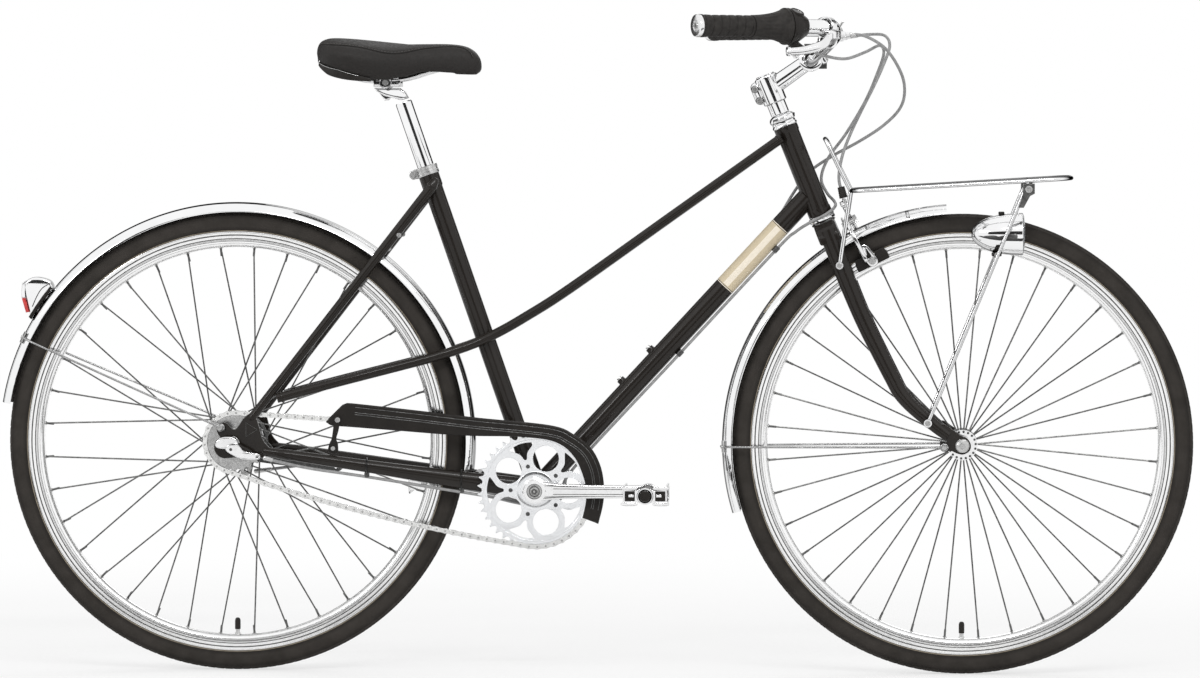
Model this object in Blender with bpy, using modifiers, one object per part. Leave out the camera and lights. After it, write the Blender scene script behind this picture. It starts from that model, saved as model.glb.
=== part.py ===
"""City bicycle with a step-through frame, built as an assembly of separate named pieces.

Metres, +Z up, +X forward, the drive side towards -Y. The origin lies on the ground below
the middle of the bicycle's length. Points in the side view are written from the rear axle
(x) and from the ground (z), and at() moves them into the bicycle's own frame.
"""

import math

import bmesh
import bpy
from mathutils import Matrix, Vector

# Overall layout, seen from the side
REAR_AXLE_X = -0.5415
AXLE_Z = 0.346
WHEELBASE = 1.0933
TYRE_R = 0.346
BB_X = 0.454
BB_Z = 0.276
SEAT_TOP = (0.2894, 0.748)
HEAD_MID = (0.853, 0.756)
HEAD_ANGLE = math.radians(22.0)
HEAD_HALF = 0.0714
GAP = 0.0003

# Tube sizes
SEAT_TUBE_R = 0.0143
HEAD_TUBE_R = 0.0172
DOWN_TUBE_R = 0.0155
LATERAL_R = 0.0073
STAY_TOP_R = 0.0080
STAY_END_R = 0.0062
BB_SHELL_R = 0.0200
BB_SHELL_HALF = 0.034
STEERER_R = 0.0125
QUILL_R = 0.0110
POST_R = 0.0127
BAR_R = 0.0111

# Wheels
RIM_OUT_R = 0.3160
RIM_IN_R = 0.2926
RIM_HALF = 0.0122
TYRE_HALF = 0.0175
WHEEL_STEPS = 36
SPOKES_PER_FLANGE = 18
SPOKE_R = 0.0013
NIPPLE_R = 0.2912
AXLE_R = 0.0046

# Mudguards
GUARD_R = 0.3610
GUARD_HALF = 0.0225
GUARD_SHEET = 0.0012
FRONT_GUARD_ARC = (94.0, 197.0)
REAR_GUARD_ARC = (-9.0, 170.8)

# Drive: half-inch chain on 42 and 22 teeth, in one plane beside the wheel
CHAIN_PITCH = 0.0127
RING_TEETH = 42
COG_TEETH = 22
CHAIN_Y = -0.047
CHAIN_HALF = 0.0039
PLATE_HALF = 0.0043
TOOTH_HALF = 0.0012
SLOT_HALF = 0.0017
TOOTH_ABOVE_PITCH = 0.0030
CRANK_LENGTH = 0.170
CRANK_Y = 0.0715
CRANK_HALF = 0.0065
PEDAL_Y = 0.135

# Handlebar, saddle and rack
BAR_CLAMP = (0.8644, 0.9227)
GRIP_Z = 0.970
RACK_ROD_R = 0.0038
LAMP_CENTRE = (1.1460, -0.0520, 0.6625)

HEAD_UP = Vector((-math.sin(HEAD_ANGLE), 0, math.cos(HEAD_ANGLE)))
HEAD_FORE = Vector((math.cos(HEAD_ANGLE), 0, math.sin(HEAD_ANGLE)))
SIDES = {"right": -1.0, "left": 1.0}


def at(x, y, z):
    """A point given from the rear axle (x) and the ground (z)."""
    return Vector((x + REAR_AXLE_X, y, z))


REAR_AXLE = at(0, 0, AXLE_Z)
FRONT_AXLE = at(WHEELBASE, 0, AXLE_Z)
BB = at(BB_X, 0, BB_Z)
HEAD = at(HEAD_MID[0], 0, HEAD_MID[1])
SEAT_TOP_AT = at(SEAT_TOP[0], 0, SEAT_TOP[1])
SEAT_UP = (SEAT_TOP_AT - BB).normalized()


def head_point(along, fore=0.0, y=0.0):
    """A point by its distance along the steering axis, ahead of it, and sideways."""
    return HEAD + HEAD_UP * along + HEAD_FORE * fore + Vector((0, y, 0))


# Scene and collections
for old in list(bpy.data.objects):
    bpy.data.objects.remove(old, do_unlink=True)
PARTS = bpy.data.collections.new("city_bike")
CUTTERS = bpy.data.collections.new("city_bike_cutters")
for collection in (PARTS, CUTTERS):
    bpy.context.scene.collection.children.link(collection)

PAINT = ("frame_black", (0.040, 0.035, 0.032), 0.35, 0.0)
CHROME = ("polished_chrome", (0.80, 0.80, 0.80), 0.10, 1.0)
ALLOY = ("polished_alloy", (0.75, 0.75, 0.76), 0.25, 1.0)
STEEL = ("bright_steel", (0.60, 0.60, 0.60), 0.30, 1.0)
DARK_STEEL = ("dark_steel", (0.20, 0.20, 0.20), 0.40, 1.0)
RUBBER = ("black_rubber", (0.035, 0.033, 0.030), 0.80, 0.0)
TYRE = ("tyre_rubber", (0.045, 0.040, 0.036), 0.85, 0.0)
PLASTIC = ("black_plastic", (0.030, 0.030, 0.030), 0.45, 0.0)
COVER = ("saddle_cover", (0.045, 0.040, 0.040), 0.60, 0.0)
CABLE = ("cable_housing", (0.32, 0.32, 0.32), 0.45, 0.0)
RED_LENS = ("red_lens", (0.55, 0.03, 0.03), 0.20, 0.0)
CLEAR_LENS = ("clear_lens", (0.85, 0.87, 0.88), 0.10, 0.0)


def material(spec):
    name, colour, roughness, metallic = spec
    if name in bpy.data.materials:
        return bpy.data.materials[name]
    made = bpy.data.materials.new(name)
    made.use_nodes = True
    shader = made.node_tree.nodes["Principled BSDF"]
    shader.inputs["Base Color"].default_value = (*colour, 1.0)
    shader.inputs["Roughness"].default_value = roughness
    shader.inputs["Metallic"].default_value = metallic
    return made


# Tools that make and join solids
def new_object(name, data):
    made = bpy.data.objects.new(name, data)
    CUTTERS.objects.link(made)
    made.hide_render = True
    made.display_type = "WIRE"
    return made


def remove(thing):
    bpy.data.objects.remove(thing, do_unlink=True)


def as_mesh(thing):
    """Turn an object with modifiers, or a curve, into a plain welded mesh object."""
    bpy.context.view_layer.update()
    graph = bpy.context.evaluated_depsgraph_get()
    mesh = bpy.data.meshes.new_from_object(thing.evaluated_get(graph))
    made = new_object(thing.name + "_mesh", mesh)
    made.matrix_world = thing.matrix_world.copy()
    remove(thing)
    shell = bmesh.new()
    shell.from_mesh(mesh)
    bmesh.ops.remove_doubles(shell, verts=shell.verts, dist=1e-6)
    shell.to_mesh(mesh)
    shell.free()
    return made


def apply_place(thing):
    """Move an object's place into its mesh, so that its object sits at the origin."""
    thing.data.transform(thing.matrix_world)
    thing.matrix_world = Matrix.Identity(4)
    return thing


def towards(origin, direction, side=None):
    """The matrix of a frame whose Z axis lies along direction, X as near side as it can be."""
    z = Vector(direction).normalized()
    hint = Vector(side) if side else (Vector((0, 1, 0)) if abs(z.y) < 0.9 else Vector((1, 0, 0)))
    x = (hint - z * hint.dot(z)).normalized()
    y = z.cross(x)
    turn = Matrix((x, y, z)).transposed().to_4x4()
    return Matrix.Translation(origin) @ turn


def smooth(points, count, closed=False):
    """Points read evenly from a smooth curve through the given ones."""
    pts = [Vector(p) for p in points]
    total = len(pts)
    spans = total if closed else total - 1

    def pick(i):
        return pts[i % total] if closed else pts[max(0, min(total - 1, i))]

    fine = []
    for span in range(spans):
        a, b, c, d = (pick(span + k) for k in (-1, 0, 1, 2))
        for step in range(16):
            t = step / 16
            fine.append(0.5 * (2 * b + (c - a) * t + (2 * a - 5 * b + 4 * c - d) * t * t
                               + (3 * b - a - 3 * c + d) * t ** 3))
    fine.append(pts[0] if closed else pts[-1])
    run = [0.0]
    for p, q in zip(fine, fine[1:]):
        run.append(run[-1] + (q - p).length)
    wanted = [run[-1] * k / (count if closed else count - 1) for k in range(count)]
    out = []
    j = 0
    for length in wanted:
        while j < len(run) - 2 and run[j + 1] < length:
            j += 1
        part = (length - run[j]) / max(run[j + 1] - run[j], 1e-12)
        out.append(fine[j].lerp(fine[j + 1], min(1.0, part)))
    return out


def thinned(points, tolerance):
    """Leave out the points that lie on the straight line between the ones kept."""
    kept = [points[0]]
    start = 0
    for k in range(2, len(points)):
        chord = points[k] - points[start]
        run = chord.normalized()
        gaps = [((p - points[start]) - run * (p - points[start]).dot(run)).length
                for p in points[start + 1:k]]
        if max(gaps) > tolerance:
            start = k - 1
            kept.append(points[start])
    kept.append(points[-1])
    return kept


def tube(points, radius, resolution=2, radii=None, closed=False):
    """A round rod along a chain of points."""
    curve = bpy.data.curves.new("tube", "CURVE")
    curve.dimensions = "3D"
    curve.bevel_depth = radius
    curve.bevel_resolution = resolution
    curve.use_fill_caps = True
    spline = curve.splines.new("POLY")
    spline.points.add(len(points) - 1)
    for i, p in enumerate(points):
        spline.points[i].co = (*p, 1.0)
        spline.points[i].radius = (radii[i] / radius) if radii else 1.0
    spline.use_cyclic_u = closed
    return as_mesh(new_object("tube", curve))


def rod(start, end, radius, sides=12, end_radius=None):
    """A straight rod or cone from start to end."""
    start, end = Vector(start), Vector(end)
    mesh = bpy.data.meshes.new("rod")
    shell = bmesh.new()
    bmesh.ops.create_cone(shell, cap_ends=True, segments=sides, radius1=radius,
                          radius2=radius if end_radius is None else end_radius,
                          depth=(end - start).length)
    shell.to_mesh(mesh)
    shell.free()
    made = new_object("rod", mesh)
    made.matrix_world = towards((start + end) / 2, end - start)
    return apply_place(made)


def block(size, place, bevel=0.0):
    """A box of the given size with its centre at a matrix or a point."""
    mesh = bpy.data.meshes.new("block")
    shell = bmesh.new()
    bmesh.ops.create_cube(shell, size=1.0, matrix=Matrix.Diagonal((*size, 1.0)))
    if bevel:
        bmesh.ops.bevel(shell, geom=shell.edges[:], offset=bevel, segments=1,
                        affect="EDGES", profile=0.5)
    shell.to_mesh(mesh)
    shell.free()
    made = new_object("block", mesh)
    made.matrix_world = place if isinstance(place, Matrix) else Matrix.Translation(place)
    return apply_place(made)


def plate(outline, thickness, place, holes=()):
    """A flat outline in the XY plane of place, extruded half its thickness each way."""
    curve = bpy.data.curves.new("plate", "CURVE")
    curve.dimensions = "2D"
    curve.fill_mode = "BOTH"
    curve.extrude = thickness / 2
    for ring in (outline, *holes):
        spline = curve.splines.new("POLY")
        spline.points.add(len(ring) - 1)
        for i, p in enumerate(ring):
            spline.points[i].co = (p[0], p[1], 0.0, 1.0)
        spline.use_cyclic_u = True
    made = as_mesh(new_object("plate", curve))
    made.matrix_world = place
    return apply_place(made)


SIDE_VIEW = Matrix(((1, 0, 0, 0), (0, 0, -1, 0), (0, 1, 0, 0), (0, 0, 0, 1)))


def side_plate(outline, y_from, y_to, holes=()):
    """A plate whose outline is given in the side view, from the rear axle and the ground."""
    place = Matrix.Translation((REAR_AXLE_X, (y_from + y_to) / 2, 0)) @ SIDE_VIEW
    return plate(outline, abs(y_to - y_from), place, holes)


def turned(profile, place, steps=24, angle=360.0, start=0.0, sheet=0.0):
    """A profile of (radius, height) points turned about the Z axis of place."""
    mesh = bpy.data.meshes.new("turned")
    shell = bmesh.new()
    verts = [shell.verts.new((r, 0.0, h)) for r, h in profile]
    for a, b in zip(verts, verts[1:]):
        shell.edges.new((a, b))
    closed_ring = not sheet and profile[0][0] > 1e-6 and profile[-1][0] > 1e-6
    if closed_ring:
        shell.edges.new((verts[-1], verts[0]))
    shell.to_mesh(mesh)
    shell.free()
    made = new_object("turned", mesh)
    screw = made.modifiers.new("turn", "SCREW")
    screw.angle = math.radians(angle)
    screw.steps = steps
    screw.render_steps = steps
    screw.use_merge_vertices = True
    screw.merge_threshold = 1e-5
    screw.use_normal_calculate = False
    if sheet:
        solid = made.modifiers.new("sheet", "SOLIDIFY")
        solid.thickness = sheet
        solid.offset = -1.0
        solid.use_even_offset = True
    made.matrix_world = place @ Matrix.Rotation(math.radians(start), 4, "Z")
    made = apply_place(as_mesh(made))
    face_out(made)
    return made


def face_out(thing):
    """Turn the faces of a closed mesh outwards."""
    shell = bmesh.new()
    shell.from_mesh(thing.data)
    bmesh.ops.recalc_face_normals(shell, faces=shell.faces)
    if shell.calc_volume(signed=True) < 0:
        bmesh.ops.reverse_faces(shell, faces=shell.faces)
    shell.to_mesh(thing.data)
    shell.free()


def boolean(base, others, operation):
    """Join others to base, or cut them from it, and remove them."""
    for k, other in enumerate(others):
        face_out(other)
        step = base.modifiers.new(f"{operation.lower()}_{k}", "BOOLEAN")
        step.operation = operation
        step.solver = "EXACT"
        step.object = other
    made = as_mesh(base)
    for other in others:
        remove(other)
    return made


def unite(base, *others):
    face_out(base)
    return boolean(base, others, "UNION")


def cut(base, *others):
    return boolean(base, others, "DIFFERENCE")


def together(*things):
    """Put solids that don't touch into one mesh, for use as one operand."""
    shell = bmesh.new()
    for thing in things:
        face_out(thing)
        shell.from_mesh(thing.data)
        remove(thing)
    mesh = bpy.data.meshes.new("together")
    shell.to_mesh(mesh)
    shell.free()
    return new_object("together", mesh)


def mirrored(thing):
    """A copy of a solid on the other side of the bicycle."""
    mesh = thing.data.copy()
    mesh.transform(Matrix.Scale(-1.0, 4, (0, 1, 0)))
    made = new_object("mirrored", mesh)
    face_out(made)
    return made


def finish(name, thing, spec, origin=None, smooth_angle=35.0):
    """Name a solid as one of the bicycle's pieces and put its origin on its joint."""
    face_out(thing)
    thing.name = name
    thing.data.name = name
    if origin is not None:
        thing.data.transform(Matrix.Translation(-Vector(origin)))
        thing.matrix_world = Matrix.Translation(Vector(origin))
    thing.data.materials.clear()
    thing.data.materials.append(material(spec))
    thing.data.shade_smooth()
    thing.data.set_sharp_from_angle(angle=math.radians(smooth_angle))
    CUTTERS.objects.unlink(thing)
    PARTS.objects.link(thing)
    thing.hide_render = False
    thing.display_type = "TEXTURED"
    return thing


def arc(centre, radius, start, end, count):
    """Points of an arc in degrees, ends included."""
    turns = [math.radians(start + (end - start) * k / (count - 1)) for k in range(count)]
    return [(centre[0] + radius * math.cos(t), centre[1] + radius * math.sin(t)) for t in turns]


def circle(centre, radius, count, start=0.0):
    return arc(centre, radius, start, start + 360.0 * (count - 1) / count, count)


def along_line(points, value, axis):
    """Read a table of (position, value) rows at a position, straight between rows."""
    rows = sorted(points)
    if value <= rows[0][0]:
        return rows[0][axis]
    for low, high in zip(rows, rows[1:]):
        if value <= high[0]:
            part = (value - low[0]) / (high[0] - low[0])
            return low[axis] + (high[axis] - low[axis]) * part
    return rows[-1][axis]


def oval_tube(points, heights, spread, resolution=3):
    """A tapered oval tube: a round one in the side view, then squeezed and leaned in Y.

    spread holds rows of (x from the rear axle, middle y, width over height).
    """
    path = [at(x, 0, z) for x, z in points]
    made = tube(path, heights[0] / 2, resolution, radii=[h / 2 for h in heights])
    for vert in made.data.vertices:
        x = vert.co.x - REAR_AXLE_X
        squeeze = along_line(spread, x, 2)
        vert.co.y = vert.co.y * squeeze + along_line(spread, x, 1)
    return made


# The frame
CHAINSTAY_PATH = [(0.046, 0.334), (0.096, 0.327), (0.200, 0.312), (0.300, 0.297),
                  (0.346, 0.290), (0.400, 0.283), (0.446, 0.277)]
CHAINSTAY_HEIGHTS = [0.013, 0.016, 0.019, 0.024, 0.027, 0.029, 0.030]
CHAINSTAY_SPREAD = [(0.040, 0.068, 1.00), (0.096, 0.066, 1.00), (0.200, 0.0585, 0.86),
                    (0.300, 0.0455, 0.72), (0.346, 0.0385, 0.62), (0.400, 0.0290, 0.60),
                    (0.450, 0.0205, 0.60)]
LATERAL_PATH = [(0.821, 0.0215, 0.805), (0.662, 0.0215, 0.6915), (0.503, 0.0215, 0.578),
                (0.436, 0.0215, 0.535), (0.396, 0.0228, 0.512), (0.362, 0.0268, 0.496),
                (0.330, 0.0325, 0.4845), (0.292, 0.0385, 0.473), (0.231, 0.0465, 0.457),
                (0.150, 0.0555, 0.4360), (0.066, 0.0635, 0.4135)]
STAY_TOP = (0.2985, 0.0205, 0.734)
STAY_END = (0.0250, 0.0680, 0.380)
BRIDGE_AT = (0.2252, 0.6380)
LOW_BRIDGE_AT = (0.3644, 0.2980)
DROPOUT = [(-0.024, 0.364), (-0.022, 0.374), (-0.011, 0.377), (0.003, 0.366), (0.017, 0.384),
           (0.030, 0.392), (0.042, 0.382), (0.050, 0.356), (0.076, 0.338), (0.074, 0.322),
           (0.050, 0.323), (0.022, 0.331), (0.004, 0.333), (-0.010, 0.337), (-0.016, 0.350)]
DROPOUT_Y = (0.0650, 0.0710)
BOSS_X = (0.6370, 0.5936)
BOSS_RISE = 0.0210
BOSS_BORE_R = 0.0021
BOSS_BORE_DEPTH = 0.0100
GUIDE_X = (0.799, 0.655)
DOWN_TUBE_TOP = (0.866, 0.723)


def down_tube_point(x):
    """A point of the down tube's centre line, by its x from the rear axle."""
    top = Vector(DOWN_TUBE_TOP)
    low = Vector((BB_X, BB_Z))
    part = (x - low.x) / (top.x - low.x)
    return (x, low.y + (top.y - low.y) * part)


def make_frame():
    head = rod(head_point(-HEAD_HALF), head_point(HEAD_HALF), HEAD_TUBE_R, 14)
    seat = rod(BB, SEAT_TOP_AT, SEAT_TUBE_R, 14)
    down = rod(BB, at(DOWN_TUBE_TOP[0], 0, DOWN_TUBE_TOP[1]), DOWN_TUBE_R, 12)
    shell = rod(BB + Vector((0, -BB_SHELL_HALF, 0)), BB + Vector((0, BB_SHELL_HALF, 0)),
                BB_SHELL_R, 14)
    right = []
    right.append(oval_tube(CHAINSTAY_PATH, CHAINSTAY_HEIGHTS, CHAINSTAY_SPREAD, 2))
    right.append(tube([at(*STAY_TOP), at(*STAY_END)], STAY_TOP_R, 2,
                      radii=[STAY_TOP_R, STAY_END_R]))
    right.append(tube([at(*p) for p in LATERAL_PATH], LATERAL_R, 2))
    right.append(side_plate(DROPOUT, *DROPOUT_Y))
    right.append(block((0.014, 0.014, 0.010), at(0.3745, 0.0155, 0.5030)))
    left = [mirrored(piece) for piece in right]
    bridge = rod(at(BRIDGE_AT[0], -0.031, BRIDGE_AT[1]), at(BRIDGE_AT[0], 0.031, BRIDGE_AT[1]),
                 0.0058, 8)
    low_bridge = rod(at(LOW_BRIDGE_AT[0], -0.035, LOW_BRIDGE_AT[1]),
                     at(LOW_BRIDGE_AT[0], 0.035, LOW_BRIDGE_AT[1]), 0.0050, 8)
    bosses = [rod(at(*down_point(x, 0.004)), at(*down_point(x, BOSS_RISE)), 0.0062, 10)
              for x in BOSS_X]
    boss_bores = [rod(at(*down_point(x, BOSS_RISE - BOSS_BORE_DEPTH)),
                      at(*down_point(x, BOSS_RISE + 0.004)), BOSS_BORE_R, 16) for x in BOSS_X]
    guides = [rod(at(*down_point(x, -0.004)), at(*down_point(x, -DOWN_TUBE_R - 0.0010)), 0.0045, 6)
              for x in GUIDE_X]
    frame = unite(shell, seat, down, head, *right, *left, bridge, low_bridge, *bosses, *guides)
    head_bore = rod(head_point(-HEAD_HALF - 0.01), head_point(HEAD_HALF + 0.01), 0.0138, 14)
    shell_bore = rod(BB + Vector((0, -0.05, 0)), BB + Vector((0, 0.05, 0)), 0.0177, 14)
    post_bore = rod(SEAT_TOP_AT - SEAT_UP * 0.330, SEAT_TOP_AT + SEAT_UP * 0.02, 0.0133, 14)
    axle_hole = rod(REAR_AXLE + Vector((0, -0.08, 0)), REAR_AXLE + Vector((0, 0.08, 0)),
                    AXLE_R + 0.0004, 10)
    frame = cut(frame, head_bore, shell_bore, post_bore, axle_hole, *boss_bores)
    return finish("frame", frame, PAINT)


def down_point(x, rise, y=0.0):
    """A point on the line square to the down tube, rise above its centre line."""
    low = Vector((BB_X, BB_Z))
    run = (Vector(DOWN_TUBE_TOP) - low).normalized()
    px, pz = down_tube_point(x)
    return (px - run.y * rise, y, pz + run.x * rise)


def make_headset():
    bore = 0.0133
    lower = turned([(0.0195, -HEAD_HALF - GAP), (0.0200, -HEAD_HALF - 0.0095),
                    (bore, -HEAD_HALF - 0.0095), (bore, -HEAD_HALF - GAP)],
                   towards(HEAD, HEAD_UP), 16)
    finish("headset_lower_cup", lower, CHROME)
    upper = turned([(0.0180, HEAD_HALF + 0.0080), (0.0195, HEAD_HALF + GAP),
                    (bore, HEAD_HALF + GAP), (bore, HEAD_HALF + 0.0080)],
                   towards(HEAD, HEAD_UP), 16)
    finish("headset_upper_cup", upper, CHROME)
    nut = turned([(0.0165, HEAD_HALF + 0.0200), (0.0185, HEAD_HALF + 0.0185),
                  (0.0185, HEAD_HALF + 0.0083), (0.0129, HEAD_HALF + 0.0083),
                  (0.0129, HEAD_HALF + 0.0200)], towards(HEAD, HEAD_UP), 16)
    finish("headset_locknut", nut, CHROME, HEAD)


def make_bottom_bracket():
    bore = 0.0087
    profile = [(0.0205, 0.0375), (0.0205, 0.0343), (0.0172, 0.0343), (0.0172, -0.0343),
               (0.0205, -0.0343), (0.0205, -0.0375), (bore, -0.0375), (bore, 0.0375)]
    unit = turned(profile, towards(BB, (0, 1, 0)), 12)
    finish("bottom_bracket", unit, DARK_STEEL)


def make_seat_clamp():
    low = SEAT_TOP_AT + SEAT_UP * GAP
    collar = turned([(0.0172, 0.0140), (0.0172, 0.0), (0.0133, 0.0), (0.0133, 0.0140)],
                    towards(low, SEAT_UP), 14)
    middle = low + SEAT_UP * 0.0070
    back = Vector((-SEAT_UP.z, 0, SEAT_UP.x)).normalized()
    ear = block((0.010, 0.013, 0.015),
                towards(middle + back * 0.0205, back, side=SEAT_UP), 0.002)
    collar = unite(collar, ear)
    finish("seatpost_clamp", collar, ALLOY)


# The seatpost and saddle
SADDLE_PIVOT = (0.2290, 0.0, 0.8760)
RAIL_R = 0.0035
RAIL_PATH = [(0.140, 0.036, 0.9090), (0.165, 0.035, 0.9000), (0.199, 0.024, 0.8900),
             (0.250, 0.023, 0.8920), (0.290, 0.019, 0.8990), (0.322, 0.010, 0.9050)]
# station x, half width, top z, lower edge z, inner ceiling z
SADDLE_STATIONS = [(0.1200, 0.034, 0.9420, 0.9200, 0.9280), (0.1330, 0.078, 0.9555, 0.9120, 0.9270),
                   (0.1740, 0.100, 0.9520, 0.8980, 0.9240), (0.2150, 0.086, 0.9485, 0.8870, 0.9220),
                   (0.2600, 0.050, 0.9470, 0.8940, 0.9200), (0.3050, 0.034, 0.9475, 0.9020, 0.9190),
                   (0.3500, 0.030, 0.9410, 0.9010, 0.9170), (0.3680, 0.016, 0.9270, 0.9060, 0.9150)]


def loft(sections):
    """A closed solid through rings of points, each with the same count."""
    mesh = bpy.data.meshes.new("loft")
    shell = bmesh.new()
    rings = [[shell.verts.new(p) for p in ring] for ring in sections]
    size = len(rings[0])
    for a, b in zip(rings, rings[1:]):
        for k in range(size):
            n = (k + 1) % size
            shell.faces.new((a[k], a[n], b[n], b[k]))
    shell.faces.new(rings[0][::-1])
    shell.faces.new(rings[-1])
    bmesh.ops.recalc_face_normals(shell, faces=shell.faces)
    shell.to_mesh(mesh)
    shell.free()
    return new_object("loft", mesh)


def saddle_ring(x, half, top, low, ceiling):
    """One section of the cover: crowned top, drawn-in sides, a skirt and the recess."""
    drop = top - low
    one_side = [(0.42 * half, top - 0.02 * drop), (0.78 * half, top - 0.12 * drop),
                (1.00 * half, top - 0.42 * drop), (0.95 * half, top - 0.75 * drop),
                (0.84 * half, low), (0.76 * half, ceiling)]
    ring = [(0.0, top), *one_side, (0.0, ceiling), *[(-y, z) for y, z in reversed(one_side)]]
    return [at(x, y, z) for y, z in ring]


def make_saddle():
    pivot = at(*SADDLE_PIVOT)
    cover = loft([saddle_ring(*row) for row in SADDLE_STATIONS])
    soften = cover.modifiers.new("soften", "SUBSURF")
    soften.levels = 1
    soften.render_levels = 1
    finish("saddle_cover", as_mesh(cover), COVER, pivot)

    shell_rows = SADDLE_STATIONS[2:-1]
    rings = []
    for x, half, _, low, ceiling in shell_rows:
        half = half * 0.56
        high = ceiling - 0.0045
        rings.append([at(x, -half, high), at(x, half, high),
                      at(x, half, high - 0.0035), at(x, -half, high - 0.0035)])
    shell = loft(rings)
    finish("saddle_shell", shell, PLASTIC, pivot)

    right = [(x, -y, z) for x, y, z in RAIL_PATH]
    route = right + [(0.3300, 0.0, 0.9062)] + RAIL_PATH[::-1]
    rails = tube(smooth([at(*p) for p in route], 20), RAIL_R, 2)
    finish("saddle_rails", rails, CHROME, pivot)

    lower = block((0.042, 0.058, 0.0060), at(0.2280, 0, 0.8830), 0.001)
    boss = rod(at(0.2280, 0, 0.8810), at(0.2280, 0, 0.8990), 0.0070, 8)
    top = block((0.034, 0.058, 0.0040), at(0.2280, 0, 0.8985), 0.001)
    pin = rod(at(0.2290, -0.015, 0.8800), at(0.2290, 0.015, 0.8800), 0.0050, 8)
    clamp = unite(lower, boss, top, pin)
    finish("saddle_clamp", clamp, ALLOY, pivot)


def make_seatpost():
    head_low = SEAT_TOP_AT + SEAT_UP * 0.1180
    post = rod(SEAT_TOP_AT - SEAT_UP * 0.150, head_low, POST_R, 14)
    neck = rod(head_low - SEAT_UP * 0.004, at(0.2360, 0, 0.8660), 0.0124, 12, 0.0110)
    cradle = block((0.046, 0.030, 0.0120), at(0.2310, 0, 0.8680), 0.002)
    post = unite(post, neck, cradle)
    finish("seatpost", post, ALLOY, SEAT_TOP_AT)


# Wheels
def axle_frame(centre):
    return towards(centre, (0, 1, 0), side=(1, 0, 0))


def make_wheel(which, centre, flange_r, flange_y, hub_r, hub_half, bore):
    place = axle_frame(centre)
    tyre_profile = [(0.3310, TYRE_HALF), (0.3163, 0.0118), (0.3163, -0.0118),
                    (0.3310, -TYRE_HALF), (0.3410, -0.0135), (TYRE_R, -0.0050),
                    (TYRE_R, 0.0050), (0.3410, 0.0135)]
    tyre = turned(tyre_profile, place, WHEEL_STEPS)
    finish(f"{which}_tyre", tyre, TYRE, centre)
    rim_profile = [(RIM_OUT_R, RIM_HALF), (0.2970, 0.0112), (RIM_IN_R, 0.0060),
                   (RIM_IN_R, -0.0060), (0.2970, -0.0112), (RIM_OUT_R, -RIM_HALF)]
    rim = turned(rim_profile, place, WHEEL_STEPS)
    finish(f"{which}_rim", rim, ALLOY, centre)

    half_flange = 0.0014
    hub_profile = [(hub_r * 0.75, hub_half), (hub_r, flange_y + 0.006),
                   (hub_r, flange_y + half_flange), (flange_r, flange_y + half_flange),
                   (flange_r, flange_y - half_flange), (hub_r, flange_y - half_flange),
                   (hub_r, -flange_y + half_flange), (flange_r, -flange_y + half_flange),
                   (flange_r, -flange_y - half_flange), (hub_r, -flange_y - half_flange),
                   (hub_r, -flange_y - 0.006), (hub_r * 0.75, -hub_half),
                   (bore, -hub_half), (bore, hub_half)]
    hub = turned(hub_profile, place, 12)
    spokes = []
    for side in (-1, 1):
        for k in range(SPOKES_PER_FLANGE):
            lead = 1 if k % 2 else -1
            hub_turn = math.radians(20.0 * k + (10.0 if side > 0 else 0.0) + 5.0)
            rim_turn = hub_turn + lead * math.radians(60.0)
            near_r = flange_r - 0.0035
            y_hub = side * (flange_y + lead * half_flange * 1.0)
            y_rim = side * (0.0030 + lead * 0.0015)
            start = centre + Vector((near_r * math.cos(hub_turn), y_hub,
                                     near_r * math.sin(hub_turn)))
            end = centre + Vector((NIPPLE_R * math.cos(rim_turn), y_rim,
                                   NIPPLE_R * math.sin(rim_turn)))
            spokes.append(rod(start, end, SPOKE_R, 3))
    hub = unite(hub, together(*spokes))
    finish(f"{which}_hub", hub, STEEL, centre)


def make_front_axle():
    nut_in = 0.0558
    profile = [(0.0, 0.0660), (0.0060, 0.0640), (0.0092, 0.0585), (0.0092, nut_in),
               (AXLE_R, nut_in), (AXLE_R, -nut_in), (0.0092, -nut_in), (0.0092, -0.0585),
               (0.0060, -0.0640), (0.0, -0.0660)]
    axle = turned(profile, axle_frame(FRONT_AXLE), 8)
    finish("front_axle", axle, CHROME)


def make_rear_axle():
    profile = [(0.0, 0.0835), (0.0095, 0.0800), (0.0095, 0.0713),
               (AXLE_R, 0.0713), (AXLE_R, 0.0647), (0.0090, 0.0647), (0.0090, 0.0590),
               (AXLE_R, 0.0590), (AXLE_R, -0.0535), (0.0100, -0.0535), (0.0100, -0.0647),
               (AXLE_R, -0.0647), (AXLE_R, -0.0713), (0.0095, -0.0713), (0.0095, -0.0800),
               (0.0, -0.0800)]
    axle = turned(profile, axle_frame(REAR_AXLE), 8)
    finish("rear_axle", axle, STEEL)


def make_roller_brake():
    bore = AXLE_R + 0.0006
    profile = [(0.0300, 0.0585), (0.0330, 0.0560), (0.0340, 0.0500), (0.0460, 0.0480),
               (0.0460, 0.0420), (0.0400, 0.0395), (0.0400, 0.0365), (bore, 0.0365),
               (bore, 0.0585)]
    drum = turned(profile, axle_frame(REAR_AXLE), 14)
    arm = side_plate([(-0.010, 0.322), (0.020, 0.312), (0.120, 0.300), (0.150, 0.298),
                      (0.152, 0.308), (0.120, 0.311), (0.034, 0.330), (0.020, 0.345)],
                     0.0490, 0.0525)
    drum = unite(drum, arm)
    finish("roller_brake", drum, DARK_STEEL)
    lever = side_plate([(-0.004, 0.306), (0.000, 0.292), (0.012, 0.292), (0.016, 0.306),
                        (0.012, 0.318), (0.0, 0.318)], 0.0590, 0.0620)
    finish("roller_brake_arm", lever, STEEL, at(0.006, 0.060, 0.314))


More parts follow.
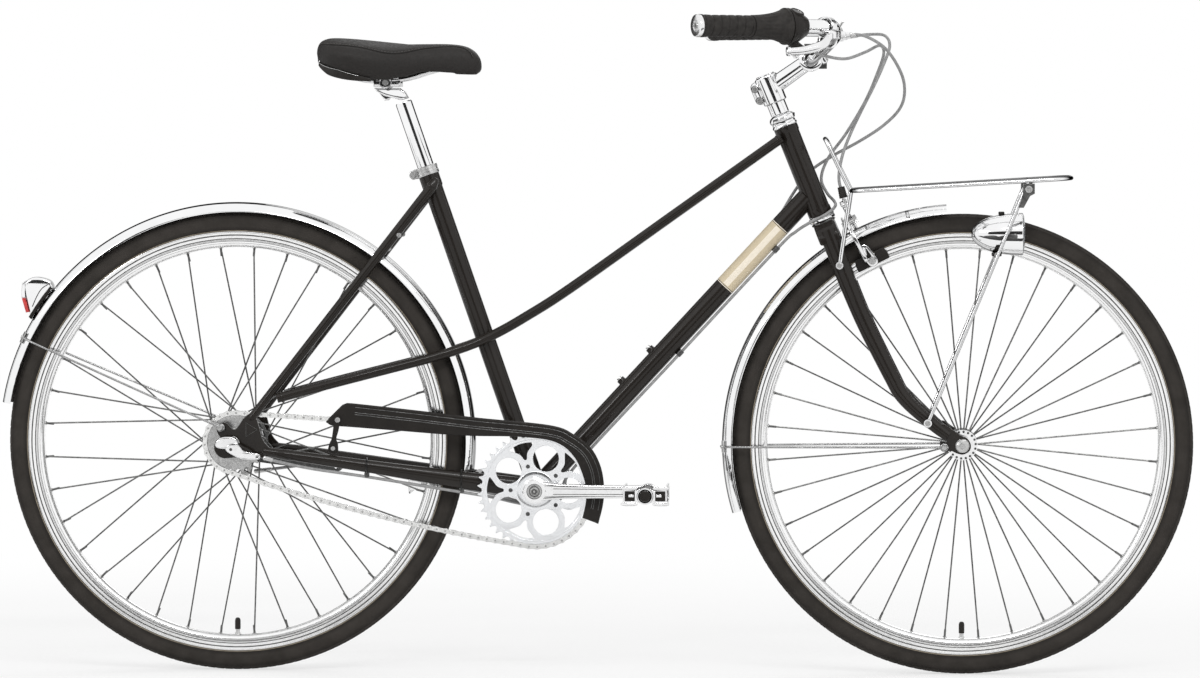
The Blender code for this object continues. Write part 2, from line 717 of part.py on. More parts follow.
# Mudguards
GUARD_PROFILE = [(0.3472, GUARD_HALF), (0.3558, 0.0190), (0.3606, 0.0075),
                 (0.3606, -0.0075), (0.3558, -0.0190), (0.3472, -GUARD_HALF)]


def make_guard(name, centre, arc_degrees, steps, stay_angle, stay_end, stay_y):
    """A rolled sheet over the wheel; its wire stay runs to the dropouts."""
    start, end = arc_degrees
    place = axle_frame(centre)
    sheet = turned(GUARD_PROFILE, place, steps, end - start, -end, GUARD_SHEET)
    turn = math.radians(stay_angle)
    out = Vector((math.cos(turn), 0, math.sin(turn)))
    clip = centre + out * (GUARD_R + 0.0010)
    low_clip = centre + out * (0.3500)
    end_point = Vector((stay_end[0], 0, stay_end[1]))
    route = [end_point + Vector((0, -stay_y, 0)), low_clip + Vector((0, -0.0262, 0)),
             clip + Vector((0, -0.0050, 0)), clip + Vector((0, 0.0050, 0)),
             low_clip + Vector((0, 0.0262, 0)), end_point + Vector((0, stay_y, 0))]
    finish(name, unite(sheet, tube(route, 0.0018, 1)), CHROME)


# Drive
def toothed_outline(teeth, root_r, tip_r):
    """One point at each tooth's tip and one at each root."""
    points = []
    for k in range(teeth):
        base = 360.0 * k / teeth
        points.append(circle_point(base, root_r))
        points.append(circle_point(base + 180.0 / teeth, tip_r))
    return points


def circle_point(degrees, radius):
    turn = math.radians(degrees)
    return (radius * math.cos(turn), radius * math.sin(turn))


def pitch_radius(teeth):
    return CHAIN_PITCH / (2 * math.sin(math.pi / teeth))


RING_R = pitch_radius(RING_TEETH)
COG_R = pitch_radius(COG_TEETH)


def gear_frame(centre):
    """A frame at a gear's centre whose XY plane is the side view and Z axis points to -Y."""
    return Matrix.Translation((centre.x, CHAIN_Y, centre.z)) @ SIDE_VIEW


def make_chainring():
    outline = toothed_outline(RING_TEETH, RING_R - 0.0045, RING_R + TOOTH_ABOVE_PITCH)
    windows = [circle(circle_point(72.0 * k, 0.0500), 0.0195, 10) for k in range(5)]
    hub_hole = circle((0, 0), 0.0150, 10)
    ring = plate(outline, 2 * TOOTH_HALF, gear_frame(BB), [hub_hole, *windows])
    finish("chainring", ring, ALLOY, BB)


def make_sprocket():
    bore = AXLE_R + 0.0006
    outline = toothed_outline(COG_TEETH, COG_R - 0.0045, COG_R + TOOTH_ABOVE_PITCH)
    cog = plate(outline, 2 * TOOTH_HALF, gear_frame(REAR_AXLE))
    driver = turned([(0.0215, -0.0370), (0.0215, -0.0525), (bore, -0.0525), (bore, -0.0370)],
                    axle_frame(REAR_AXLE), 12)
    hole = rod(REAR_AXLE + Vector((0, -0.06, 0)), REAR_AXLE + Vector((0, -0.03, 0)), 0.0180, 12)
    cog = unite(cut(cog, hole), driver)
    finish("rear_sprocket", cog, STEEL, REAR_AXLE)


CHAIN_SAG = 0.010


def chain_loop():
    """The pitch line of the chain: round both gears, straight on top, sagging below."""
    ahead = BB - REAR_AXLE
    tilt = math.atan2(ahead.z, ahead.x)
    lean = math.asin((RING_R - COG_R) / ahead.length)
    top_turn = math.degrees(tilt + lean) + 90.0
    low_turn = math.degrees(tilt - lean) - 90.0
    rear = arc((REAR_AXLE.x, REAR_AXLE.z), COG_R, top_turn, low_turn + 360.0, 11)
    front = arc((BB.x, BB.z), RING_R, low_turn, top_turn, 17)
    low = []
    count = 9
    for k in range(1, count):
        t = k / count
        x = rear[-1][0] + (front[0][0] - rear[-1][0]) * t
        z = rear[-1][1] + (front[0][1] - rear[-1][1]) * t - CHAIN_SAG * 4 * t * (1 - t)
        low.append((x, z))
    return rear + low + front


def offset_loop(points, distance):
    """Move each point of a closed outline along its outward normal."""
    out = []
    total = len(points)
    for k, p in enumerate(points):
        before = Vector(points[k - 1])
        after = Vector(points[(k + 1) % total])
        run = (after - before).normalized()
        out.append((p[0] + run.y * distance, p[1] - run.x * distance))
    return out


def make_chain():
    line = chain_loop()
    place = Matrix.Translation((0, CHAIN_Y, 0)) @ SIDE_VIEW
    chain = plate(offset_loop(line, PLATE_HALF), 2 * CHAIN_HALF, place,
                  [offset_loop(line, -PLATE_HALF)])
    slots = []
    for centre, radius in ((BB, RING_R), (REAR_AXLE, COG_R)):
        middle = Vector((centre.x, CHAIN_Y, centre.z))
        slots.append(rod(middle - Vector((0, SLOT_HALF, 0)), middle + Vector((0, SLOT_HALF, 0)),
                         radius + TOOTH_ABOVE_PITCH + 0.0009, 28))
    finish("chain", cut(chain, *slots), STEEL)


def make_cranks():
    spindle = rod(BB + Vector((0, -0.0700, 0)), BB + Vector((0, 0.0700, 0)), 0.0083, 12)
    finish("bb_spindle", spindle, STEEL, BB)
    for name, side in SIDES.items():
        reach = CRANK_LENGTH if side < 0 else -CRANK_LENGTH
        eye = BB + Vector((reach, 0, 0))
        arm_y = side * CRANK_Y
        turn = Matrix.Translation((0, arm_y, 0)) @ SIDE_VIEW
        half_boss, half_eye = 0.0125, 0.0100
        direction = 1.0 if side < 0 else -1.0
        outline = [(BB.x, BB.z + half_boss), (BB.x + direction * 0.030, BB.z + 0.0110),
                   (eye.x, eye.z + half_eye), (eye.x, eye.z - half_eye),
                   (BB.x + direction * 0.030, BB.z - 0.0110), (BB.x, BB.z - half_boss)]
        arm = plate(outline, 2 * CRANK_HALF, turn)
        inner = 0.0486 if side < 0 else 0.0500
        boss = rod(BB + Vector((0, side * inner, 0)), BB + Vector((0, side * 0.0795, 0)),
                   0.0170, 12)
        eyelet = rod(eye + Vector((0, side * 0.0640, 0)), eye + Vector((0, side * 0.0790, 0)),
                     0.0128, 12)
        pieces = [boss, eyelet]
        if side < 0:
            pieces.append(rod(BB + Vector((0, -0.0486, 0)), BB + Vector((0, -0.0520, 0)),
                              0.0250, 12))
        arm = unite(arm, *pieces)
        socket = rod(BB + Vector((0, side * 0.0300, 0)), BB + Vector((0, side * 0.0705, 0)),
                     0.0087, 12)
        thread = rod(eye + Vector((0, side * 0.05, 0)), eye + Vector((0, side * 0.09, 0)),
                     0.0053, 8)
        finish(f"{name}_crank", cut(arm, socket, thread), ALLOY, BB)
        make_pedal(name, side, eye)


def make_pedal(name, side, eye):
    profile = [(0.0, 0.1760), (0.0047, 0.1760), (0.0047, 0.0850), (0.0078, 0.0850),
               (0.0078, 0.0795), (0.0047, 0.0795), (0.0047, 0.0650), (0.0, 0.0650)]
    axle = turned(profile, towards(eye, (0, side, 0)), 8)
    finish(f"{name}_pedal_axle", axle, STEEL, eye)

    def across(y):
        return eye + Vector((0, side * y, 0))

    barrel = rod(across(0.0870), across(0.1830), 0.0115, 10)
    cap = rod(across(0.1800), across(0.1860), 0.0080, 8)
    pieces = [cap]
    for y in (0.0905, 0.1765):
        pieces.append(block((0.0660, 0.0030, 0.0200), across(y)))
    for end in (-1, 1):
        pieces.append(block((0.0060, 0.0890, 0.0300),
                            across(0.1335) + Vector((end * 0.0305, 0, 0))))
    body = unite(barrel, *pieces)
    bore = rod(across(0.0800), across(0.1780), 0.0054, 8)
    finish(f"{name}_pedal", cut(body, bore), DARK_STEEL, eye)


CHAINGUARD = [(0.1405, 0.380), (0.1500, 0.396), (0.1698, 0.406), (0.2700, 0.395),
              (0.3660, 0.384), (0.4760, 0.373), (0.5120, 0.359), (0.5370, 0.339),
              (0.5510, 0.312), (0.5560, 0.282), (0.5540, 0.254), (0.5460, 0.228),
              (0.5280, 0.236), (0.5320, 0.264), (0.5300, 0.289), (0.5140, 0.327),
              (0.4840, 0.3505), (0.4305, 0.358), (0.3660, 0.3590), (0.3195, 0.3610),
              (0.2400, 0.3670), (0.1720, 0.372), (0.1520, 0.372)]


def make_chainguard():
    face = 0.0586
    tray = side_plate(CHAINGUARD, -0.0525, -face)
    inset = offset_loop(CHAINGUARD, 0.0018)
    hollow = side_plate(inset, -0.0400, -0.0570)
    strut = side_plate([(0.1420, 0.3960), (0.1600, 0.3960), (0.1600, 0.3680), (0.1560, 0.3450),
                        (0.1600, 0.3300), (0.1360, 0.3330), (0.1440, 0.3450), (0.1420, 0.3680)],
                       -0.0580, -0.0612)
    finish("chainguard", unite(cut(tray, hollow), strut), PLASTIC)


def make_bell_crank():
    cover = side_plate([(-0.0250, 0.3360), (-0.0230, 0.3500), (-0.0120, 0.3570), (0.0040, 0.3560),
                        (0.0110, 0.3470), (0.0300, 0.3360), (0.0300, 0.3270), (0.0080, 0.3260),
                        (-0.0140, 0.3250)], -0.0803, -0.0940)
    finish("bell_crank", cover, PLASTIC)
    arm = side_plate([(-0.0070, 0.3380), (0.0, 0.3440), (0.0070, 0.3400), (0.0400, 0.3310),
                      (0.0440, 0.3270), (0.0400, 0.3230), (0.0, 0.3310)], -0.0944, -0.0970)
    finish("bell_crank_arm", arm, STEEL, at(0.0, -0.0950, 0.3380))


# The fork and what is on it
BLADE_PATH = [(0.8905, 0.6680), (0.9035, 0.6340), (0.9310, 0.5650), (0.9510, 0.5200),
              (0.9690, 0.4840), (0.9890, 0.4450), (1.0010, 0.4230), (1.0220, 0.4000),
              (1.0560, 0.3720), (1.0720, 0.3600)]
BLADE_HEIGHTS = [0.028, 0.028, 0.026, 0.025, 0.024, 0.023, 0.022, 0.020, 0.018, 0.016]
BLADE_SPREAD = [(0.885, 0.0405, 0.70), (0.931, 0.0425, 0.70), (1.001, 0.0490, 0.75),
                (1.072, 0.0530, 0.62)]
FORK_TIP = [(1.0480, 0.3560), (1.0480, 0.3360), (1.0600, 0.3330), (1.0850, 0.3320),
            (1.1010, 0.3330), (1.1080, 0.3440), (1.1040, 0.3580), (1.0900, 0.3640),
            (1.0800, 0.3700), (1.0620, 0.3760)]


def make_fork():
    steerer = rod(head_point(-0.0950), head_point(HEAD_HALF + 0.0195), STEERER_R, 12)
    crown_place = towards(head_point(0), HEAD_FORE, side=(0, 1, 0))
    crown_outline = [(-0.0190, -0.0813), (0.0190, -0.0813), (0.0330, -0.0860), (0.0480, -0.0980),
                     (0.0495, -0.1150), (0.0310, -0.1150), (0.0290, -0.1060), (0.0180, -0.1020),
                     (-0.0180, -0.1020), (-0.0290, -0.1060), (-0.0310, -0.1150),
                     (-0.0495, -0.1150), (-0.0480, -0.0980), (-0.0330, -0.0860)]
    crown = plate(crown_outline, 0.0330, crown_place)
    blade = oval_tube(BLADE_PATH, BLADE_HEIGHTS, BLADE_SPREAD, 2)
    tip = side_plate(FORK_TIP, 0.0503, 0.0553)
    fork = unite(crown, steerer, blade, tip, mirrored(blade), mirrored(tip))
    bore = rod(head_point(0.0), head_point(HEAD_HALF + 0.03), 0.0116, 12)
    hole = rod(FRONT_AXLE + Vector((0, -0.07, 0)), FRONT_AXLE + Vector((0, 0.07, 0)),
               AXLE_R + 0.0004, 10)
    finish("fork", cut(fork, bore, hole), PAINT, HEAD)


def make_stem():
    quill = turned([(0.0, 0.1550), (0.0143, 0.1550), (0.0143, HEAD_HALF + 0.0205),
                    (QUILL_R, HEAD_HALF + 0.0205), (QUILL_R, 0.0200), (0.0, 0.0200)],
                   towards(HEAD, HEAD_UP), 12)
    clamp = rod(head_point(0.1080), head_point(0.1530), 0.0180, 12)
    ear = block((0.040, 0.016, 0.014), towards(head_point(0.1305, -0.0220), HEAD_FORE,
                                                side=HEAD_UP), 0.002)
    bar_at = at(BAR_CLAMP[0], 0, BAR_CLAMP[1])
    base = head_point(0.1330)
    neck = rod(base, bar_at, 0.0135, 10, 0.0120)
    barrel = rod(bar_at + Vector((0, -0.0210, 0)), bar_at + Vector((0, 0.0210, 0)), 0.0180, 12)
    run = (bar_at - base).normalized()
    face = block((0.036, 0.036, 0.010), towards(bar_at + run * 0.0150, run, side=(0, 1, 0)), 0.002)
    stem = unite(quill, clamp, ear, neck, barrel, face)
    bar_hole = rod(bar_at + Vector((0, -0.05, 0)), bar_at + Vector((0, 0.05, 0)),
                   BAR_R + 0.0011, 12)
    finish("stem", cut(stem, bar_hole), ALLOY, HEAD)


BAR_HALF_PATH = [(0.8644, 0.0, 0.9227), (0.8644, 0.016, 0.9227), (0.8648, 0.034, 0.9233),
                 (0.8700, 0.058, 0.9290),
                 (0.8860, 0.092, 0.9450), (0.8985, 0.128, 0.9600), (0.8980, 0.156, 0.9670),
                 (0.8820, 0.178, 0.9695), (0.8520, 0.196, GRIP_Z), (0.8180, 0.2165, GRIP_Z)]
GRIP_START = (0.7850, 0.2364, GRIP_Z)
GRIP_END = (0.7010, 0.2870, GRIP_Z)


def on_grip(distance, side):
    """A point of the straight end of the bar, by its distance from the bar's end."""
    end = Vector(GRIP_END)
    run = (Vector(BAR_HALF_PATH[-1]) - end).normalized()
    p = end + run * distance
    return at(p.x, side * p.y, p.z)


def make_handlebar():
    half = [at(*p) for p in BAR_HALF_PATH] + [at(*GRIP_START), at(0.7040, 0.2852, GRIP_Z)]
    other = [Vector((p.x, -p.y, p.z)) for p in half[:0:-1]]
    bend = smooth(other[1:] + half[:-1], 24)
    route = [other[0]] + bend + [half[-1]]
    finish("handlebar", tube(route, BAR_R, 2), ALLOY, HEAD)
    bore = BAR_R + 0.0005
    for name, side in SIDES.items():
        end = on_grip(0.0, side)
        run = (on_grip(0.1, side) - end).normalized()
        place = towards(end, run)
        length = 0.093 if side < 0 else 0.128
        grip = turned([(0.0, 0.0024), (bore, 0.0024), (bore, length), (0.0155, length),
                       (0.0160, 0.0400), (0.0170, 0.0060), (0.0160, 0.0), (0.0, 0.0)],
                      place, 14)
        finish(f"{name}_grip", grip, RUBBER, HEAD)
        if side < 0:
            twist = turned([(0.0163, 0.0935), (0.0168, 0.1180), (0.0200, 0.1450),
                            (0.0212, 0.1500), (0.0212, 0.1520), (bore, 0.1520),
                            (bore, 0.0935)], place, 14)
            finish("shift_twist_grip", twist, RUBBER, end)


LEVER_PIVOT = (0.8935, 0.1920, 0.9570)
BARREL_END = (0.9230, 0.1600, 0.9590)


def bar_clamp_point(side):
    return at(0.8900, side * 0.1690, 0.9690)


def make_controls():
    bore = BAR_R + 0.0006
    for name, side in SIDES.items():
        mid = bar_clamp_point(side)
        run = (at(0.8820, side * 0.178, 0.9695) - at(0.8980, side * 0.156, 0.9670)).normalized()
        place = towards(mid, run)
        ring = turned([(0.0158, 0.0060), (0.0158, -0.0060), (bore + 0.0006, -0.0060),
                       (bore + 0.0006, 0.0060)], place, 10)
        body_mid = at(0.8990, side * 0.1800, 0.9580)
        body = block((0.0360, 0.0150, 0.0130), towards(body_mid, (0, 0, 1),
                                                       side=(-0.45, side * 1.0, 0)), 0.002)
        barrel = rod(at(0.8980, side * 0.1740, 0.9580), at(*BARREL_END[:1], side * BARREL_END[1],
                                                           BARREL_END[2]), 0.0042, 8)
        bracket = cut(unite(ring, body, barrel), bar_cutter(side))
        finish(f"{name}_brake_bracket", bracket, ALLOY, HEAD)
        pivot = at(*LEVER_PIVOT[:1], side * LEVER_PIVOT[1], LEVER_PIVOT[2])
        tip = at(0.8300, side * 0.2400, 0.9360)
        start = pivot + Vector((-0.0040, side * 0.0110, 0))
        route = smooth([start, start.lerp(tip, 0.3) + Vector((0.004, 0, 0.001)),
                        start.lerp(tip, 0.65) + Vector((0.0, 0, -0.0010)), tip], 9)
        lever = tube(route, 0.0060, 2, radii=[0.0050, 0.0060, 0.0062, 0.0062, 0.0060, 0.0058,
                                              0.0056, 0.0056, 0.0060])
        for vert in lever.data.vertices:
            middle = min(route, key=lambda p: (p - vert.co).length)
            vert.co.z = middle.z + (vert.co.z - middle.z) * 0.70
        finish(f"{name}_brake_lever", lever, ALLOY, pivot)


def bar_cutter(side):
    """The clear space round the bar near the brake bracket."""
    route = [at(x, side * y, z) for x, y, z in BAR_HALF_PATH[3:]]
    return tube(smooth(route, 14), BAR_R + 0.0021, 2)


def make_shifter():
    side = -1.0
    end = on_grip(0.0, side)
    run = (on_grip(0.1, side) - end).normalized()
    bore = BAR_R + 0.0008
    housing = turned([(0.0214, 0.1524), (0.0205, 0.1640), (0.0150, 0.1700), (bore, 0.1700),
                      (bore, 0.1524)], towards(end, run), 14)
    mid = end + run * 0.1600
    nozzle = rod(mid + Vector((0, 0, -0.0150)), mid + run * 0.0260 + Vector((0, 0.004, -0.0330)),
                 0.0062, 8, 0.0045)
    window = rod(mid + Vector((0.002, 0, 0.0100)), mid + Vector((0.010, 0.004, 0.0240)), 0.0100, 10)
    housing = cut(unite(housing, nozzle, window), bar_cutter(side))
    finish("shifter_housing", housing, PLASTIC, HEAD)


def make_bell():
    base_at = at(0.8908, -0.1060, 0.9508)
    run = (at(0.8985, -0.128, 0.9600) - at(0.8860, -0.092, 0.9450)).normalized()
    clamp = turned([(0.0145, 0.0040), (0.0145, -0.0040), (BAR_R + 0.0016, -0.0040),
                    (BAR_R + 0.0016, 0.0040)], towards(base_at, run), 10)
    up = Vector((-0.25, 0.05, 1.0)).normalized()
    dome_at = base_at + up * 0.0200
    dome = turned([(0.0, 0.0150), (0.0090, 0.0130), (0.0145, 0.0080), (0.0168, 0.0),
                   (0.0, 0.0)], towards(dome_at, up), 14)
    post = rod(base_at + up * 0.0125, dome_at + up * 0.002, 0.0040, 8)
    finish("bell", unite(clamp, post, dome), CHROME, HEAD)
    pivot = dome_at + Vector((0.0, 0.0, -0.0040)) + Vector((0.0205, 0, -0.0030))
    striker = unite(block((0.0045, 0.0050, 0.0120), pivot + Vector((0, 0, 0.002)), 0.0008),
                    rod(pivot + Vector((0, 0, 0.006)), pivot + Vector((0.0080, 0, 0.0140)),
                        0.0022, 6))
    finish("bell_striker", striker, STEEL, pivot)


def make_rack():
    def deck(x, y):
        part = (x - 0.925) / (1.254 - 0.925)
        return at(x, y, 0.7265 + 0.0200 * part)

    corner = 0.030
    loop = [deck(0.925, 0.0), deck(0.925, 0.055), deck(0.945, 0.078),
            deck(1.160, 0.095), deck(1.254 - corner, 0.093), deck(1.248, 0.080),
            deck(1.254, 0.060), deck(1.254, 0.0)]
    loop += [Vector((p.x, -p.y, p.z)) for p in loop[-2:0:-1]]
    pieces = [tube(loop, RACK_ROD_R, 1, closed=True)]
    for y in (-0.030, 0.030):
        pieces.append(rod(deck(0.925, y), deck(1.254, y), 0.0030, 6))
    for x in (1.000, 1.085, 1.190):
        half = along_line([(0.945, 0.078), (1.160, 0.095), (1.224, 0.093)], x, 1)
        pieces.append(rod(deck(x, -half), deck(x, half), 0.0030, 6))
    hoop = [deck(0.925, 0.052), at(0.905, 0.050, 0.766), at(0.889, 0.046, 0.7985),
            at(0.886, 0.036, 0.8040), at(0.886, -0.036, 0.8040), at(0.889, -0.046, 0.7985),
            at(0.905, -0.050, 0.766), deck(0.925, -0.052)]
    pieces.append(tube(hoop, RACK_ROD_R, 1))
    for side in (-1, 1):
        pieces.append(rod(deck(0.925, side * 0.052), at(0.909, side * 0.0562, 0.6150), 0.0042, 6))
        pieces.append(rod(deck(1.190, side * 0.0945), at(1.0415, side * 0.0665, 0.3800),
                          0.0036, 6))
    finish("front_rack", unite(*pieces), CHROME, HEAD)


def make_headlamp():
    centre = at(*LAMP_CENTRE)
    place = towards(centre, (1, 0, 0), side=(0, 0, 1))
    housing = turned([(0.0, -0.0410), (0.0080, -0.0385), (0.0180, -0.0290), (0.0260, -0.0130),
                      (0.0305, 0.0080), (0.0315, 0.0360), (0.0300, 0.0360), (0.0280, 0.0200),
                      (0.0, 0.0100)][::-1], place, 16)
    bracket = block((0.012, 0.0340, 0.0040), at(1.1430, -0.0640, 0.6325))
    finish("headlamp_housing", unite(housing, bracket), CHROME, HEAD)
    lens = turned([(0.0, 0.0398), (0.0220, 0.0385), (0.0310, 0.0363), (0.0290, 0.0363),
                   (0.0270, 0.0330), (0.0, 0.0300)], place, 16)
    finish("headlamp_lens", lens, CLEAR_LENS, HEAD)


def guard_arc(angle, radius):
    turn = math.radians(angle)
    return (radius * math.cos(turn), AXLE_Z + radius * math.sin(turn))


def make_rear_lamp():
    seat = GUARD_R + 0.0006
    base = [guard_arc(a, seat) for a in (149.6, 146.5, 143.5, 140.6)]
    outline = base + [(-0.2850, 0.5880), (-0.3050, 0.5930), (-0.3200, 0.5860),
                      (-0.3210, 0.5700), (-0.3145, 0.5400)]
    housing = side_plate(outline, -0.0140, 0.0140)
    finish("rear_lamp_housing", housing, PLASTIC)
    lens = side_plate([(-0.3204, 0.5870), (-0.3260, 0.5830), (-0.3270, 0.5660), (-0.3200, 0.5390),
                       (-0.3150, 0.5400), (-0.3214, 0.5700)], -0.0135, 0.0135)
    finish("rear_lamp_lens", lens, RED_LENS)


# The front brake: its plane leans forward from the crown
CALIPER_PIVOT = (0.9110, 0.6720)
CALIPER_DOWN = Vector((0.460, 0, -0.888)).normalized()
CALIPER_FORE = Vector((0.888, 0, 0.460)).normalized()
PAD_FACE = 0.0140


def caliper_point(y, down, fore):
    return at(CALIPER_PIVOT[0], y, CALIPER_PIVOT[1]) + CALIPER_DOWN * down + CALIPER_FORE * fore


def caliper_plate(outline, fore_from, fore_to):
    """A plate in the caliper's plane, its outline given as (y, distance down)."""
    middle = caliper_point(0, 0, (fore_from + fore_to) / 2)
    turn = Matrix((Vector((0, 1, 0)), CALIPER_DOWN, Vector((0, 1, 0)).cross(CALIPER_DOWN)))
    place = Matrix.Translation(middle) @ turn.transposed().to_4x4()
    return plate(outline, abs(fore_to - fore_from), place)


def make_caliper():
    bolt_a = caliper_point(0, 0, 0.0020)
    bridge = unite(rod(caliper_point(0, 0, 0.0015), caliper_point(0, 0, 0.0245), 0.0040, 8),
                   caliper_plate([(-0.010, -0.006), (0.026, -0.012), (0.030, -0.002),
                                  (0.024, 0.006), (-0.008, 0.008)], 0.0040, 0.0070),
                   rod(caliper_point(0.0220, -0.003, 0.0050), caliper_point(0.0220, -0.003, 0.0245),
                       0.0030, 8))
    finish("brake_bridge", bridge, STEEL, bolt_a)

    arm_a = [(0.008, -0.007), (0.008, 0.007), (-0.012, 0.010), (-0.0250, 0.016),
             (-0.0310, 0.030), (-0.0300, 0.060), (-0.0390, 0.060), (-0.0420, 0.026),
             (-0.0330, 0.004), (-0.0160, -0.006)]
    arm_c = [(0.0160, -0.012), (0.0280, -0.012), (0.0380, 0.004), (0.0420, 0.026),
             (0.0390, 0.060), (0.0300, 0.060), (0.0310, 0.030), (0.0260, 0.014),
             (0.0140, 0.004), (-0.0150, -0.020), (-0.0150, -0.032), (-0.0050, -0.032)]
    for name, side, outline, layer, pivot_at in (
            ("right", -1, arm_a, (0.0075, 0.0135), (0.0, 0.0)),
            ("left", 1, arm_c, (0.0145, 0.0205), (0.0220, -0.003))):
        arm = caliper_plate(outline, *layer)
        pivot = caliper_point(pivot_at[0], pivot_at[1], 0.0)
        radius = 0.0045 if side < 0 else 0.0035
        hole = rod(caliper_point(pivot_at[0], pivot_at[1], 0.0),
                   caliper_point(pivot_at[0], pivot_at[1], 0.03), radius, 8)
        arm = cut(arm, hole)
        if side > 0:
            arm = cut(arm, rod(caliper_point(0, 0, 0.0), caliper_point(0, 0, 0.03), 0.0053, 8))
        holder_low = caliper_point(side * 0.0345, 0.0560, layer[1] - 0.002)
        pad_at = at(0.9620, side * 0.0185, 0.6220)
        holder = rod(holder_low, pad_at + Vector((0, side * 0.0120, 0)), 0.0050, 8)
        reach = rod(pad_at + Vector((0, side * 0.0160, 0)), pad_at, 0.0042, 8)
        radial = (pad_at - FRONT_AXLE)
        radial.y = 0
        radial.normalize()
        tangent = Vector((radial.z, 0, -radial.x))
        turn = Matrix((tangent, Vector((0, 1, 0)), radial)).transposed().to_4x4()
        pad_mid = FRONT_AXLE + radial * 0.3065 + Vector((0, side * (PAD_FACE + 0.0040), 0))
        pad = block((0.046, 0.0080, 0.0100), Matrix.Translation(pad_mid) @ turn)
        arm = unite(arm, holder, reach, pad)
        finish(f"{name}_caliper_arm", arm, ALLOY, pivot)


# Cables: routes held at both ends, given from the rear axle
HOUSING_R = 0.0023
CABLE_STRAIGHT = 0.0007
REAR_BRAKE_ROUTE = [(0.9234, -0.1597, 0.9590), (0.9480, -0.1470, 0.9560), (0.9780, -0.1200, 0.9370),
                    (1.0000, -0.0850, 0.9020), (1.0050, -0.0550, 0.8730), (0.9970, -0.0250, 0.8480),
                    (0.9720, 0.0050, 0.8230), (0.9370, 0.0280, 0.8000), (0.8970, 0.0390, 0.7780),
                    (0.8620, 0.0400, 0.7540), (0.8400, 0.0330, 0.7250), (0.8150, 0.0240, 0.6840),
                    (0.7700, 0.0205, 0.6190), (0.6400, 0.0205, 0.4780), (0.5200, 0.0205, 0.3478),
                    (0.4980, 0.0180, 0.3000), (0.4900, 0.0120, 0.2620), (0.4620, 0.0100, 0.2485),
                    (0.4250, 0.0180, 0.2550), (0.3850, 0.0330, 0.2650), (0.3200, 0.0430, 0.2760),
                    (0.2000, 0.0590, 0.2960), (0.1200, 0.0620, 0.3080), (0.0700, 0.0600, 0.3030),
                    (0.0180, 0.0605, 0.2960)]
SHIFT_ROUTE = [(0.8700, -0.1750, 0.9330), (0.8880, -0.1680, 0.9270), (0.9180, -0.1550, 0.9230),
               (0.9470, -0.1350, 0.9330), (0.9680, -0.1080, 0.9430), (0.9740, -0.0800, 0.9310),
               (0.9640, -0.0450, 0.9010), (0.9460, -0.0100, 0.8600), (0.9180, 0.0150, 0.8130),
               (0.8900, 0.0260, 0.7740), (0.8800, 0.0230, 0.7440), (0.8890, 0.0170, 0.7220),
               (0.9000, 0.0060, 0.7100), (0.9010, -0.0130, 0.7020), (0.8880, -0.0265, 0.6910),
               (0.8650, -0.0265, 0.6790), (0.8420, -0.0130, 0.6640), (0.8130, -0.0060, 0.6370),
               (0.6690, -0.0060, 0.4810), (0.5100, -0.0060, 0.3085), (0.4930, -0.0080, 0.2700),
               (0.4660, -0.0100, 0.2485), (0.4250, -0.0180, 0.2550), (0.3850, -0.0330, 0.2650),
               (0.3200, -0.0430, 0.2760), (0.2000, -0.0590, 0.2960), (0.1200, -0.0680, 0.3080),
               (0.0750, -0.0820, 0.3180), (0.0480, -0.0955, 0.3260)]
FRONT_BRAKE_ROUTE = [(0.9234, 0.1597, 0.9590), (0.9500, 0.1440, 0.9620), (0.9740, 0.1150, 0.9600),
                     (0.9820, 0.0850, 0.9440), (0.9730, 0.0600, 0.9160), (0.9580, 0.0420, 0.8820),
                     (0.9390, 0.0260, 0.8440), (0.9220, 0.0120, 0.8070), (0.9110, 0.0000, 0.7750),
                     (0.9070, -0.0080, 0.7440), (0.9130, -0.0100, 0.7200)]


def make_cables():
    for name, route, count in (("rear_brake_cable", REAR_BRAKE_ROUTE, 78),
                               ("shift_cable", SHIFT_ROUTE, 80),
                               ("front_brake_cable", FRONT_BRAKE_ROUTE, 26)):
        points = thinned(smooth([at(*p) for p in route], count), CABLE_STRAIGHT)
        finish(name, tube(points, HOUSING_R, 1), CABLE)


def main():
    make_frame()
    make_headset()
    make_bottom_bracket()
    make_seat_clamp()
    make_seatpost()
    make_saddle()
    make_wheel("rear", REAR_AXLE, 0.0370, 0.0270, 0.0280, 0.0360, AXLE_R + 0.0006)
    make_wheel("front", FRONT_AXLE, 0.0215, 0.0340, 0.0125, 0.0480, AXLE_R + 0.0006)
    make_front_axle()
    make_rear_axle()
    make_roller_brake()
    make_guard("rear_mudguard", REAR_AXLE, REAR_GUARD_ARC, 22, 154.3,
               at(-0.0175, 0, 0.3695).xz, 0.0745)
    make_guard("front_mudguard", FRONT_AXLE, FRONT_GUARD_ARC, 14, 180.8,
               at(1.0550, 0, 0.3430).xz, 0.0580)
    make_chainring()
    make_sprocket()
    make_chain()
    make_cranks()
    make_chainguard()
    make_bell_crank()
    make_fork()
    make_stem()
    make_handlebar()
    make_controls()
    make_shifter()
    make_bell()
    make_rack()
    make_headlamp()
    make_rear_lamp()
    make_caliper()
    make_cables()


main()
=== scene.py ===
"""The looks of the step-through city bicycle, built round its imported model.

Metres, +Z up, +X forward, the drive side towards -Y. Points in the side view are given from
the rear axle (x) and from the ground (z), and at() moves them into the bicycle's own frame.
Tables in mm() are in millimetres.
"""

import math

import bmesh
import bpy
from mathutils import Matrix, Quaternion, Vector
from mathutils.bvhtree import BVHTree


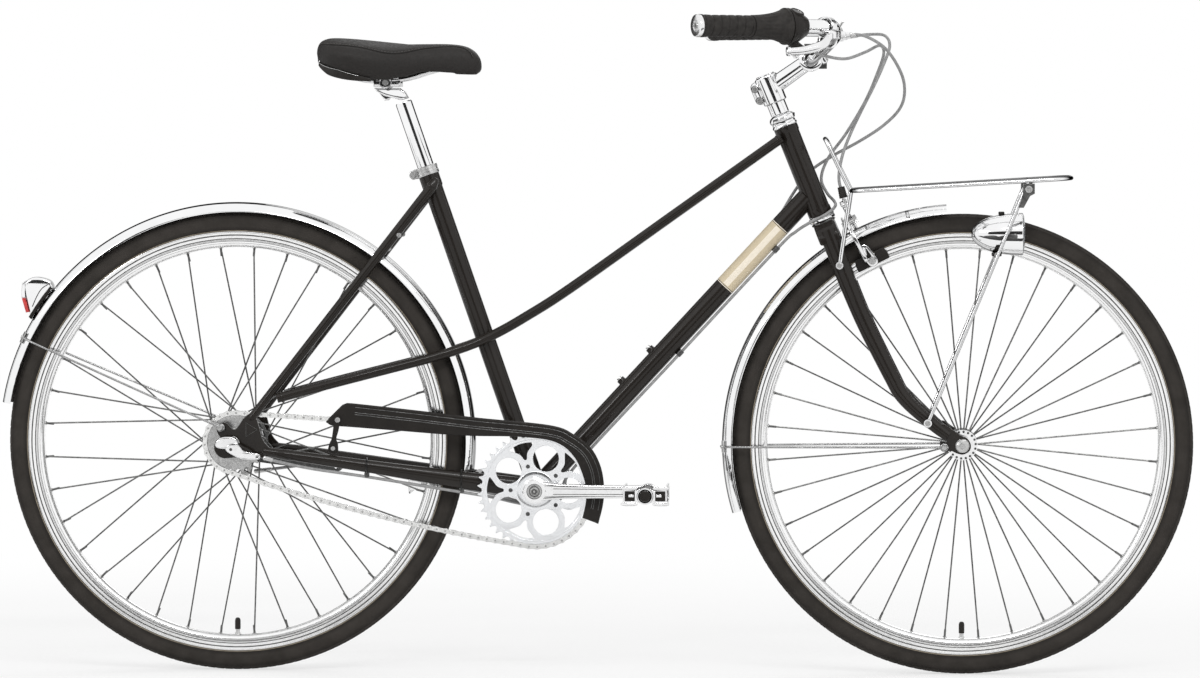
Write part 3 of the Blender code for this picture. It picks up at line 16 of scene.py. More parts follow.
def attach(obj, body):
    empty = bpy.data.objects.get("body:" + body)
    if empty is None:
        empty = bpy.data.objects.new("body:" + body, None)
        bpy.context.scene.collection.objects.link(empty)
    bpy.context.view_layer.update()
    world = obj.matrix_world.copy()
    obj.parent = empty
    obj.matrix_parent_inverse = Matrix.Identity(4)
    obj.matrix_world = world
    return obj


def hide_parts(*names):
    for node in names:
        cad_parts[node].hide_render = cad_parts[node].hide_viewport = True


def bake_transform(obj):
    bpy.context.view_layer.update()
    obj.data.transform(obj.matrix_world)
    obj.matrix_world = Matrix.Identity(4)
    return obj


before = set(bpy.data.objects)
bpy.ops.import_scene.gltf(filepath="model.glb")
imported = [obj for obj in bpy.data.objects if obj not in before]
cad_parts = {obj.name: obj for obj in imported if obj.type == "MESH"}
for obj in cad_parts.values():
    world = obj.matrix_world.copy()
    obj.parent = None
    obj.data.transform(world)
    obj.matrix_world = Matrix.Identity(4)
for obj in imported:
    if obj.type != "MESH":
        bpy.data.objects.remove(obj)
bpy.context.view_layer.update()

# The layout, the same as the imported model's
REAR_AXLE_X = -0.5415
AXLE_Z = 0.346
HEAD_ANGLE = math.radians(22.0)
HEAD_HALF = 0.0714
DOWN_R = 0.0155
SEAT_R = 0.0143
LATERAL_R = 0.0073
BAR_R = 0.0111
GRIP_Z = 0.97
CRANK = 0.17
CABLE_R = 0.0023
CHAIN_Y = -0.047
CHAIN_PITCH = 0.0127
GUARD_R = 0.361
HEAD_UP = Vector((-math.sin(HEAD_ANGLE), 0, math.cos(HEAD_ANGLE)))
HEAD_FORE = Vector((math.cos(HEAD_ANGLE), 0, math.sin(HEAD_ANGLE)))
SIDE_VIEW = Matrix(((1, 0, 0, 0), (0, 0, -1, 0), (0, 1, 0, 0), (0, 0, 0, 1)))
SIDES = {"right": -1.0, "left": 1.0}


def at(x, y, z):
    """A point given from the rear axle (x) and the ground (z)."""
    return Vector((x + REAR_AXLE_X, y, z))


def mm(*rows):
    """A table of points, or of other rows of lengths, written in millimetres."""
    return [tuple(value / 1000 for value in row) for row in rows]


REAR_AXLE = at(0, 0, AXLE_Z)
FRONT_AXLE = at(1.0933, 0, AXLE_Z)
BB = at(0.454, 0, 0.276)
HEAD = at(0.853, 0, 0.756)
SEAT_TOP = at(0.2894, 0, 0.748)
SEAT_UP = (SEAT_TOP - BB).normalized()
DOWN_TOP = at(0.866, 0, 0.723)
DOWN_RUN = (DOWN_TOP - BB).normalized()
DOWN_OUT = Vector((-DOWN_RUN.z, 0, DOWN_RUN.x))
RACK_FOOT = at(1.0415, 0, 0.38)
RACK_KNEE = at(0.909, 0, 0.615)
FRONT_STAY_FOOT = (1.0662, 0.3436)
REAR_STAY_FOOT = (-0.0175, 0.3695)


def head_point(along, fore=0.0, y=0.0):
    """A point by its distance up the steering axis from the head tube's middle, and ahead of it."""
    return HEAD + HEAD_UP * along + HEAD_FORE * fore + Vector((0, y, 0))


# Materials
def shader_of(name, colour, roughness, metallic=0.0, **sockets):
    """A Principled material; further sockets are given by name with _ for a space."""
    made = bpy.data.materials.new(name)
    made.use_nodes = True
    shader = made.node_tree.nodes["Principled BSDF"]
    shader.inputs["Base Color"].default_value = (*colour, 1.0)
    shader.inputs["Roughness"].default_value = roughness
    shader.inputs["Metallic"].default_value = metallic
    for socket, value in sockets.items():
        shader.inputs[socket.replace("_", " ")].default_value = value
    return made


def node(tree, kind, values=(), **attributes):
    made = tree.nodes.new(kind)
    for key, value in attributes.items():
        setattr(made, key, value)
    for key, value in dict(values).items():
        made.inputs[key].default_value = value
    return made


def noise_of(tree, scale, detail=4.0, stretch=(1, 1, 1)):
    """Noise over the piece's own coordinates, in repeats per metre."""
    place = node(tree, "ShaderNodeTexCoord")
    mapping = node(tree, "ShaderNodeMapping", {"Scale": stretch})
    made = node(tree, "ShaderNodeTexNoise", {"Scale": scale, "Detail": detail})
    tree.links.new(place.outputs["Object"], mapping.inputs["Vector"])
    tree.links.new(mapping.outputs["Vector"], made.inputs["Vector"])
    return made.outputs["Fac"]


def vary_colour(mat, dark, light, scale, detail=5.0, low=0.35, high=0.65, stretch=(1, 1, 1)):
    """Blend two near colours over the surface with noise."""
    tree = mat.node_tree
    ramp = node(tree, "ShaderNodeValToRGB")
    ramp.color_ramp.elements[0].position = low
    ramp.color_ramp.elements[1].position = high
    ramp.color_ramp.elements[0].color = (*dark, 1.0)
    ramp.color_ramp.elements[1].color = (*light, 1.0)
    tree.links.new(noise_of(tree, scale, detail, stretch), ramp.inputs["Fac"])
    tree.links.new(ramp.outputs["Color"], tree.nodes["Principled BSDF"].inputs["Base Color"])
    return mat


def vary_roughness(mat, low, high, scale, detail=4.0, stretch=(1, 1, 1)):
    tree = mat.node_tree
    spread = node(tree, "ShaderNodeMapRange", {"From Min": 0.3, "From Max": 0.7, "To Min": low,
        "To Max": high})
    tree.links.new(noise_of(tree, scale, detail, stretch), spread.inputs["Value"])
    tree.links.new(spread.outputs["Result"], tree.nodes["Principled BSDF"].inputs["Roughness"])
    return mat


def add_bump(mat, height, strength, distance):
    """Drive the shader's normal with a height output."""
    tree = mat.node_tree
    bump = node(tree, "ShaderNodeBump", {"Strength": strength, "Distance": distance})
    tree.links.new(height, bump.inputs["Height"])
    tree.links.new(bump.outputs["Normal"], tree.nodes["Principled BSDF"].inputs["Normal"])
    return mat


def noise_bump(mat, scale, strength, distance, detail=3.0, stretch=(1, 1, 1)):
    return add_bump(mat, noise_of(mat.node_tree, scale, detail, stretch), strength, distance)


def axle_distance(tree):
    """The distance from the piece's own Y axis."""
    place = node(tree, "ShaderNodeTexCoord")
    flat = node(tree, "ShaderNodeVectorMath", {1: (1.0, 0.0, 1.0)}, operation="MULTIPLY")
    far = node(tree, "ShaderNodeVectorMath", operation="LENGTH")
    tree.links.new(place.outputs["Object"], flat.inputs[0])
    tree.links.new(flat.outputs["Vector"], far.inputs[0])
    return far.outputs["Value"]


def radius_noise(tree, scale):
    """Noise that only changes with the distance from the Y axis: rings round an axle."""
    made = node(tree, "ShaderNodeTexNoise", {"Scale": scale, "Detail": 2.0}, noise_dimensions="1D")
    tree.links.new(axle_distance(tree), made.inputs["W"])
    return made.outputs["Fac"]


def multiply_colour(mat, ramp):
    """Multiply the material's colour by a ramp's."""
    tree = mat.node_tree
    base = tree.nodes["Principled BSDF"].inputs["Base Color"]
    mix = node(tree, "ShaderNodeMix", data_type="RGBA", blend_type="MULTIPLY")
    factor, first, second, result = mix.inputs[0], mix.inputs[6], mix.inputs[7], mix.outputs[2]
    factor.default_value = 1.0
    tree.links.new(base.links[0].from_socket, first)
    tree.links.new(ramp.outputs["Color"], second)
    tree.links.new(result, base)


def leather(name, dark, light):
    """Grained vinyl: small cells with creases between them."""
    made = shader_of(name, light, 0.55, Specular_IOR_Level=0.32)
    vary_colour(made, dark, light, 420.0, 6.0, 0.25, 0.75)
    vary_roughness(made, 0.52, 0.66, 260.0)
    tree = made.node_tree
    place = node(tree, "ShaderNodeTexCoord")
    cells = node(tree, "ShaderNodeTexVoronoi", {"Scale": 620.0}, feature="DISTANCE_TO_EDGE")
    tree.links.new(place.outputs["Object"], cells.inputs["Vector"])
    return add_bump(made, cells.outputs["Distance"], 0.45, 0.0008)


def darken_edges(mat, start, end, level):
    """Let the grazing edges of a metal go dark, as they mirror the dark sides of a studio."""
    tree = mat.node_tree
    facing = node(tree, "ShaderNodeLayerWeight", {"Blend": 0.5})
    ramp = node(tree, "ShaderNodeValToRGB")
    for element, place, shade in zip(ramp.color_ramp.elements, (start, end), (1.0, level)):
        element.position = place
        element.color = (shade, shade, shade, 1.0)
    tree.links.new(facing.outputs["Facing"], ramp.inputs["Fac"])
    multiply_colour(mat, ramp)


def metal(name, dark, light, rough_low, rough_high, scale, edge=None):
    """A metal whose colour and roughness vary a little; edge is what darken_edges takes."""
    made = shader_of(name, light, rough_low, 1.0)
    vary_colour(made, dark, light, scale)
    if edge:
        darken_edges(made, *edge)
    return vary_roughness(made, rough_low, rough_high, scale * 3.0)


# How light the tyre is from its bead to its tread: distance along that way, level
TYRE_TONES = ((0.0, 0.6), (0.14, 0.62), (0.26, 0.92), (0.52, 0.86), (0.66, 0.62), (0.7, 0.6),
    (0.71, 1.0), (0.76, 1.0), (0.78, 0.52), (0.86, 0.66), (1.0, 0.5))
TYRE_TONES_FROM, TYRE_TONES_TO = 0.315, 0.353


def radius_tone(mat, start, end, tones):
    """Darken a round piece ring by ring, by its distance from the axle."""
    tree = mat.node_tree
    part = node(tree, "ShaderNodeMapRange", {"From Min": start, "From Max": end})
    ramp = node(tree, "ShaderNodeValToRGB")
    elements = ramp.color_ramp.elements
    elements[0].position = tones[0][0]
    elements[1].position = tones[-1][0]
    for place, _ in tones[1:-1]:
        elements.new(place)
    for element, (_, level) in zip(elements, tones):
        element.color = (level, level, level, 1.0)
    tree.links.new(axle_distance(tree), part.inputs["Value"])
    tree.links.new(part.outputs["Result"], ramp.inputs["Fac"])
    multiply_colour(mat, ramp)


# Each metal's name, darkest and lightest colour, lowest and highest roughness and noise scale,
# and for some the facing where the dark edge starts and ends, and its level
METALS = {
    "chrome": ("chrome", (0.89, 0.893, 0.897), (0.945, 0.947, 0.95), 0.025, 0.075, 22.0,
               (0.5, 0.68, 0.04)),
    "wire": ("chrome_wire", (0.87, 0.873, 0.877), (0.93, 0.932, 0.935), 0.15, 0.21, 60.0,
             (0.26, 0.52, 0.05)),
    "stay": ("grey_wire", (0.34, 0.34, 0.34), (0.46, 0.46, 0.46), 0.22, 0.34, 60.0),
    "alloy": ("polished_alloy", (0.84, 0.84, 0.843), (0.91, 0.91, 0.913), 0.09, 0.17, 60.0,
              (0.54, 0.72, 0.08)),
    "satin": ("satin_alloy", (0.9, 0.91, 0.925), (0.93, 0.94, 0.955), 0.17, 0.21, 120.0),
    "rim": ("rim_alloy", (0.93, 0.93, 0.93), (0.97, 0.97, 0.97), 0.12, 0.15, 30.0),
    "steel": ("bright_steel", (0.52, 0.52, 0.515), (0.66, 0.66, 0.655), 0.22, 0.38, 90.0),
    "spoke": ("spoke_steel", (0.1, 0.1, 0.1), (0.2, 0.2, 0.195), 0.28, 0.42, 200.0),
    "dark_steel": ("dark_steel", (0.09, 0.09, 0.09), (0.16, 0.16, 0.158), 0.34, 0.52, 160.0),
    "chain": ("chain_steel", (0.78, 0.78, 0.77), (0.92, 0.92, 0.91), 0.14, 0.24, 260.0,
              (0.45, 0.7, 0.1)),
}
# How dark the thin wires' reflections go at their edges: a painted reflection of the dark sides of a
# studio
WIRE_TINT = 0.12


def make_metals():
    made = {key: metal(*values) for key, values in METALS.items()}
    noise_bump(made["alloy"], 900.0, 0.03, 0.0002)
    noise_bump(made["satin"], 1400.0, 0.03, 0.0002)
    noise_bump(made["dark_steel"], 1300.0, 0.1, 0.0003)
    add_bump(made["rim"], radius_noise(made["rim"].node_tree, 900.0), 0.04, 0.0003)
    # The thin wires' grazing edges painted dark, as a painted reflection
    for thin in ("wire", "stay"):
        shader = made[thin].node_tree.nodes["Principled BSDF"]
        shader.inputs["Specular Tint"].default_value = (WIRE_TINT, WIRE_TINT, WIRE_TINT, 1.0)
    return made


def frame_paint():
    made = shader_of("frame_paint", (0.0135, 0.0105, 0.0083), 0.36, Specular_IOR_Level=0.16,
        Coat_Weight=0.36, Coat_Roughness=0.06)
    vary_colour(made, (0.0122, 0.0094, 0.0074), (0.015, 0.0118, 0.0094), 9.0)
    vary_roughness(made, 0.32, 0.4, 55.0)
    return noise_bump(made, 700.0, 0.02, 0.0002)


def tyre_rubber():
    made = shader_of("tyre_rubber", (0.04, 0.035, 0.031), 0.8, Specular_IOR_Level=0.18)
    vary_colour(made, (0.034, 0.03, 0.0264), (0.045, 0.0395, 0.0349), 34.0)
    vary_roughness(made, 0.7, 0.9, 90.0)
    add_bump(made, radius_noise(made.node_tree, 520.0), 0.16, 0.0006)
    radius_tone(made, TYRE_TONES_FROM, TYRE_TONES_TO, TYRE_TONES)
    return made


def tan_sidewall():
    made = shader_of("tan_sidewall", (0.24, 0.205, 0.155), 0.7)
    vary_colour(made, (0.2, 0.17, 0.128), (0.28, 0.24, 0.182), 80.0)
    return noise_bump(made, 900.0, 0.15, 0.0003)


def grip_rubber():
    made = shader_of("grip_rubber", (0.024, 0.0215, 0.0197), 0.72, Specular_IOR_Level=0.3)
    vary_colour(made, (0.019, 0.017, 0.0156), (0.03, 0.027, 0.0248), 120.0)
    vary_roughness(made, 0.62, 0.84, 200.0)
    return noise_bump(made, 1500.0, 0.35, 0.0005)


def black_plastic():
    made = shader_of("black_plastic", (0.0135, 0.0112, 0.0094), 0.4, Specular_IOR_Level=0.28)
    vary_colour(made, (0.0115, 0.0095, 0.008), (0.0155, 0.0129, 0.0108), 45.0)
    vary_roughness(made, 0.36, 0.5, 130.0)
    return noise_bump(made, 2200.0, 0.12, 0.0002)


def cable_housing():
    made = shader_of("cable_housing", (0.3, 0.3, 0.3), 0.42)
    vary_colour(made, (0.25, 0.25, 0.25), (0.34, 0.34, 0.34), 150.0)
    vary_roughness(made, 0.34, 0.5, 300.0)
    return noise_bump(made, 2600.0, 0.1, 0.0002)


def red_lens():
    made = shader_of("red_lens", (0.55, 0.02, 0.02), 0.12, Coat_Weight=0.6, Coat_Roughness=0.05)
    return vary_colour(made, (0.46, 0.012, 0.012), (0.62, 0.035, 0.03), 160.0)


def clear_lens():
    made = shader_of("clear_lens", (0.9, 0.92, 0.93), 0.06, Transmission_Weight=0.85, IOR=1.49)
    return vary_roughness(made, 0.04, 0.1, 120.0)


def panel_colour(name, colour, dark, light, scale):
    made = shader_of(name, colour, 0.34, Specular_IOR_Level=0.3, Coat_Weight=0.2,
        Coat_Roughness=0.15)
    return vary_colour(made, dark, light, scale)


def seam_thread():
    made = shader_of("seam_thread", (0.12, 0.115, 0.108), 0.8)
    vary_colour(made, (0.1, 0.095, 0.09), (0.15, 0.143, 0.135), 900.0)
    return noise_bump(made, 2500.0, 0.4, 0.0004)


def dial_white():
    made = shader_of("dial_white", (0.75, 0.75, 0.73), 0.5)
    return vary_colour(made, (0.7, 0.7, 0.68), (0.78, 0.78, 0.76), 300.0)


def make_materials():
    made = make_metals()
    made.update(paint=frame_paint(), tyre=tyre_rubber(), tan=tan_sidewall(), rubber=grip_rubber(),
        plastic=black_plastic(), cable=cable_housing(), red=red_lens(), clear=clear_lens(),
        thread=seam_thread(), white=dial_white())
    # The panel's cream: the print of its border lines, and a painted highlight in the field down the
    # middle of each side
    made["cream"] = panel_colour("panel_cream_print_and_highlight", (0.88, 0.8, 0.67), (0.87, 0.79, 0.66),
        (0.89, 0.81, 0.68), 40.0)
    made["gold"] = panel_colour("panel_gold", (0.63, 0.535, 0.375), (0.61, 0.515, 0.36),
        (0.65, 0.555, 0.39), 30.0)
    made["cover"] = leather("saddle_vinyl", (0.0125, 0.0108, 0.0098), (0.02, 0.0176, 0.016))
    return made


MAT = make_materials()


# Geometry: each function gives (points, faces), and piece() makes the object
def joined(*parts):
    """Several shapes as one list of points and one of faces."""
    verts, faces = [], []
    for points, polygons in parts:
        base = len(verts)
        verts += points
        faces += [tuple(i + base for i in polygon) for polygon in polygons]
    return verts, faces


def mirrored(points):
    """The same points on the other side of the bicycle."""
    return [Vector((p[0], -p[1], p[2])) for p in points]


def flipped(part):
    """The same shape on the other side of the bicycle."""
    return mirrored(part[0]), [tuple(reversed(polygon)) for polygon in part[1]]


def both_ways(half):
    """A turned profile with its mirror image; a last point on the middle isn't repeated."""
    last = 2 if half[-1][1] == 0.0 else 1
    return half + [(r, -h) for r, h in half[-last::-1]]


def towards(origin, direction, side=None):
    """A frame at origin whose Z axis lies along direction, X as near side as it can be."""
    z = Vector(direction).normalized()
    hint = Vector(side) if side else (Vector((0, 1, 0)) if abs(z.y) < 0.9 else Vector((1, 0, 0)))
    x = (hint - z * hint.dot(z)).normalized()
    y = z.cross(x)
    return Matrix.Translation(origin) @ Matrix((x, y, z)).transposed().to_4x4()


def axle_frame(centre):
    """A frame whose Z axis lies along the axle at centre."""
    return towards(centre, (0, 1, 0), side=(1, 0, 0))


def across(centre, side, y=0.0):
    """A frame whose Z axis points outwards on one side of the bicycle."""
    return towards(Vector((centre[0], y * side, centre[2])), (0, side, 0), side=(1, 0, 0))


def smooth(points, count, closed=False):
    """Points read evenly from a smooth curve through the given ones."""
    pts = [Vector(p) for p in points]
    total = len(pts)

    def pick(i):
        return pts[i % total] if closed else pts[max(0, min(total - 1, i))]

    fine = []
    for span in range(total if closed else total - 1):
        a, b, c, d = (pick(span + k) for k in (-1, 0, 1, 2))
        for step in range(16):
            t = step / 16
            fine.append(0.5 * (2 * b + (c - a) * t + (2 * a - 5 * b + 4 * c - d) * t * t
                + (3 * b - a - 3 * c + d) * t ** 3))
    fine.append(pts[0] if closed else pts[-1])
    run = [0.0]
    for p, q in zip(fine, fine[1:]):
        run.append(run[-1] + (q - p).length)
    out = []
    j = 0
    for k in range(count):
        length = run[-1] * k / (count if closed else count - 1)
        while j < len(run) - 2 and run[j + 1] < length:
            j += 1
        part = (length - run[j]) / max(run[j + 1] - run[j], 1e-12)
        out.append(fine[j].lerp(fine[j + 1], min(1.0, part)))
    return out


def ring_faces(rings, size, around=False):
    """The faces between rings of points, the last ring joined to the first if around."""
    faces = []
    for k in range(rings if around else rings - 1):
        a, b = k * size, ((k + 1) % rings) * size
        for s in range(size):
            n = (s + 1) % size
            faces.append((a + s, a + n, b + n, b + s))
    return faces


def sweep(points, radius, sides=20, closed=False, oval=None, round_end=0.0):
    """A rod along points. radius and oval, its width over its height,
        are one number or one a point."""
    pts = [Vector(p) for p in points]
    count = len(pts)
    radii = list(radius) if hasattr(radius, "__len__") else [radius] * count
    ovals = list(oval) if hasattr(oval, "__len__") else [oval or 1.0] * count
    if round_end and not closed:
        for end in (0, -1):
            inner = pts[1] if end == 0 else pts[-2]
            run = (pts[end] - inner).normalized()
            tip, r = pts[end], radii[end]
            ring = [(tip - run * round_end * r * (1 - math.sin(a)), r * math.cos(a))
                for a in (0.0, 0.5, 1.0, 1.35)]
            if end == 0:
                pts[0:1] = [p for p, _ in reversed(ring)]
                radii[0:1] = [s for _, s in reversed(ring)]
                ovals[0:1] = [ovals[0]] * 4
            else:
                pts[-1:] = [p for p, _ in ring]
                radii[-1:] = [s for _, s in ring]
                ovals[-1:] = [ovals[-1]] * 4
        count = len(pts)
    tangents = []
    for k in range(count):
        before = pts[k - 1] if (k or closed) else pts[k]
        after = pts[(k + 1) % count] if (k < count - 1 or closed) else pts[k]
        tangents.append((after - before).normalized())
    hint = Vector((0, 1, 0)) if abs(tangents[0].y) < 0.9 else Vector((0, 0, 1))
    wide = (hint - tangents[0] * hint.dot(tangents[0])).normalized()
    verts = []
    for k in range(count):
        wide = (wide - tangents[k] * wide.dot(tangents[k])).normalized()
        high = tangents[k].cross(wide)
        for s in range(sides):
            turn = 2 * math.pi * s / sides
            verts.append(pts[k] + wide * (radii[k] * ovals[k] * math.cos(turn))
                + high * (radii[k] * math.sin(turn)))
    faces = ring_faces(count, sides, closed)
    if not closed:
        faces.append(tuple(range(sides))[::-1])
        faces.append(tuple(range((count - 1) * sides, count * sides)))
    return verts, faces


def rod(start, end, radius, sides=20):
    return sweep([start, end], radius, sides)


def revolve(profile, place, steps=48, warp=None, closed=False, arc=360.0, start=0.0):
    """A profile of (radius, height) turned about the Z axis of place."""
    verts, faces = [], []
    full = arc >= 360.0
    rings = steps if full else steps + 1
    size = len(profile)
    for k in range(rings):
        turn = math.radians(start + arc * k / steps)
        for r, h in profile:
            if warp:
                r, h = warp(turn, r, h)
            verts.append(place @ Vector((r * math.cos(turn), r * math.sin(turn), h)))
    spans = size if closed else size - 1
    for k in range(steps):
        a, b = k * size, ((k + 1) % rings) * size
        for s in range(spans):
            n = (s + 1) % size
            quad = [a + s, b + s, b + n, a + n]
            if profile[s][0] < 1e-7:
                quad.remove(b + s)
            if profile[n][0] < 1e-7:
                quad.remove(b + n)
            if len(quad) > 2:
                faces.append(tuple(quad))
    if not full and closed:
        faces.append(tuple(range(size))[::-1])
        faces.append(tuple(range((rings - 1) * size, rings * size)))
    return verts, faces


def slab(outline, thickness, place, holes=(), bevel=0.0006, fine=False):
    """A flat outline in the XY plane of place with rounded edges, thickness along Z."""
    curve = bpy.data.curves.new("slab", "CURVE")
    curve.dimensions = "2D"
    curve.fill_mode = "BOTH"
    curve.extrude = thickness / 2 - bevel
    curve.bevel_depth = bevel
    curve.bevel_resolution = 2 if fine else 1
    curve.offset = -bevel
    for ring in (outline, *holes):
        spline = curve.splines.new("POLY")
        spline.points.add(len(ring) - 1)
        for i, p in enumerate(ring):
            spline.points[i].co = (p[0], p[1], 0.0, 1.0)
        spline.use_cyclic_u = True
    made = bpy.data.objects.new("slab", curve)
    bpy.context.scene.collection.objects.link(made)
    bpy.context.view_layer.update()
    mesh = bpy.data.meshes.new_from_object(made.evaluated_get(bpy.context.evaluated_depsgraph_get()))
    verts = [place @ v.co for v in mesh.vertices]
    faces = [tuple(p.vertices) for p in mesh.polygons]
    bpy.data.objects.remove(made)
    bpy.data.meshes.remove(mesh)
    bpy.data.curves.remove(curve)
    return verts, faces


def side_slab(outline, y_from, y_to, holes=(), bevel=0.0006, fine=False):
    """A slab whose outline is given in the side view, from the rear axle and the ground."""
    place = Matrix.Translation((REAR_AXLE_X, (y_from + y_to) / 2, 0)) @ SIDE_VIEW
    return slab(outline, abs(y_to - y_from), place, holes, bevel, fine)


def rounded(outline, count):
    """A closed outline read as a smooth curve."""
    return [tuple(p.xy) for p in smooth([(x, y, 0.0) for x, y in outline], count, True)]


def block(size, place, bevel=0.001):
    """A box with rounded edges, its centre at a matrix or a point."""
    shell = bmesh.new()
    bmesh.ops.create_cube(shell, size=1.0, matrix=Matrix.Diagonal((*size, 1.0)))
    bmesh.ops.bevel(shell, geom=shell.edges[:], offset=bevel, segments=2, affect="EDGES",
        profile=0.5)
    shell.verts.ensure_lookup_table()
    place = place if isinstance(place, Matrix) else Matrix.Translation(place)
    verts = [place @ v.co for v in shell.verts]
    faces = [tuple(v.index for v in f.verts) for f in shell.faces]
    shell.free()
    return verts, faces


def hexed(turn, radius):
    """The radius at which a hexagon of that corner radius lies at a turn."""
    local = (turn % (math.pi / 3)) - math.pi / 6
    return radius * math.cos(math.pi / 6) / math.cos(local)


def socket_bolt(place, radius, height):
    """A round bolt head with a hexagonal socket, standing on place along its Z axis."""
    socket = radius * 0.52
    profile = [(radius, 0.0), (radius, height * 0.75), (radius * 0.86, height), (socket, height),
        (socket, height * 0.35), (0.0, height * 0.35)]

    def warp(turn, r, h):
        return (hexed(turn, r), h) if abs(r - socket) < 1e-9 else (r, h)

    return revolve(profile, place, 24, warp)


def hex_nut(place, radius, height, bore=0.0):
    """A hexagonal nut standing on place, with chamfered corners and a washer face."""
    profile = [(radius * 1.08, 0.0), (radius * 1.08, height * 0.12), (radius, height * 0.14),
        (radius, height * 0.85), (radius * 0.86, height), (bore, height)]

    def warp(turn, r, h):
        return (hexed(turn, r), h) if height * 0.13 < h < height * 0.9 else (r, h)

    return revolve(profile, place, 36, warp)


# The slot name of each material, which piece() looks up unless the piece gives another
SLOTS = {
    "alloy": "alloy",
    "cable": "cable",
    "chain": "bright_steel",
    "chrome": "chrome",
    "clear": "clear_lens",
    "cover": "cover",
    "dark_steel": "dark_steel",
    "paint": "painted_frame",
    "plastic": "plastic",
    "red": "red_lens",
    "rim": "alloy",
    "rubber": "rubber",
    "satin": "alloy",
    "spoke": "bright_steel",
    "stay": "chrome",
    "steel": "bright_steel",
    "tan": "tyre",
    "thread": "cover",
    "tyre": "tyre",
    "white": "clear_lens",
    "wire": "chrome",
}


def piece(name, part, material, body, stands_for=(), origin=None, slot=None, angle=38.0):
    """One object of the bicycle, riding on a body, and standing for CAD nodes if it says so."""
    mesh = bpy.data.meshes.new(name)
    shift = Vector(origin) if origin is not None else Vector((0, 0, 0))
    mesh.from_pydata([tuple(Vector(p) - shift) for p in part[0]], [], part[1])
    shell = bmesh.new()
    shell.from_mesh(mesh)
    bmesh.ops.remove_doubles(shell, verts=shell.verts, dist=2e-6)
    bmesh.ops.recalc_face_normals(shell, faces=shell.faces)
    shell.to_mesh(mesh)
    shell.free()
    mesh.materials.append(MAT[material])
    mesh.shade_smooth()
    mesh.set_sharp_from_angle(angle=math.radians(angle))
    made = bpy.data.objects.new(name, mesh)
    bpy.context.scene.collection.objects.link(made)
    made.location = shift
    weighted = made.modifiers.new("weighted_normals", "WEIGHTED_NORMAL")
    weighted.weight = 90
    weighted.keep_sharp = True
    if body:
        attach(made, body)
    slot = SLOTS[material] if slot is None else slot
    if stands_for:
        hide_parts(*stands_for)
    return made


def circle(centre, radius, count, start=0.0):
    turns = [math.radians(start) + 2 * math.pi * k / count for k in range(count)]
    return [(centre[0] + radius * math.cos(t), centre[1] + radius * math.sin(t)) for t in turns]


def polar(degrees, radius):
    turn = math.radians(degrees)
    return (radius * math.cos(turn), radius * math.sin(turn))


# Wheels
TREAD_BLOCKS = 164
TREAD_R, TREAD_TOP_R = 0.345, 0.3459
BLOCK_HEIGHT = 0.0008
SPOKES = 36
SPOKE_R, SPOKE_END_R = 0.0012, 0.289
RIM_SEAT_R = 0.2932
HALF_FLANGE = 0.0014
TYRE_SHAPE = mm((316.4, 11.2), (316.6, 13.1), (318, 14.3), (320.8, 15.4), (325, 16.7), (330, 17.3),
    (334.5, 17), (338, 15.8), (340.5, 13.8), (342.5, 10.8), (344, 7.6), (344.9, 4), (345.2, 0))


def tyre_surface(y):
    """The carcass radius at a distance from its middle, on the tread."""
    rows = sorted((abs(b), a) for a, b in TYRE_SHAPE[7:])
    y = abs(y)
    for low, high in zip(rows, rows[1:]):
        if y <= high[0]:
            return low[1] + (high[1] - low[1]) * (y - low[0]) / (high[0] - low[0])
    return rows[-1][1]


def tread_block(place, start, end, y_in, y_out, lean, height):
    """One raised block of the tread between two angles (degrees) and two widths."""
    verts = []
    for rise, shrink in ((-0.0006, 0.0), (height * 0.7, 0.0), (height, 0.0004)):
        for turn, y, dy, dt in ((start, y_in, 1, 1), (end, y_in, 1, -1), (end, y_out, -1, -1),
                                (start, y_out, -1, 1)):
            sign = 1.0 if y_out >= y_in else -1.0
            wide = y + shrink * dy * sign
            slip = lean * (abs(y) - abs(y_in)) / max(abs(y_out - y_in), 1e-9)
            here = math.radians(turn + slip + dt * math.degrees(shrink / TREAD_R))
            radius = min(tyre_surface(y) + rise, TREAD_TOP_R)
            verts.append(place @ Vector((radius * math.cos(here), radius * math.sin(here), wide)))
    faces = [(8, 9, 10, 11)]
    for ring in (0, 4):
        for k in range(4):
            n = (k + 1) % 4
            faces.append((ring + k, ring + n, ring + 4 + n, ring + 4 + k))
    return verts, faces


def make_tyre(which, centre, body):
    place = axle_frame(centre)
    carcass = revolve(both_ways(TYRE_SHAPE) + [(0.316, 0.0)], place, 144, closed=True)
    blocks = []
    span = 360.0 / TREAD_BLOCKS
    for k in range(TREAD_BLOCKS):
        turn = k * span
        for side in (-1, 1):
            shift = 0.0 if side > 0 else span / 2
            a, b = turn + shift + span * 0.07, turn + shift + span * 0.93
            blocks.append(tread_block(place, a, b, side * 0.01, side * 0.0143, 0.0, BLOCK_HEIGHT))
            blocks.append(tread_block(place, a, b - span * 0.12, side * 0.0014, side * 0.0088,
                span * 0.45, BLOCK_HEIGHT))
    piece(f"{which}_tyre_dressed", joined(carcass, *blocks), "tyre", body, [f"{which}_tyre"],
        centre, angle=30.0)
    lines = []
    for side in (-1, 1):
        ring = [(0.3171, side * 0.0137), (0.3174, side * 0.0143), (0.3182, side * 0.0147),
            (0.3186, side * 0.0143)]
        lines.append(revolve(ring, place, 144, closed=True))
    piece(f"{which}_tyre_edge_line", joined(*lines), "tan", body, origin=centre)


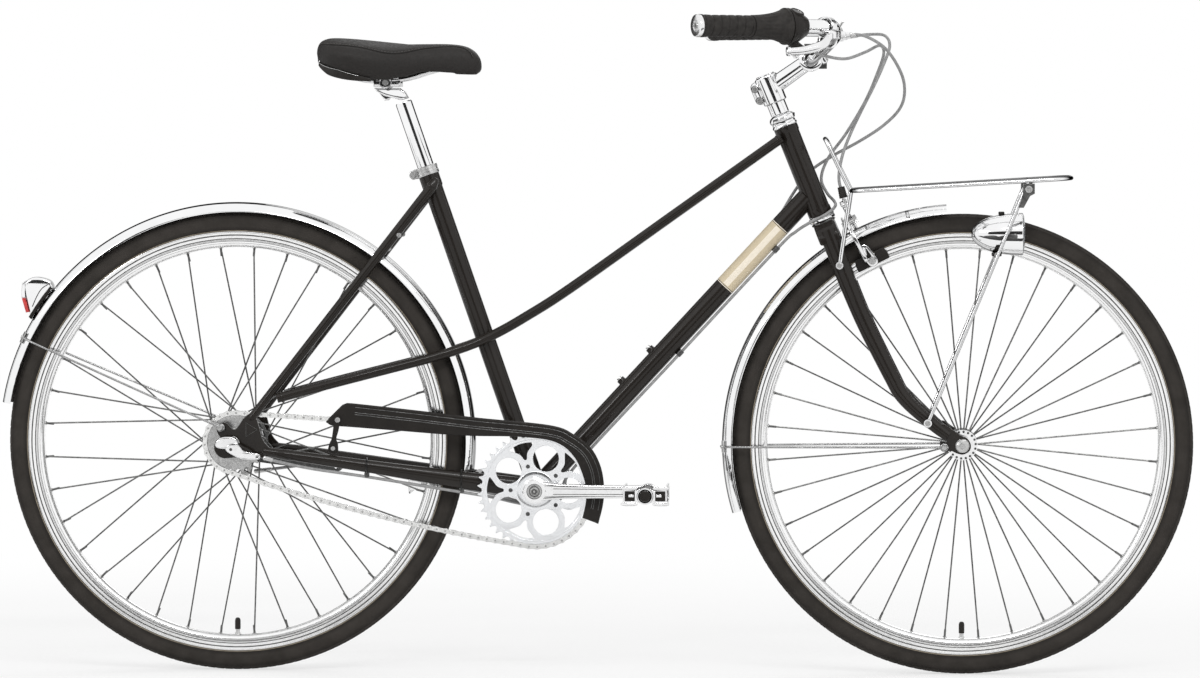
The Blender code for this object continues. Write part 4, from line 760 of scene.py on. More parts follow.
def make_rim(which, centre, body):
    place = axle_frame(centre)
    wall = mm((316.4, 11.8), (316.4, 12.8), (315.6, 13), (315, 12.4), (305.6, 12.2), (305, 11.6),
        (304, 11.6), (303.4, 12.1), (299.4, 11.7), (298.8, 11), (297.6, 10.6), (296.2, 9.4),
        (293.8, 7.6), (292.9, 5.6), (292.6, 0))
    piece(f"{which}_rim_dressed", revolve(both_ways(wall), place, 160, closed=True), "rim", body,
        [f"{which}_rim"], centre, angle=30.0)
    lines = []
    for side in (-1, 1):
        for r, width, y in ((0.3112, 0.0011, 0.01247), (0.3058, 0.0008, 0.01237), (0.3022, 0.0005,
            0.01215)):
            ring = [(r + width, side * (y - 0.0006)), (r + width * 0.8, side * (y + 0.0002)),
                (r - width * 0.8, side * (y + 0.0001)), (r - width, side * (y - 0.0006))]
            lines.append(revolve(ring, place, 160, closed=True))
    piece(f"{which}_rim_lines", joined(*lines), "spoke", body, origin=centre, slot="alloy")
    eyes = []
    nipples = []
    for k in range(SPOKES):
        x, z = polar(5.0 + 360.0 / SPOKES * k, 1.0)
        out = Vector((x, 0, z))
        seat = towards(centre + out * RIM_SEAT_R, -out)
        eyes.append(revolve(mm((3.6, 0), (3.6, 0.8), (2.6, 1.4), (2, 1)), seat, 14))
        nipples.append(revolve(mm((2.2, 0), (2.2, 1.8), (1.7, 2.6), (1.7, 12), (1.2, 13.2),
            (0, 13.2)), seat, 10))
    piece(f"{which}_rim_eyelets", joined(*eyes), "steel", body, origin=centre, slot="alloy")
    piece(f"{which}_spoke_nipples", joined(*nipples), "dark_steel", body, origin=centre,
        slot="bright_steel")


def make_spokes(which, centre, body, flange_r, flange_y, crossing):
    """Spokes from both flanges; crossing is how far each runs round to the rim, in degrees."""
    spokes, heads = [], []
    near = flange_r - 0.0028
    for side in (-1, 1):
        for k in range(SPOKES // 2):
            lead = 1 if k % 2 and crossing else -1
            hub_turn = math.radians(20.0 * k + (10.0 if side > 0 else 0.0) + 5.0)
            rim_turn = hub_turn + lead * math.radians(crossing)
            y_hub = side * (flange_y + lead * (HALF_FLANGE + 0.0006))
            y_rim = side * (0.003 + lead * 0.0015)
            start = centre + Vector((near * math.cos(hub_turn), y_hub, near * math.sin(hub_turn)))
            end = centre + Vector((SPOKE_END_R * math.cos(rim_turn), y_rim,
                SPOKE_END_R * math.sin(rim_turn)))
            hole = Vector((start.x, centre.y + side * flange_y, start.z))
            spokes.append(sweep([hole, start, start.lerp(end, 0.02), end], SPOKE_R, 8))
            seat = towards(hole - Vector((0, side * lead * HALF_FLANGE, 0)), (0, -side * lead, 0))
            heads.append(revolve(mm((0, 1.1), (1.3, 0.9), (1.9, 0)), seat, 10))
    piece(f"{which}_spokes", joined(*spokes, *heads), "spoke", body, origin=centre)


def make_hub(which, centre, body, flange_r, flange_y, hub_r, hub_half):
    outside, inside = flange_y + HALF_FLANGE, flange_y - HALF_FLANGE
    shape = [(0.0056, hub_half), (hub_r * 0.72, hub_half), (hub_r * 0.76, hub_half - 0.001),
        (hub_r * 0.8, flange_y + 0.0065), (hub_r, flange_y + 0.005), (hub_r, outside + 0.0008),
        (hub_r + 0.001, outside), (flange_r - 0.0006, outside), (flange_r, outside - 0.0005),
        (flange_r, inside + 0.0005), (flange_r - 0.0006, inside), (hub_r + 0.001, inside),
        (hub_r - 0.0006, inside - 0.0016), (hub_r * 0.93, flange_y - 0.008)]
    place = axle_frame(centre)
    piece(f"{which}_hub_shell", revolve(both_ways(shape), place, 64, closed=True), "alloy", body,
        [f"{which}_hub"], centre, slot="bright_steel", angle=32.0)
    rings = []
    waist = hub_r * 0.93
    for k in range(9):
        y = flange_y * (k - 4) / 6.5
        ring = [(waist, y - 0.0005), (waist + 0.0003, y), (waist, y + 0.0005)]
        rings.append(revolve(ring, place, 48))
    piece(f"{which}_hub_lines", joined(*rings), "steel", body, origin=centre)


def make_valve(which, centre, body):
    """The tube's valve, pointing at the axle, with its cap and rim nut."""
    base = centre + Vector((0, 0, -RIM_SEAT_R))
    place = towards(base, (0, 0, 1))
    stem = revolve(mm((3.1, -1), (3.1, 9), (2.7, 10), (0, 10)), place, 16)
    nut = hex_nut(place, 0.005, 0.0026, 0.003)
    piece(f"{which}_valve_stem", joined(stem, nut), "steel", body, origin=centre)

    def ribbed(turn, r, h):
        return (r * (1.0 + 0.07 * math.cos(8 * turn)), h) if 0.0085 < h < 0.022 else (r, h)

    cap = revolve(mm((3, 8), (3.9, 8), (4, 9), (4, 21), (3.4, 24.2), (1.8, 25.4), (0, 25.6)), place,
        32, ribbed)
    piece(f"{which}_valve_cap", cap, "plastic", body, origin=centre)


# Each wheel: its axle, the flange's radius and place, the hub's radius and half width, and how
# far round a spoke runs
WHEELS = (
    ("rear", REAR_AXLE, (0.037, 0.027), (0.028, 0.036), 60.0),
    ("front", FRONT_AXLE, (0.0228, 0.034), (0.0125, 0.048), 0.0),
)


def make_wheels():
    for which, centre, flange, hub, crossing in WHEELS:
        body = f"{which}_wheel"
        make_tyre(which, centre, body)
        make_rim(which, centre, body)
        make_spokes(which, centre, body, *flange, crossing)
        make_hub(which, centre, body, *flange, *hub)
        make_valve(which, centre, body)


# The frame
def oval_sweep(path, heights, spread, sides=24, count=40):
    """A tapered oval tube beside a wheel; spread holds (x, middle y, width over height)."""
    def read(x, column):
        if x <= spread[0][0]:
            return spread[0][column]
        for low, high in zip(spread, spread[1:]):
            if x <= high[0]:
                return low[column] + (high[column] - low[column]) * (x - low[0]) / (high[0] - low[0])
        return spread[-1][column]

    rows = smooth([(x, z, h) for (x, z), h in zip(path, heights)], count)
    points = [at(row.x, read(row.x, 1), row.y) for row in rows]
    return sweep(points, [row.z / 2 for row in rows], sides, oval=[read(row.x, 2) for row in rows])


CHAINSTAY = mm((46, 334), (96, 327), (200, 312), (300, 297), (346, 290), (400, 283), (446, 277))
CHAINSTAY_HEIGHTS = [0.013, 0.016, 0.019, 0.024, 0.027, 0.029, 0.03]
CHAINSTAY_SPREAD = [(0.04, 0.068, 1.0), (0.096, 0.066, 1.0), (0.2, 0.0585, 0.86),
    (0.3, 0.0455, 0.72), (0.346, 0.0385, 0.62), (0.4, 0.029, 0.6), (0.45, 0.0205, 0.6)]
LATERAL = mm((821, 21.5, 805), (662, 21.5, 691.5), (503, 21.5, 578), (436, 21.5, 535),
    (396, 22.8, 512), (362, 26.8, 496), (330, 32.5, 484.5), (292, 38.5, 473), (231, 46.5, 457),
    (150, 55.5, 436), (66, 63.5, 413.5))
DROPOUT = mm((-24, 364), (-22, 374), (-11, 377), (3, 366), (17, 384), (28, 391), (36, 382),
    (41, 365), (44, 354), (49, 346), (56, 338), (55, 327), (44, 325), (22, 331), (4, 333),
    (-10, 337), (-16, 350))


BOTTLE_BOSSES = (0.637, 0.5936)
CABLE_GUIDES = (0.799, 0.655)
STAY_BOLT = at(0.2472, 0, 0.658)
HEAD_TUBE_PROFILE = [(0.018, HEAD_HALF), (0.0184, HEAD_HALF - 0.0008), (0.0184, HEAD_HALF - 0.009),
    (0.0174, HEAD_HALF - 0.011), (0.0172, 0.03)]


def down_at(distance, rise=0.0, y=0.0):
    """A point by its distance up the down tube from the bottom bracket, and above its axis."""
    return BB + DOWN_RUN * distance + DOWN_OUT * rise + Vector((0, y, 0))


def down_distance(x):
    """How far up the down tube a place of that x in the side view is."""
    return (at(x, 0, 0) - BB).x / DOWN_RUN.x


def weld_ring(place, radius, thickness):
    """A thin smooth bead round a tube's root."""
    return revolve([(radius - 0.001, -thickness), (radius + thickness * 0.45, -thickness * 0.5),
        (radius + thickness * 0.55, 0.0), (radius + thickness * 0.3, thickness * 0.6),
        (radius - 0.001, thickness)], place, 40)


def main_tubes():
    """The head, seat and down tubes and the bottom bracket's shell."""
    half = HEAD_TUBE_PROFILE
    profile = [(0.0138, -HEAD_HALF), *[(r, -h) for r, h in half], *half[::-1], (0.0138, HEAD_HALF)]
    head_tube = revolve(profile, towards(HEAD, HEAD_UP), 56)
    seat_tube = revolve([(0.0133, 0.0), (0.0133, 0.001), (0.0156, 0.001), (0.0156, -0.018),
        (0.0148, -0.02), (SEAT_R, -0.021), (SEAT_R, -0.498)], towards(SEAT_TOP, SEAT_UP), 56)
    down_tube = sweep([down_at(d) for d in (0.0, 0.2, 0.4, 0.598)], DOWN_R, 44)
    shell = revolve(both_ways(mm((17.7, 33.8), (19.6, 34), (20.1, 33.2))), axle_frame(BB), 56)
    return joined(head_tube, seat_tube, down_tube, shell)


def frame_side():
    """The left side's stays, lateral tube and dropout."""
    stay_top, stay_end = at(0.2985, 0.0205, 0.734), at(0.025, 0.068, 0.38)
    run = (stay_top - stay_end).normalized()
    stay = sweep([stay_end, stay_end.lerp(stay_top, 0.5), stay_top], [0.0062, 0.0071, 0.008], 24,
        round_end=1.1)
    cap = sweep([stay_top - run * 0.012, stay_top + Vector((0.004, -0.002, 0.01))], [0.009, 0.0066],
        22, round_end=0.9)
    lateral = sweep(smooth([at(*p) for p in LATERAL], 60), LATERAL_R, 24)
    chainstay = oval_sweep(CHAINSTAY, CHAINSTAY_HEIGHTS, CHAINSTAY_SPREAD)
    holes = [circle((0.0, AXLE_Z), 0.0052, 24), circle((-0.015, 0.368), 0.0022, 14)]
    dropout = side_slab(rounded(DROPOUT, 60), 0.065, 0.071, holes, 0.0008)
    saddle_plate = block((0.016, 0.016, 0.012), towards(at(0.3745, 0.0155, 0.503), SEAT_UP), 0.003)
    lug = sweep([at(0.06, 0.0675, 0.3315), at(0.092, 0.0663, 0.3275)], [0.0072, 0.0084], 22,
        round_end=1.0)
    return joined(stay, cap, lateral, chainstay, dropout, saddle_plate, lug)


def frame_bosses():
    bosses = []
    for x in BOTTLE_BOSSES:
        bosses.append(revolve(mm((7.4, 14), (6.6, 16), (6.2, 18), (6.2, 20.5), (5.7, 21), (2.1, 21),
            (2.1, 11)), towards(down_at(down_distance(x)), DOWN_OUT), 28))
    for x in CABLE_GUIDES:
        bosses.append(revolve(mm((5.2, 13.5), (4.6, 15), (4.6, 16.5), (0, 16.8)),
            towards(down_at(down_distance(x)), -DOWN_OUT), 24))
    return bosses


def frame_welds():
    welds = [weld_ring(towards(down_at(0.022), DOWN_RUN), DOWN_R, 0.0026),
        weld_ring(towards(BB + SEAT_UP * 0.0215, SEAT_UP), SEAT_R, 0.0026)]
    for side in (-1, 1):
        for end, near, part in ((LATERAL[0], LATERAL[1], 0.03), (LATERAL[-1], LATERAL[-2], 0.08)):
            inner = at(near[0], near[1] * side, near[2])
            root = at(end[0], end[1] * side, end[2]).lerp(inner, part)
            welds.append(weld_ring(towards(root, inner - root), LATERAL_R, 0.0018))
    return welds


def make_frame():
    one_side = frame_side()
    bridge = rod(at(0.2252, -0.031, 0.638), at(0.2252, 0.031, 0.638), 0.0058, 22)
    low_bridge = rod(at(0.3644, -0.035, 0.298), at(0.3644, 0.035, 0.298), 0.005, 22)
    tubes = joined(main_tubes(), one_side, flipped(one_side), bridge, low_bridge, *frame_bosses(),
        *frame_welds())
    piece("frame_tubes", tubes, "paint", "frame", ["frame"])
    bolts = [socket_bolt(towards(down_at(down_distance(x), 0.0206), DOWN_OUT), 0.0042, 0.0034)
        for x in BOTTLE_BOSSES]
    for side in (-1, 1):
        bolts.append(socket_bolt(across(STAY_BOLT, side, 0.0366), 0.0036, 0.0022))
        bolts.append(socket_bolt(across(at(-0.0185, 0, 0.3695), side, 0.0776), 0.004, 0.003))
    piece("frame_bolts", joined(*bolts), "steel", "frame")
    mark = ((0.02, 0.377), (0.037, 0.3665), (0.02, 0.356))
    marks = [sweep([at(x, side * 0.071, z) for x, z in mark], 0.0006, 8, closed=True)
        for side in (-1, 1)]
    piece("dropout_marks", joined(*marks), "spoke", "frame")
    make_panel()
    make_guides()


PANEL_FROM, PANEL_TO = 0.418, 0.537
PANEL_TURN = 89


def panel_strip(start, end, from_turn, to_turn, lift, steps=40, rows=12):
    """A thin layer on the down tube's right half, between two distances and two angles."""
    verts, faces = [], []
    r = DOWN_R + lift
    for i in range(rows + 1):
        distance = start + (end - start) * i / rows
        for k in range(steps + 1):
            turn = math.radians(from_turn + (to_turn - from_turn) * k / steps)
            verts.append(down_at(distance, r * math.sin(turn), -r * math.cos(turn)))
    for i in range(rows):
        for k in range(steps):
            a = i * (steps + 1) + k
            faces.append((a, a + 1, a + steps + 2, a + steps + 1))
    return verts, faces


def make_panel():
    """The panel on the down tube, both sides: gold, with cream border lines and a cream field, the
    field a painted highlight where the tube is lit.
    """
    gold = [panel_strip(PANEL_FROM, PANEL_TO, -PANEL_TURN, PANEL_TURN, 0.00008)]
    # The cream field: a painted highlight down the lit middle of each side, on the gold
    cream = [panel_strip(PANEL_FROM + 0.0012, PANEL_TO - 0.0012, -14, 20, 0.00013, 14)]
    for start, end in ((PANEL_FROM - 0.0022, PANEL_FROM - 0.001),
                       (PANEL_TO + 0.001, PANEL_TO + 0.0022)):
        cream.append(panel_strip(start, end, -PANEL_TURN, PANEL_TURN, 0.0001))
    for key, parts in (("gold", gold), ("cream", cream)):
        both = joined(*parts, *[flipped(part) for part in parts])
        piece(f"down_tube_panel_{key}", both, key, "frame", slot="painted_frame")


def make_guides():
    """Small saddles that carry the housings under the down tube and the chainstays."""
    clips = []
    y = -0.006
    for x in CABLE_GUIDES:
        distance = down_distance(x)
        place = towards(down_at(distance, -0.0185, y), DOWN_RUN, side=(0, 1, 0))
        clips.append(revolve(mm((2.6, -5), (4.2, -5), (4.4, -4.2), (4.4, 4.2), (4.2, 5), (2.6, 5)),
            place, 24))
        foot = towards(down_at(distance, -0.0158, y * 0.5), DOWN_RUN, side=(0, 1, 0))
        clips.append(block((0.005, 0.0044, 0.008), foot, 0.0008))
    for x, z, y, lower, wide, high in ((0.201, 0.312, -0.059, 0.2958, 0.0094, 0.0205),
                                       (0.342, 0.2905, -0.0395, 0.2722, 0.00893, 0.0265)):
        ring = [at(x, y + wide * math.cos(t), z + high / 2 * math.sin(t))
            for t in [math.radians(12 * k) for k in range(30)]]
        clips.append(sweep(ring, 0.001, 8, closed=True, oval=3.2))
        clips.append(block((0.0075, 0.006, 0.008), at(x, y, (lower + z - high / 2) / 2), 0.0014))
    piece("cable_guides", joined(*clips), "dark_steel", "frame")


# The headset's rings: radius and height past the end of what each stands on
LOWER_CUP = mm((13.8, 0.3), (18.6, 0.3), (19.8, 1.2), (20, 3), (19.6, 4), (19.2, 4.6), (19.8, 5.2),
    (20, 6.2), (19.8, 8.8), (19, 9.5), (13.4, 9.5))
UPPER_CUP = mm((13.8, 0.3), (18.8, 0.3), (19.5, 1), (19.5, 2.6), (18.6, 4.4), (18, 5), (18.2, 5.8),
    (18, 7.6), (17.2, 8), (13.4, 8))
LOCKNUT = mm((13, 0), (18, 0), (19.3, 1), (20, 2.8), (20.1, 4.6), (19.6, 6.6), (18.4, 8.6),
    (16.8, 10), (15, 10.7), (14, 11.7), (13, 11.7))
LOCKNUT_FROM = HEAD_HALF + 0.0083


def make_headset():
    place = towards(HEAD, HEAD_UP)
    for name, profile, end in (("lower_cup", LOWER_CUP, -1), ("upper_cup", UPPER_CUP, 1)):
        ring = revolve([(r, end * (HEAD_HALF + h)) for r, h in profile], place, 56, closed=True)
        piece(name, ring, "chrome", "frame", [f"headset_{name}"])
    nut = revolve([(r, LOCKNUT_FROM + h) for r, h in LOCKNUT], place, 80, closed=True)
    piece("top_locknut", nut, "chrome", "steering", ["headset_locknut"], angle=60)
    # Dark blocks where the locknut's notches are: painted shade in the notches
    slots = []
    for turn in (-90, 30, 150):
        spot = Matrix.Translation((0.0194, 0, LOCKNUT_FROM + 0.0056))
        spot = place @ Matrix.Rotation(math.radians(turn), 4, "Z") @ spot
        slots.append(block((0.0024, 0.01, 0.003), spot, 0.0009))
    piece("locknut_notch_shade", joined(*slots), "dark_steel", "steering")


def make_bottom_bracket():
    half = mm((8.8, 36.6), (12, 36.8), (12.2, 37.4), (18.6, 37.5), (20.4, 37.2), (20.5, 35),
        (19.8, 34.3), (17.4, 34.3))

    def notched(turn, r, h):
        return (r - 0.0012, h) if r > 0.0184 and math.cos(8 * turn) > 0.72 else (r, h)

    piece("bracket_cups", revolve(both_ways(half), axle_frame(BB), 96, notched, closed=True),
        "dark_steel", "frame", ["bottom_bracket"], angle=30)


def make_seat_clamp():
    low = SEAT_TOP + SEAT_UP * 0.0003
    collar = revolve(mm((13.4, 0), (16.8, 0), (17.2, 0.6), (17.2, 5), (16.8, 5.4), (16.8, 8.6),
        (17.2, 9), (17.2, 13.4), (16.6, 14), (13.4, 14)), towards(low, SEAT_UP), 48, closed=True)
    middle = low + SEAT_UP * 0.007
    back = Vector((-SEAT_UP.z, 0, SEAT_UP.x)).normalized()
    shape = [middle + back * d + SEAT_UP * u for d, u in ((0.015, -0.0064), (0.021, -0.0066),
        (0.0252, -0.0058), (0.028, 0.0), (0.0252, 0.0058), (0.021, 0.0066), (0.015, 0.0064))]
    ears = [side_slab(rounded([(p.x - REAR_AXLE_X, p.z) for p in shape], 40), y - 0.003, y + 0.003,
        bevel=0.0014, fine=True) for y in (-0.0042, 0.0042)]
    piece("seat_clamp", joined(collar, *ears), "steel", "frame", ["seatpost_clamp"], slot="alloy")
    eye = middle + back * 0.0222
    bolt = joined(rod(eye + Vector((0, -0.0105, 0)), eye + Vector((0, 0.0085, 0)), 0.0026, 16),
        socket_bolt(across(eye, -1, 0.0072), 0.0048, 0.0036), hex_nut(across(eye, 1, 0.0072), 0.005,
        0.0036))
    piece("seat_clamp_bolt", bolt, "steel", "frame")


# The seatpost and saddle, whose sections are x, half width, top, lower edge and ceiling
RAILS = mm((140, 36, 909), (165, 35, 900), (199, 24, 890), (250, 23, 892), (290, 19, 899),
    (322, 10, 905))
SADDLE = mm((120, 34, 942, 920, 928), (133, 78, 955.5, 912, 927), (174, 100, 952, 898, 924),
    (215, 86, 948.5, 887, 922), (260, 50, 947, 894, 920), (305, 34, 947.5, 902, 919),
    (350, 30, 941, 901, 917), (368, 16, 927, 906, 915))
SADDLE_PIVOT = at(0.229, 0, 0.876)
CLAMP_EYE = at(0.2262, 0, 0.8878)

# The post's head, a wedge casting, in the side view
HEAD_TOP, HEAD_TAPER = 0.8792, 14.0
HEAD_SHAPE = mm((207.4, 879.2), (211.2, 873.8), (223.8, 866.8), (239.9, 862.8), (247.8, 860.8),
    (259.6, 864), (254.4, 873.1), (246.2, 879.2))


def make_seatpost():
    post = revolve(mm((0, -150), (12.2, -150), (12.7, -149), (12.7, 114.5), (11.8, 116.5),
        (0, 116.5)), towards(SEAT_TOP, SEAT_UP), 56)
    verts, faces = side_slab(HEAD_SHAPE, -0.0128, 0.0128, bevel=0.0034, fine=True)
    head = [Vector((p.x, p.y * (1.0 - HEAD_TAPER * (HEAD_TOP - p.z)), p.z)) for p in verts], faces
    lip = side_slab(mm((215, 871.2), (223.2, 860), (229, 860.6), (233, 865.5), (223.8, 868)),
        -0.006, 0.006, bevel=0.0016, fine=True)
    piece("seatpost_dressed", joined(post, head, lip), "chrome", "seatpost", ["seatpost"],
        SEAT_TOP, slot="alloy")
    line = ((0.2125, -0.0119, 0.8752), (0.225, -0.0111, 0.8702), (0.24, -0.0103, 0.8662),
        (0.249, -0.0098, 0.8644))
    rib = sweep(smooth([at(*p) for p in line], 20), 0.0007, 8)
    piece("seatpost_rib", joined(rib, flipped(rib)), "dark_steel", "seatpost")


def make_rails():
    right = [at(x, -y, z + max(0.0, (x - 0.25) * 0.1)) for x, y, z in RAILS]
    route = smooth(right + [at(0.33, 0.0, 0.915)] + mirrored(right[::-1]), 90)
    piece("saddle_rails_dressed", sweep(route, 0.0035, 20, round_end=1.0), "chrome", "saddle",
        ["saddle_rails"], SADDLE_PIVOT)


def make_saddle_shell():
    rows = smooth([(x, half * 0.56, ceiling - 0.0045) for x, half, *_, ceiling in SADDLE[2:-1]], 22)
    verts = []
    size = 14
    for row in rows:
        for k in range(size):
            turn = 2 * math.pi * k / size
            y = row.y * math.copysign(abs(math.cos(turn)) ** 0.6, math.cos(turn))
            verts.append(at(row.x, y, row.z - 0.0018 + 0.0017 * math.sin(turn)))
    faces = ring_faces(len(rows), size)
    faces += [tuple(range(size)), tuple(range((len(rows) - 1) * size, len(rows) * size))]
    piece("saddle_shell_dressed", (verts, faces), "plastic", "saddle", ["saddle_shell"],
        SADDLE_PIVOT)


def make_saddle_clamp():
    lower = side_slab(mm((208, 880.8), (248, 880.8), (248, 886.2), (244, 888.8), (212, 888.8),
        (208, 886.2)), -0.029, 0.029, bevel=0.002, fine=True)
    boss = rod(at(0.228, 0, 0.881), at(0.228, 0, 0.899), 0.007, 28)
    top = side_slab(mm((211, 896.8), (214, 895.8), (242, 895.8), (245, 896.8), (240, 900.3),
        (216, 900.3)), -0.029, 0.029, bevel=0.0012, fine=True)
    pin = rod(at(0.229, -0.015, 0.88), at(0.229, 0.015, 0.88), 0.005, 24)
    grooves, ends, wells, nuts = [], [], [], []
    for side in (-1, 1):
        grooves.append(sweep([at(x, side * 0.0235, 0.8866) for x in (0.208, 0.248)], 0.0044, 20))
        ends.append(revolve(mm((6, 0), (9.4, 0), (9.6, 1), (9.6, 4.6), (8.8, 5.8), (7.4, 5.6),
            (7, 4.4), (7, 0.8)), across(CLAMP_EYE, side, 0.0285), 40, closed=True))
        # Dark discs in the end rings' hollows: painted shade in the hollows
        wells.append(revolve(mm((0, 1.2), (6.9, 1.2), (6.9, 0), (0, 0)),
            across(CLAMP_EYE, side, 0.0292), 32))
        nuts.append(hex_nut(across(CLAMP_EYE, side, 0.0302), 0.0044, 0.0046))
    piece("saddle_clamp_dressed", joined(lower, boss, top, pin, *grooves, *ends), "alloy",
        "saddle", ["saddle_clamp"], SADDLE_PIVOT)
    piece("saddle_clamp_hollow_shade", joined(*wells), "dark_steel", "saddle")
    piece("saddle_clamp_nuts", joined(*nuts), "steel", "saddle")


def make_saddle_frame():
    make_rails()
    make_saddle_shell()
    make_saddle_clamp()


def saddle_ring(x, half, top, low, ceiling):
    """One section of the cushion: a crowned top, sides drawn in, a thick skirt and the recess."""
    drop = top - low
    wall = min(0.008, 0.42 * half)
    edge = 0.91 * half
    side = [(0.22 * half, top - 0.003 * drop), (0.42 * half, top - 0.02 * drop),
        (0.62 * half, top - 0.055 * drop), (0.78 * half, top - 0.12 * drop),
        (0.92 * half, top - 0.25 * drop), (1.0 * half, top - 0.42 * drop),
        (0.98 * half, top - 0.6 * drop), (0.95 * half, top - 0.75 * drop),
        (edge, top - 0.93 * drop), (edge - wall * 0.5, low), (edge - wall, low
        + 0.2 * (ceiling - low)), (edge - wall * 1.2, ceiling), (0.4 * half, ceiling)]
    ring = [(0.0, top), *side, (0.0, ceiling), *[(-y, z) for y, z in reversed(side)]]
    return [at(x, y, z) for y, z in ring]


# The cushion's sections: x, half width, top, lower edge and the recess's ceiling
CUSHION = mm((121.2, 30, 940, 917, 926.5), (129, 64, 951.5, 910.5, 925.5), (145, 83, 955, 904, 925),
    (174, 90, 953, 894.5, 924), (205, 84, 949, 887, 922), (230, 70, 945.5, 885, 921),
    (260, 49, 943.5, 891.5, 920), (285, 38, 944.5, 899, 920), (320, 31, 945.8, 897.5, 915),
    (345, 28, 943, 896, 906), (361, 22, 934, 896.5, 900), (370, 11, 920, 900, 902))
SEAM = mm((126, 942), (140, 944.6), (187.3, 940.9), (227.3, 932.4), (248.8, 931.7), (279.6, 937.9),
    (302, 940.8), (325.9, 942), (341.3, 940), (352, 934), (358, 924))
CUSHION_MIDDLE = at(0.245, 0, 0.928)
CUSHION_SHRINK = (0.994, 0.945, 0.955)
SWELL_CAP = 0.006
SEAM_REACH, SEAM_DEPTH = 0.005, 0.001


def cushion_rows(count):
    """The cushion's sections read at count places along smooth curves."""
    sides = smooth([(x, half, top) for x, half, top, _, _ in CUSHION], count)
    low = smooth([(x, z, c) for x, _, _, z, c in CUSHION], count * 3)
    rows = []
    for row in sides:
        near = min(low, key=lambda other: abs(other.x - row.x))
        rows.append((row.x, row.y, row.z, near.y, near.z))
    return rows


def cushion_mesh():
    """The cushion before it is filled, a little smaller than the real one."""
    rings = [saddle_ring(*row) for row in cushion_rows(44)]
    shrink = Matrix.Diagonal(CUSHION_SHRINK)
    verts = [CUSHION_MIDDLE + shrink @ (p - CUSHION_MIDDLE) for ring in rings for p in ring]
    size = len(rings[0])
    faces = ring_faces(len(rings), size)
    faces.append(tuple(range(size)))
    faces.append(tuple(range((len(rings) - 1) * size, len(rings) * size)))
    return verts, faces


def swell(obj, frames=20):
    """Fill the cushion: cloth under pressure, its underside held, each point's move capped."""
    before = [v.co.copy() for v in obj.data.vertices]
    held = obj.vertex_groups.new(name="held")
    for vert in obj.data.vertices:
        down = max(0.0, -vert.normal.z)
        held.add([vert.index], 1.0 if down > 0.55 and abs(vert.co.y) < 0.075 else 0.02, "REPLACE")
    cloth = obj.modifiers.new("fill", "CLOTH")
    settings = cloth.settings
    settings.quality = 6
    settings.mass = 0.3
    settings.tension_stiffness = 25.0
    settings.compression_stiffness = 25.0
    settings.shear_stiffness = 12.0
    settings.bending_stiffness = 2.0
    settings.use_pressure = True
    settings.uniform_pressure_force = 4.0
    settings.effector_weights.gravity = 0.0
    settings.vertex_group_mass = "held"
    cloth.collision_settings.use_collision = False
    cloth.point_cache.frame_start = 1
    cloth.point_cache.frame_end = frames
    for step in range(1, frames + 1):
        bpy.context.scene.frame_set(step)
    graph = bpy.context.evaluated_depsgraph_get()
    after = [v.co.copy() for v in obj.evaluated_get(graph).data.vertices]
    obj.modifiers.remove(cloth)
    obj.vertex_groups.clear()
    for vert, old, new in zip(obj.data.vertices, before, after):
        move = new - old
        if move.length > SWELL_CAP:
            move *= SWELL_CAP / move.length
        vert.co = old + move
    bpy.context.scene.frame_set(1)


def follow(tree, route, side, count):
    """A line over the cushion's side: the points and normals where rays from the side meet it."""
    line = []
    for p in smooth([(x, 0, z) for x, z in route], count):
        hit, normal, _, _ = tree.ray_cast(at(p.x, side * 0.2, p.z), Vector((0, -side, 0)))
        if hit is not None and not (line and (hit - line[-1][0]).length > 0.012):
            line.append((hit, normal))
    return line


# The black base under the cushion's rear: x, upper and lower edge
BASE_LIP = mm((126.2, 918, 913), (134, 914, 905), (144, 910, 898), (160, 906, 893.2),
    (176, 901, 890.5), (192, 897, 889.2), (208, 893, 888.8))


def make_saddle_base():
    """The plastic base that shows below the cover, bent round the saddle's rear."""
    widths = smooth([(x, half, 0) for x, half, *_ in CUSHION], 120)
    rows = smooth(BASE_LIP, 30)
    right = []
    for row in rows:
        half = min(widths, key=lambda w: abs(w.x - row.x)).y * 0.87
        right.append((row.x, -half, row.y, row.z))
    right[0] = (0.1262, -0.03, right[0][2], right[0][3])
    loop = right[::-1] + [(0.124, 0.0, 0.9185, 0.9135)] + [(x, -y, t, b) for x, y, t, b in right]
    verts = []
    for k, (x, y, top, low) in enumerate(loop):
        before, after = loop[max(0, k - 1)], loop[min(len(loop) - 1, k + 1)]
        out = Vector((before[1] - after[1], after[0] - before[0], 0)).normalized()
        if out.dot(Vector((x - 0.2, y, 0))) < 0:
            out = -out
        for lift, shift in ((top, 0.0), (top * 0.4 + low * 0.6, 0.0006), (low + 0.0006, 0.0),
            (low, -0.001),
                            (low + 0.0004, -0.0022), (top, -0.0026)):
            verts.append(at(x, y, lift) + out * shift)
    faces = ring_faces(len(loop), 6)
    faces += [tuple(range(6)), tuple(range((len(loop) - 1) * 6, len(loop) * 6))]
    piece("saddle_base_lip", (verts, faces), "plastic", "saddle")
    trim = [at(x, y * 1.025, top - 0.0006) for x, y, top, _ in loop[6:-6]]
    piece("saddle_trim", sweep(trim, 0.0004, 8), "steel", "saddle", slot="alloy")


def even_out(shell, times):
    for _ in range(times):
        bmesh.ops.smooth_vert(shell, verts=shell.verts, factor=0.5, use_axis_x=True,
            use_axis_y=True, use_axis_z=True)


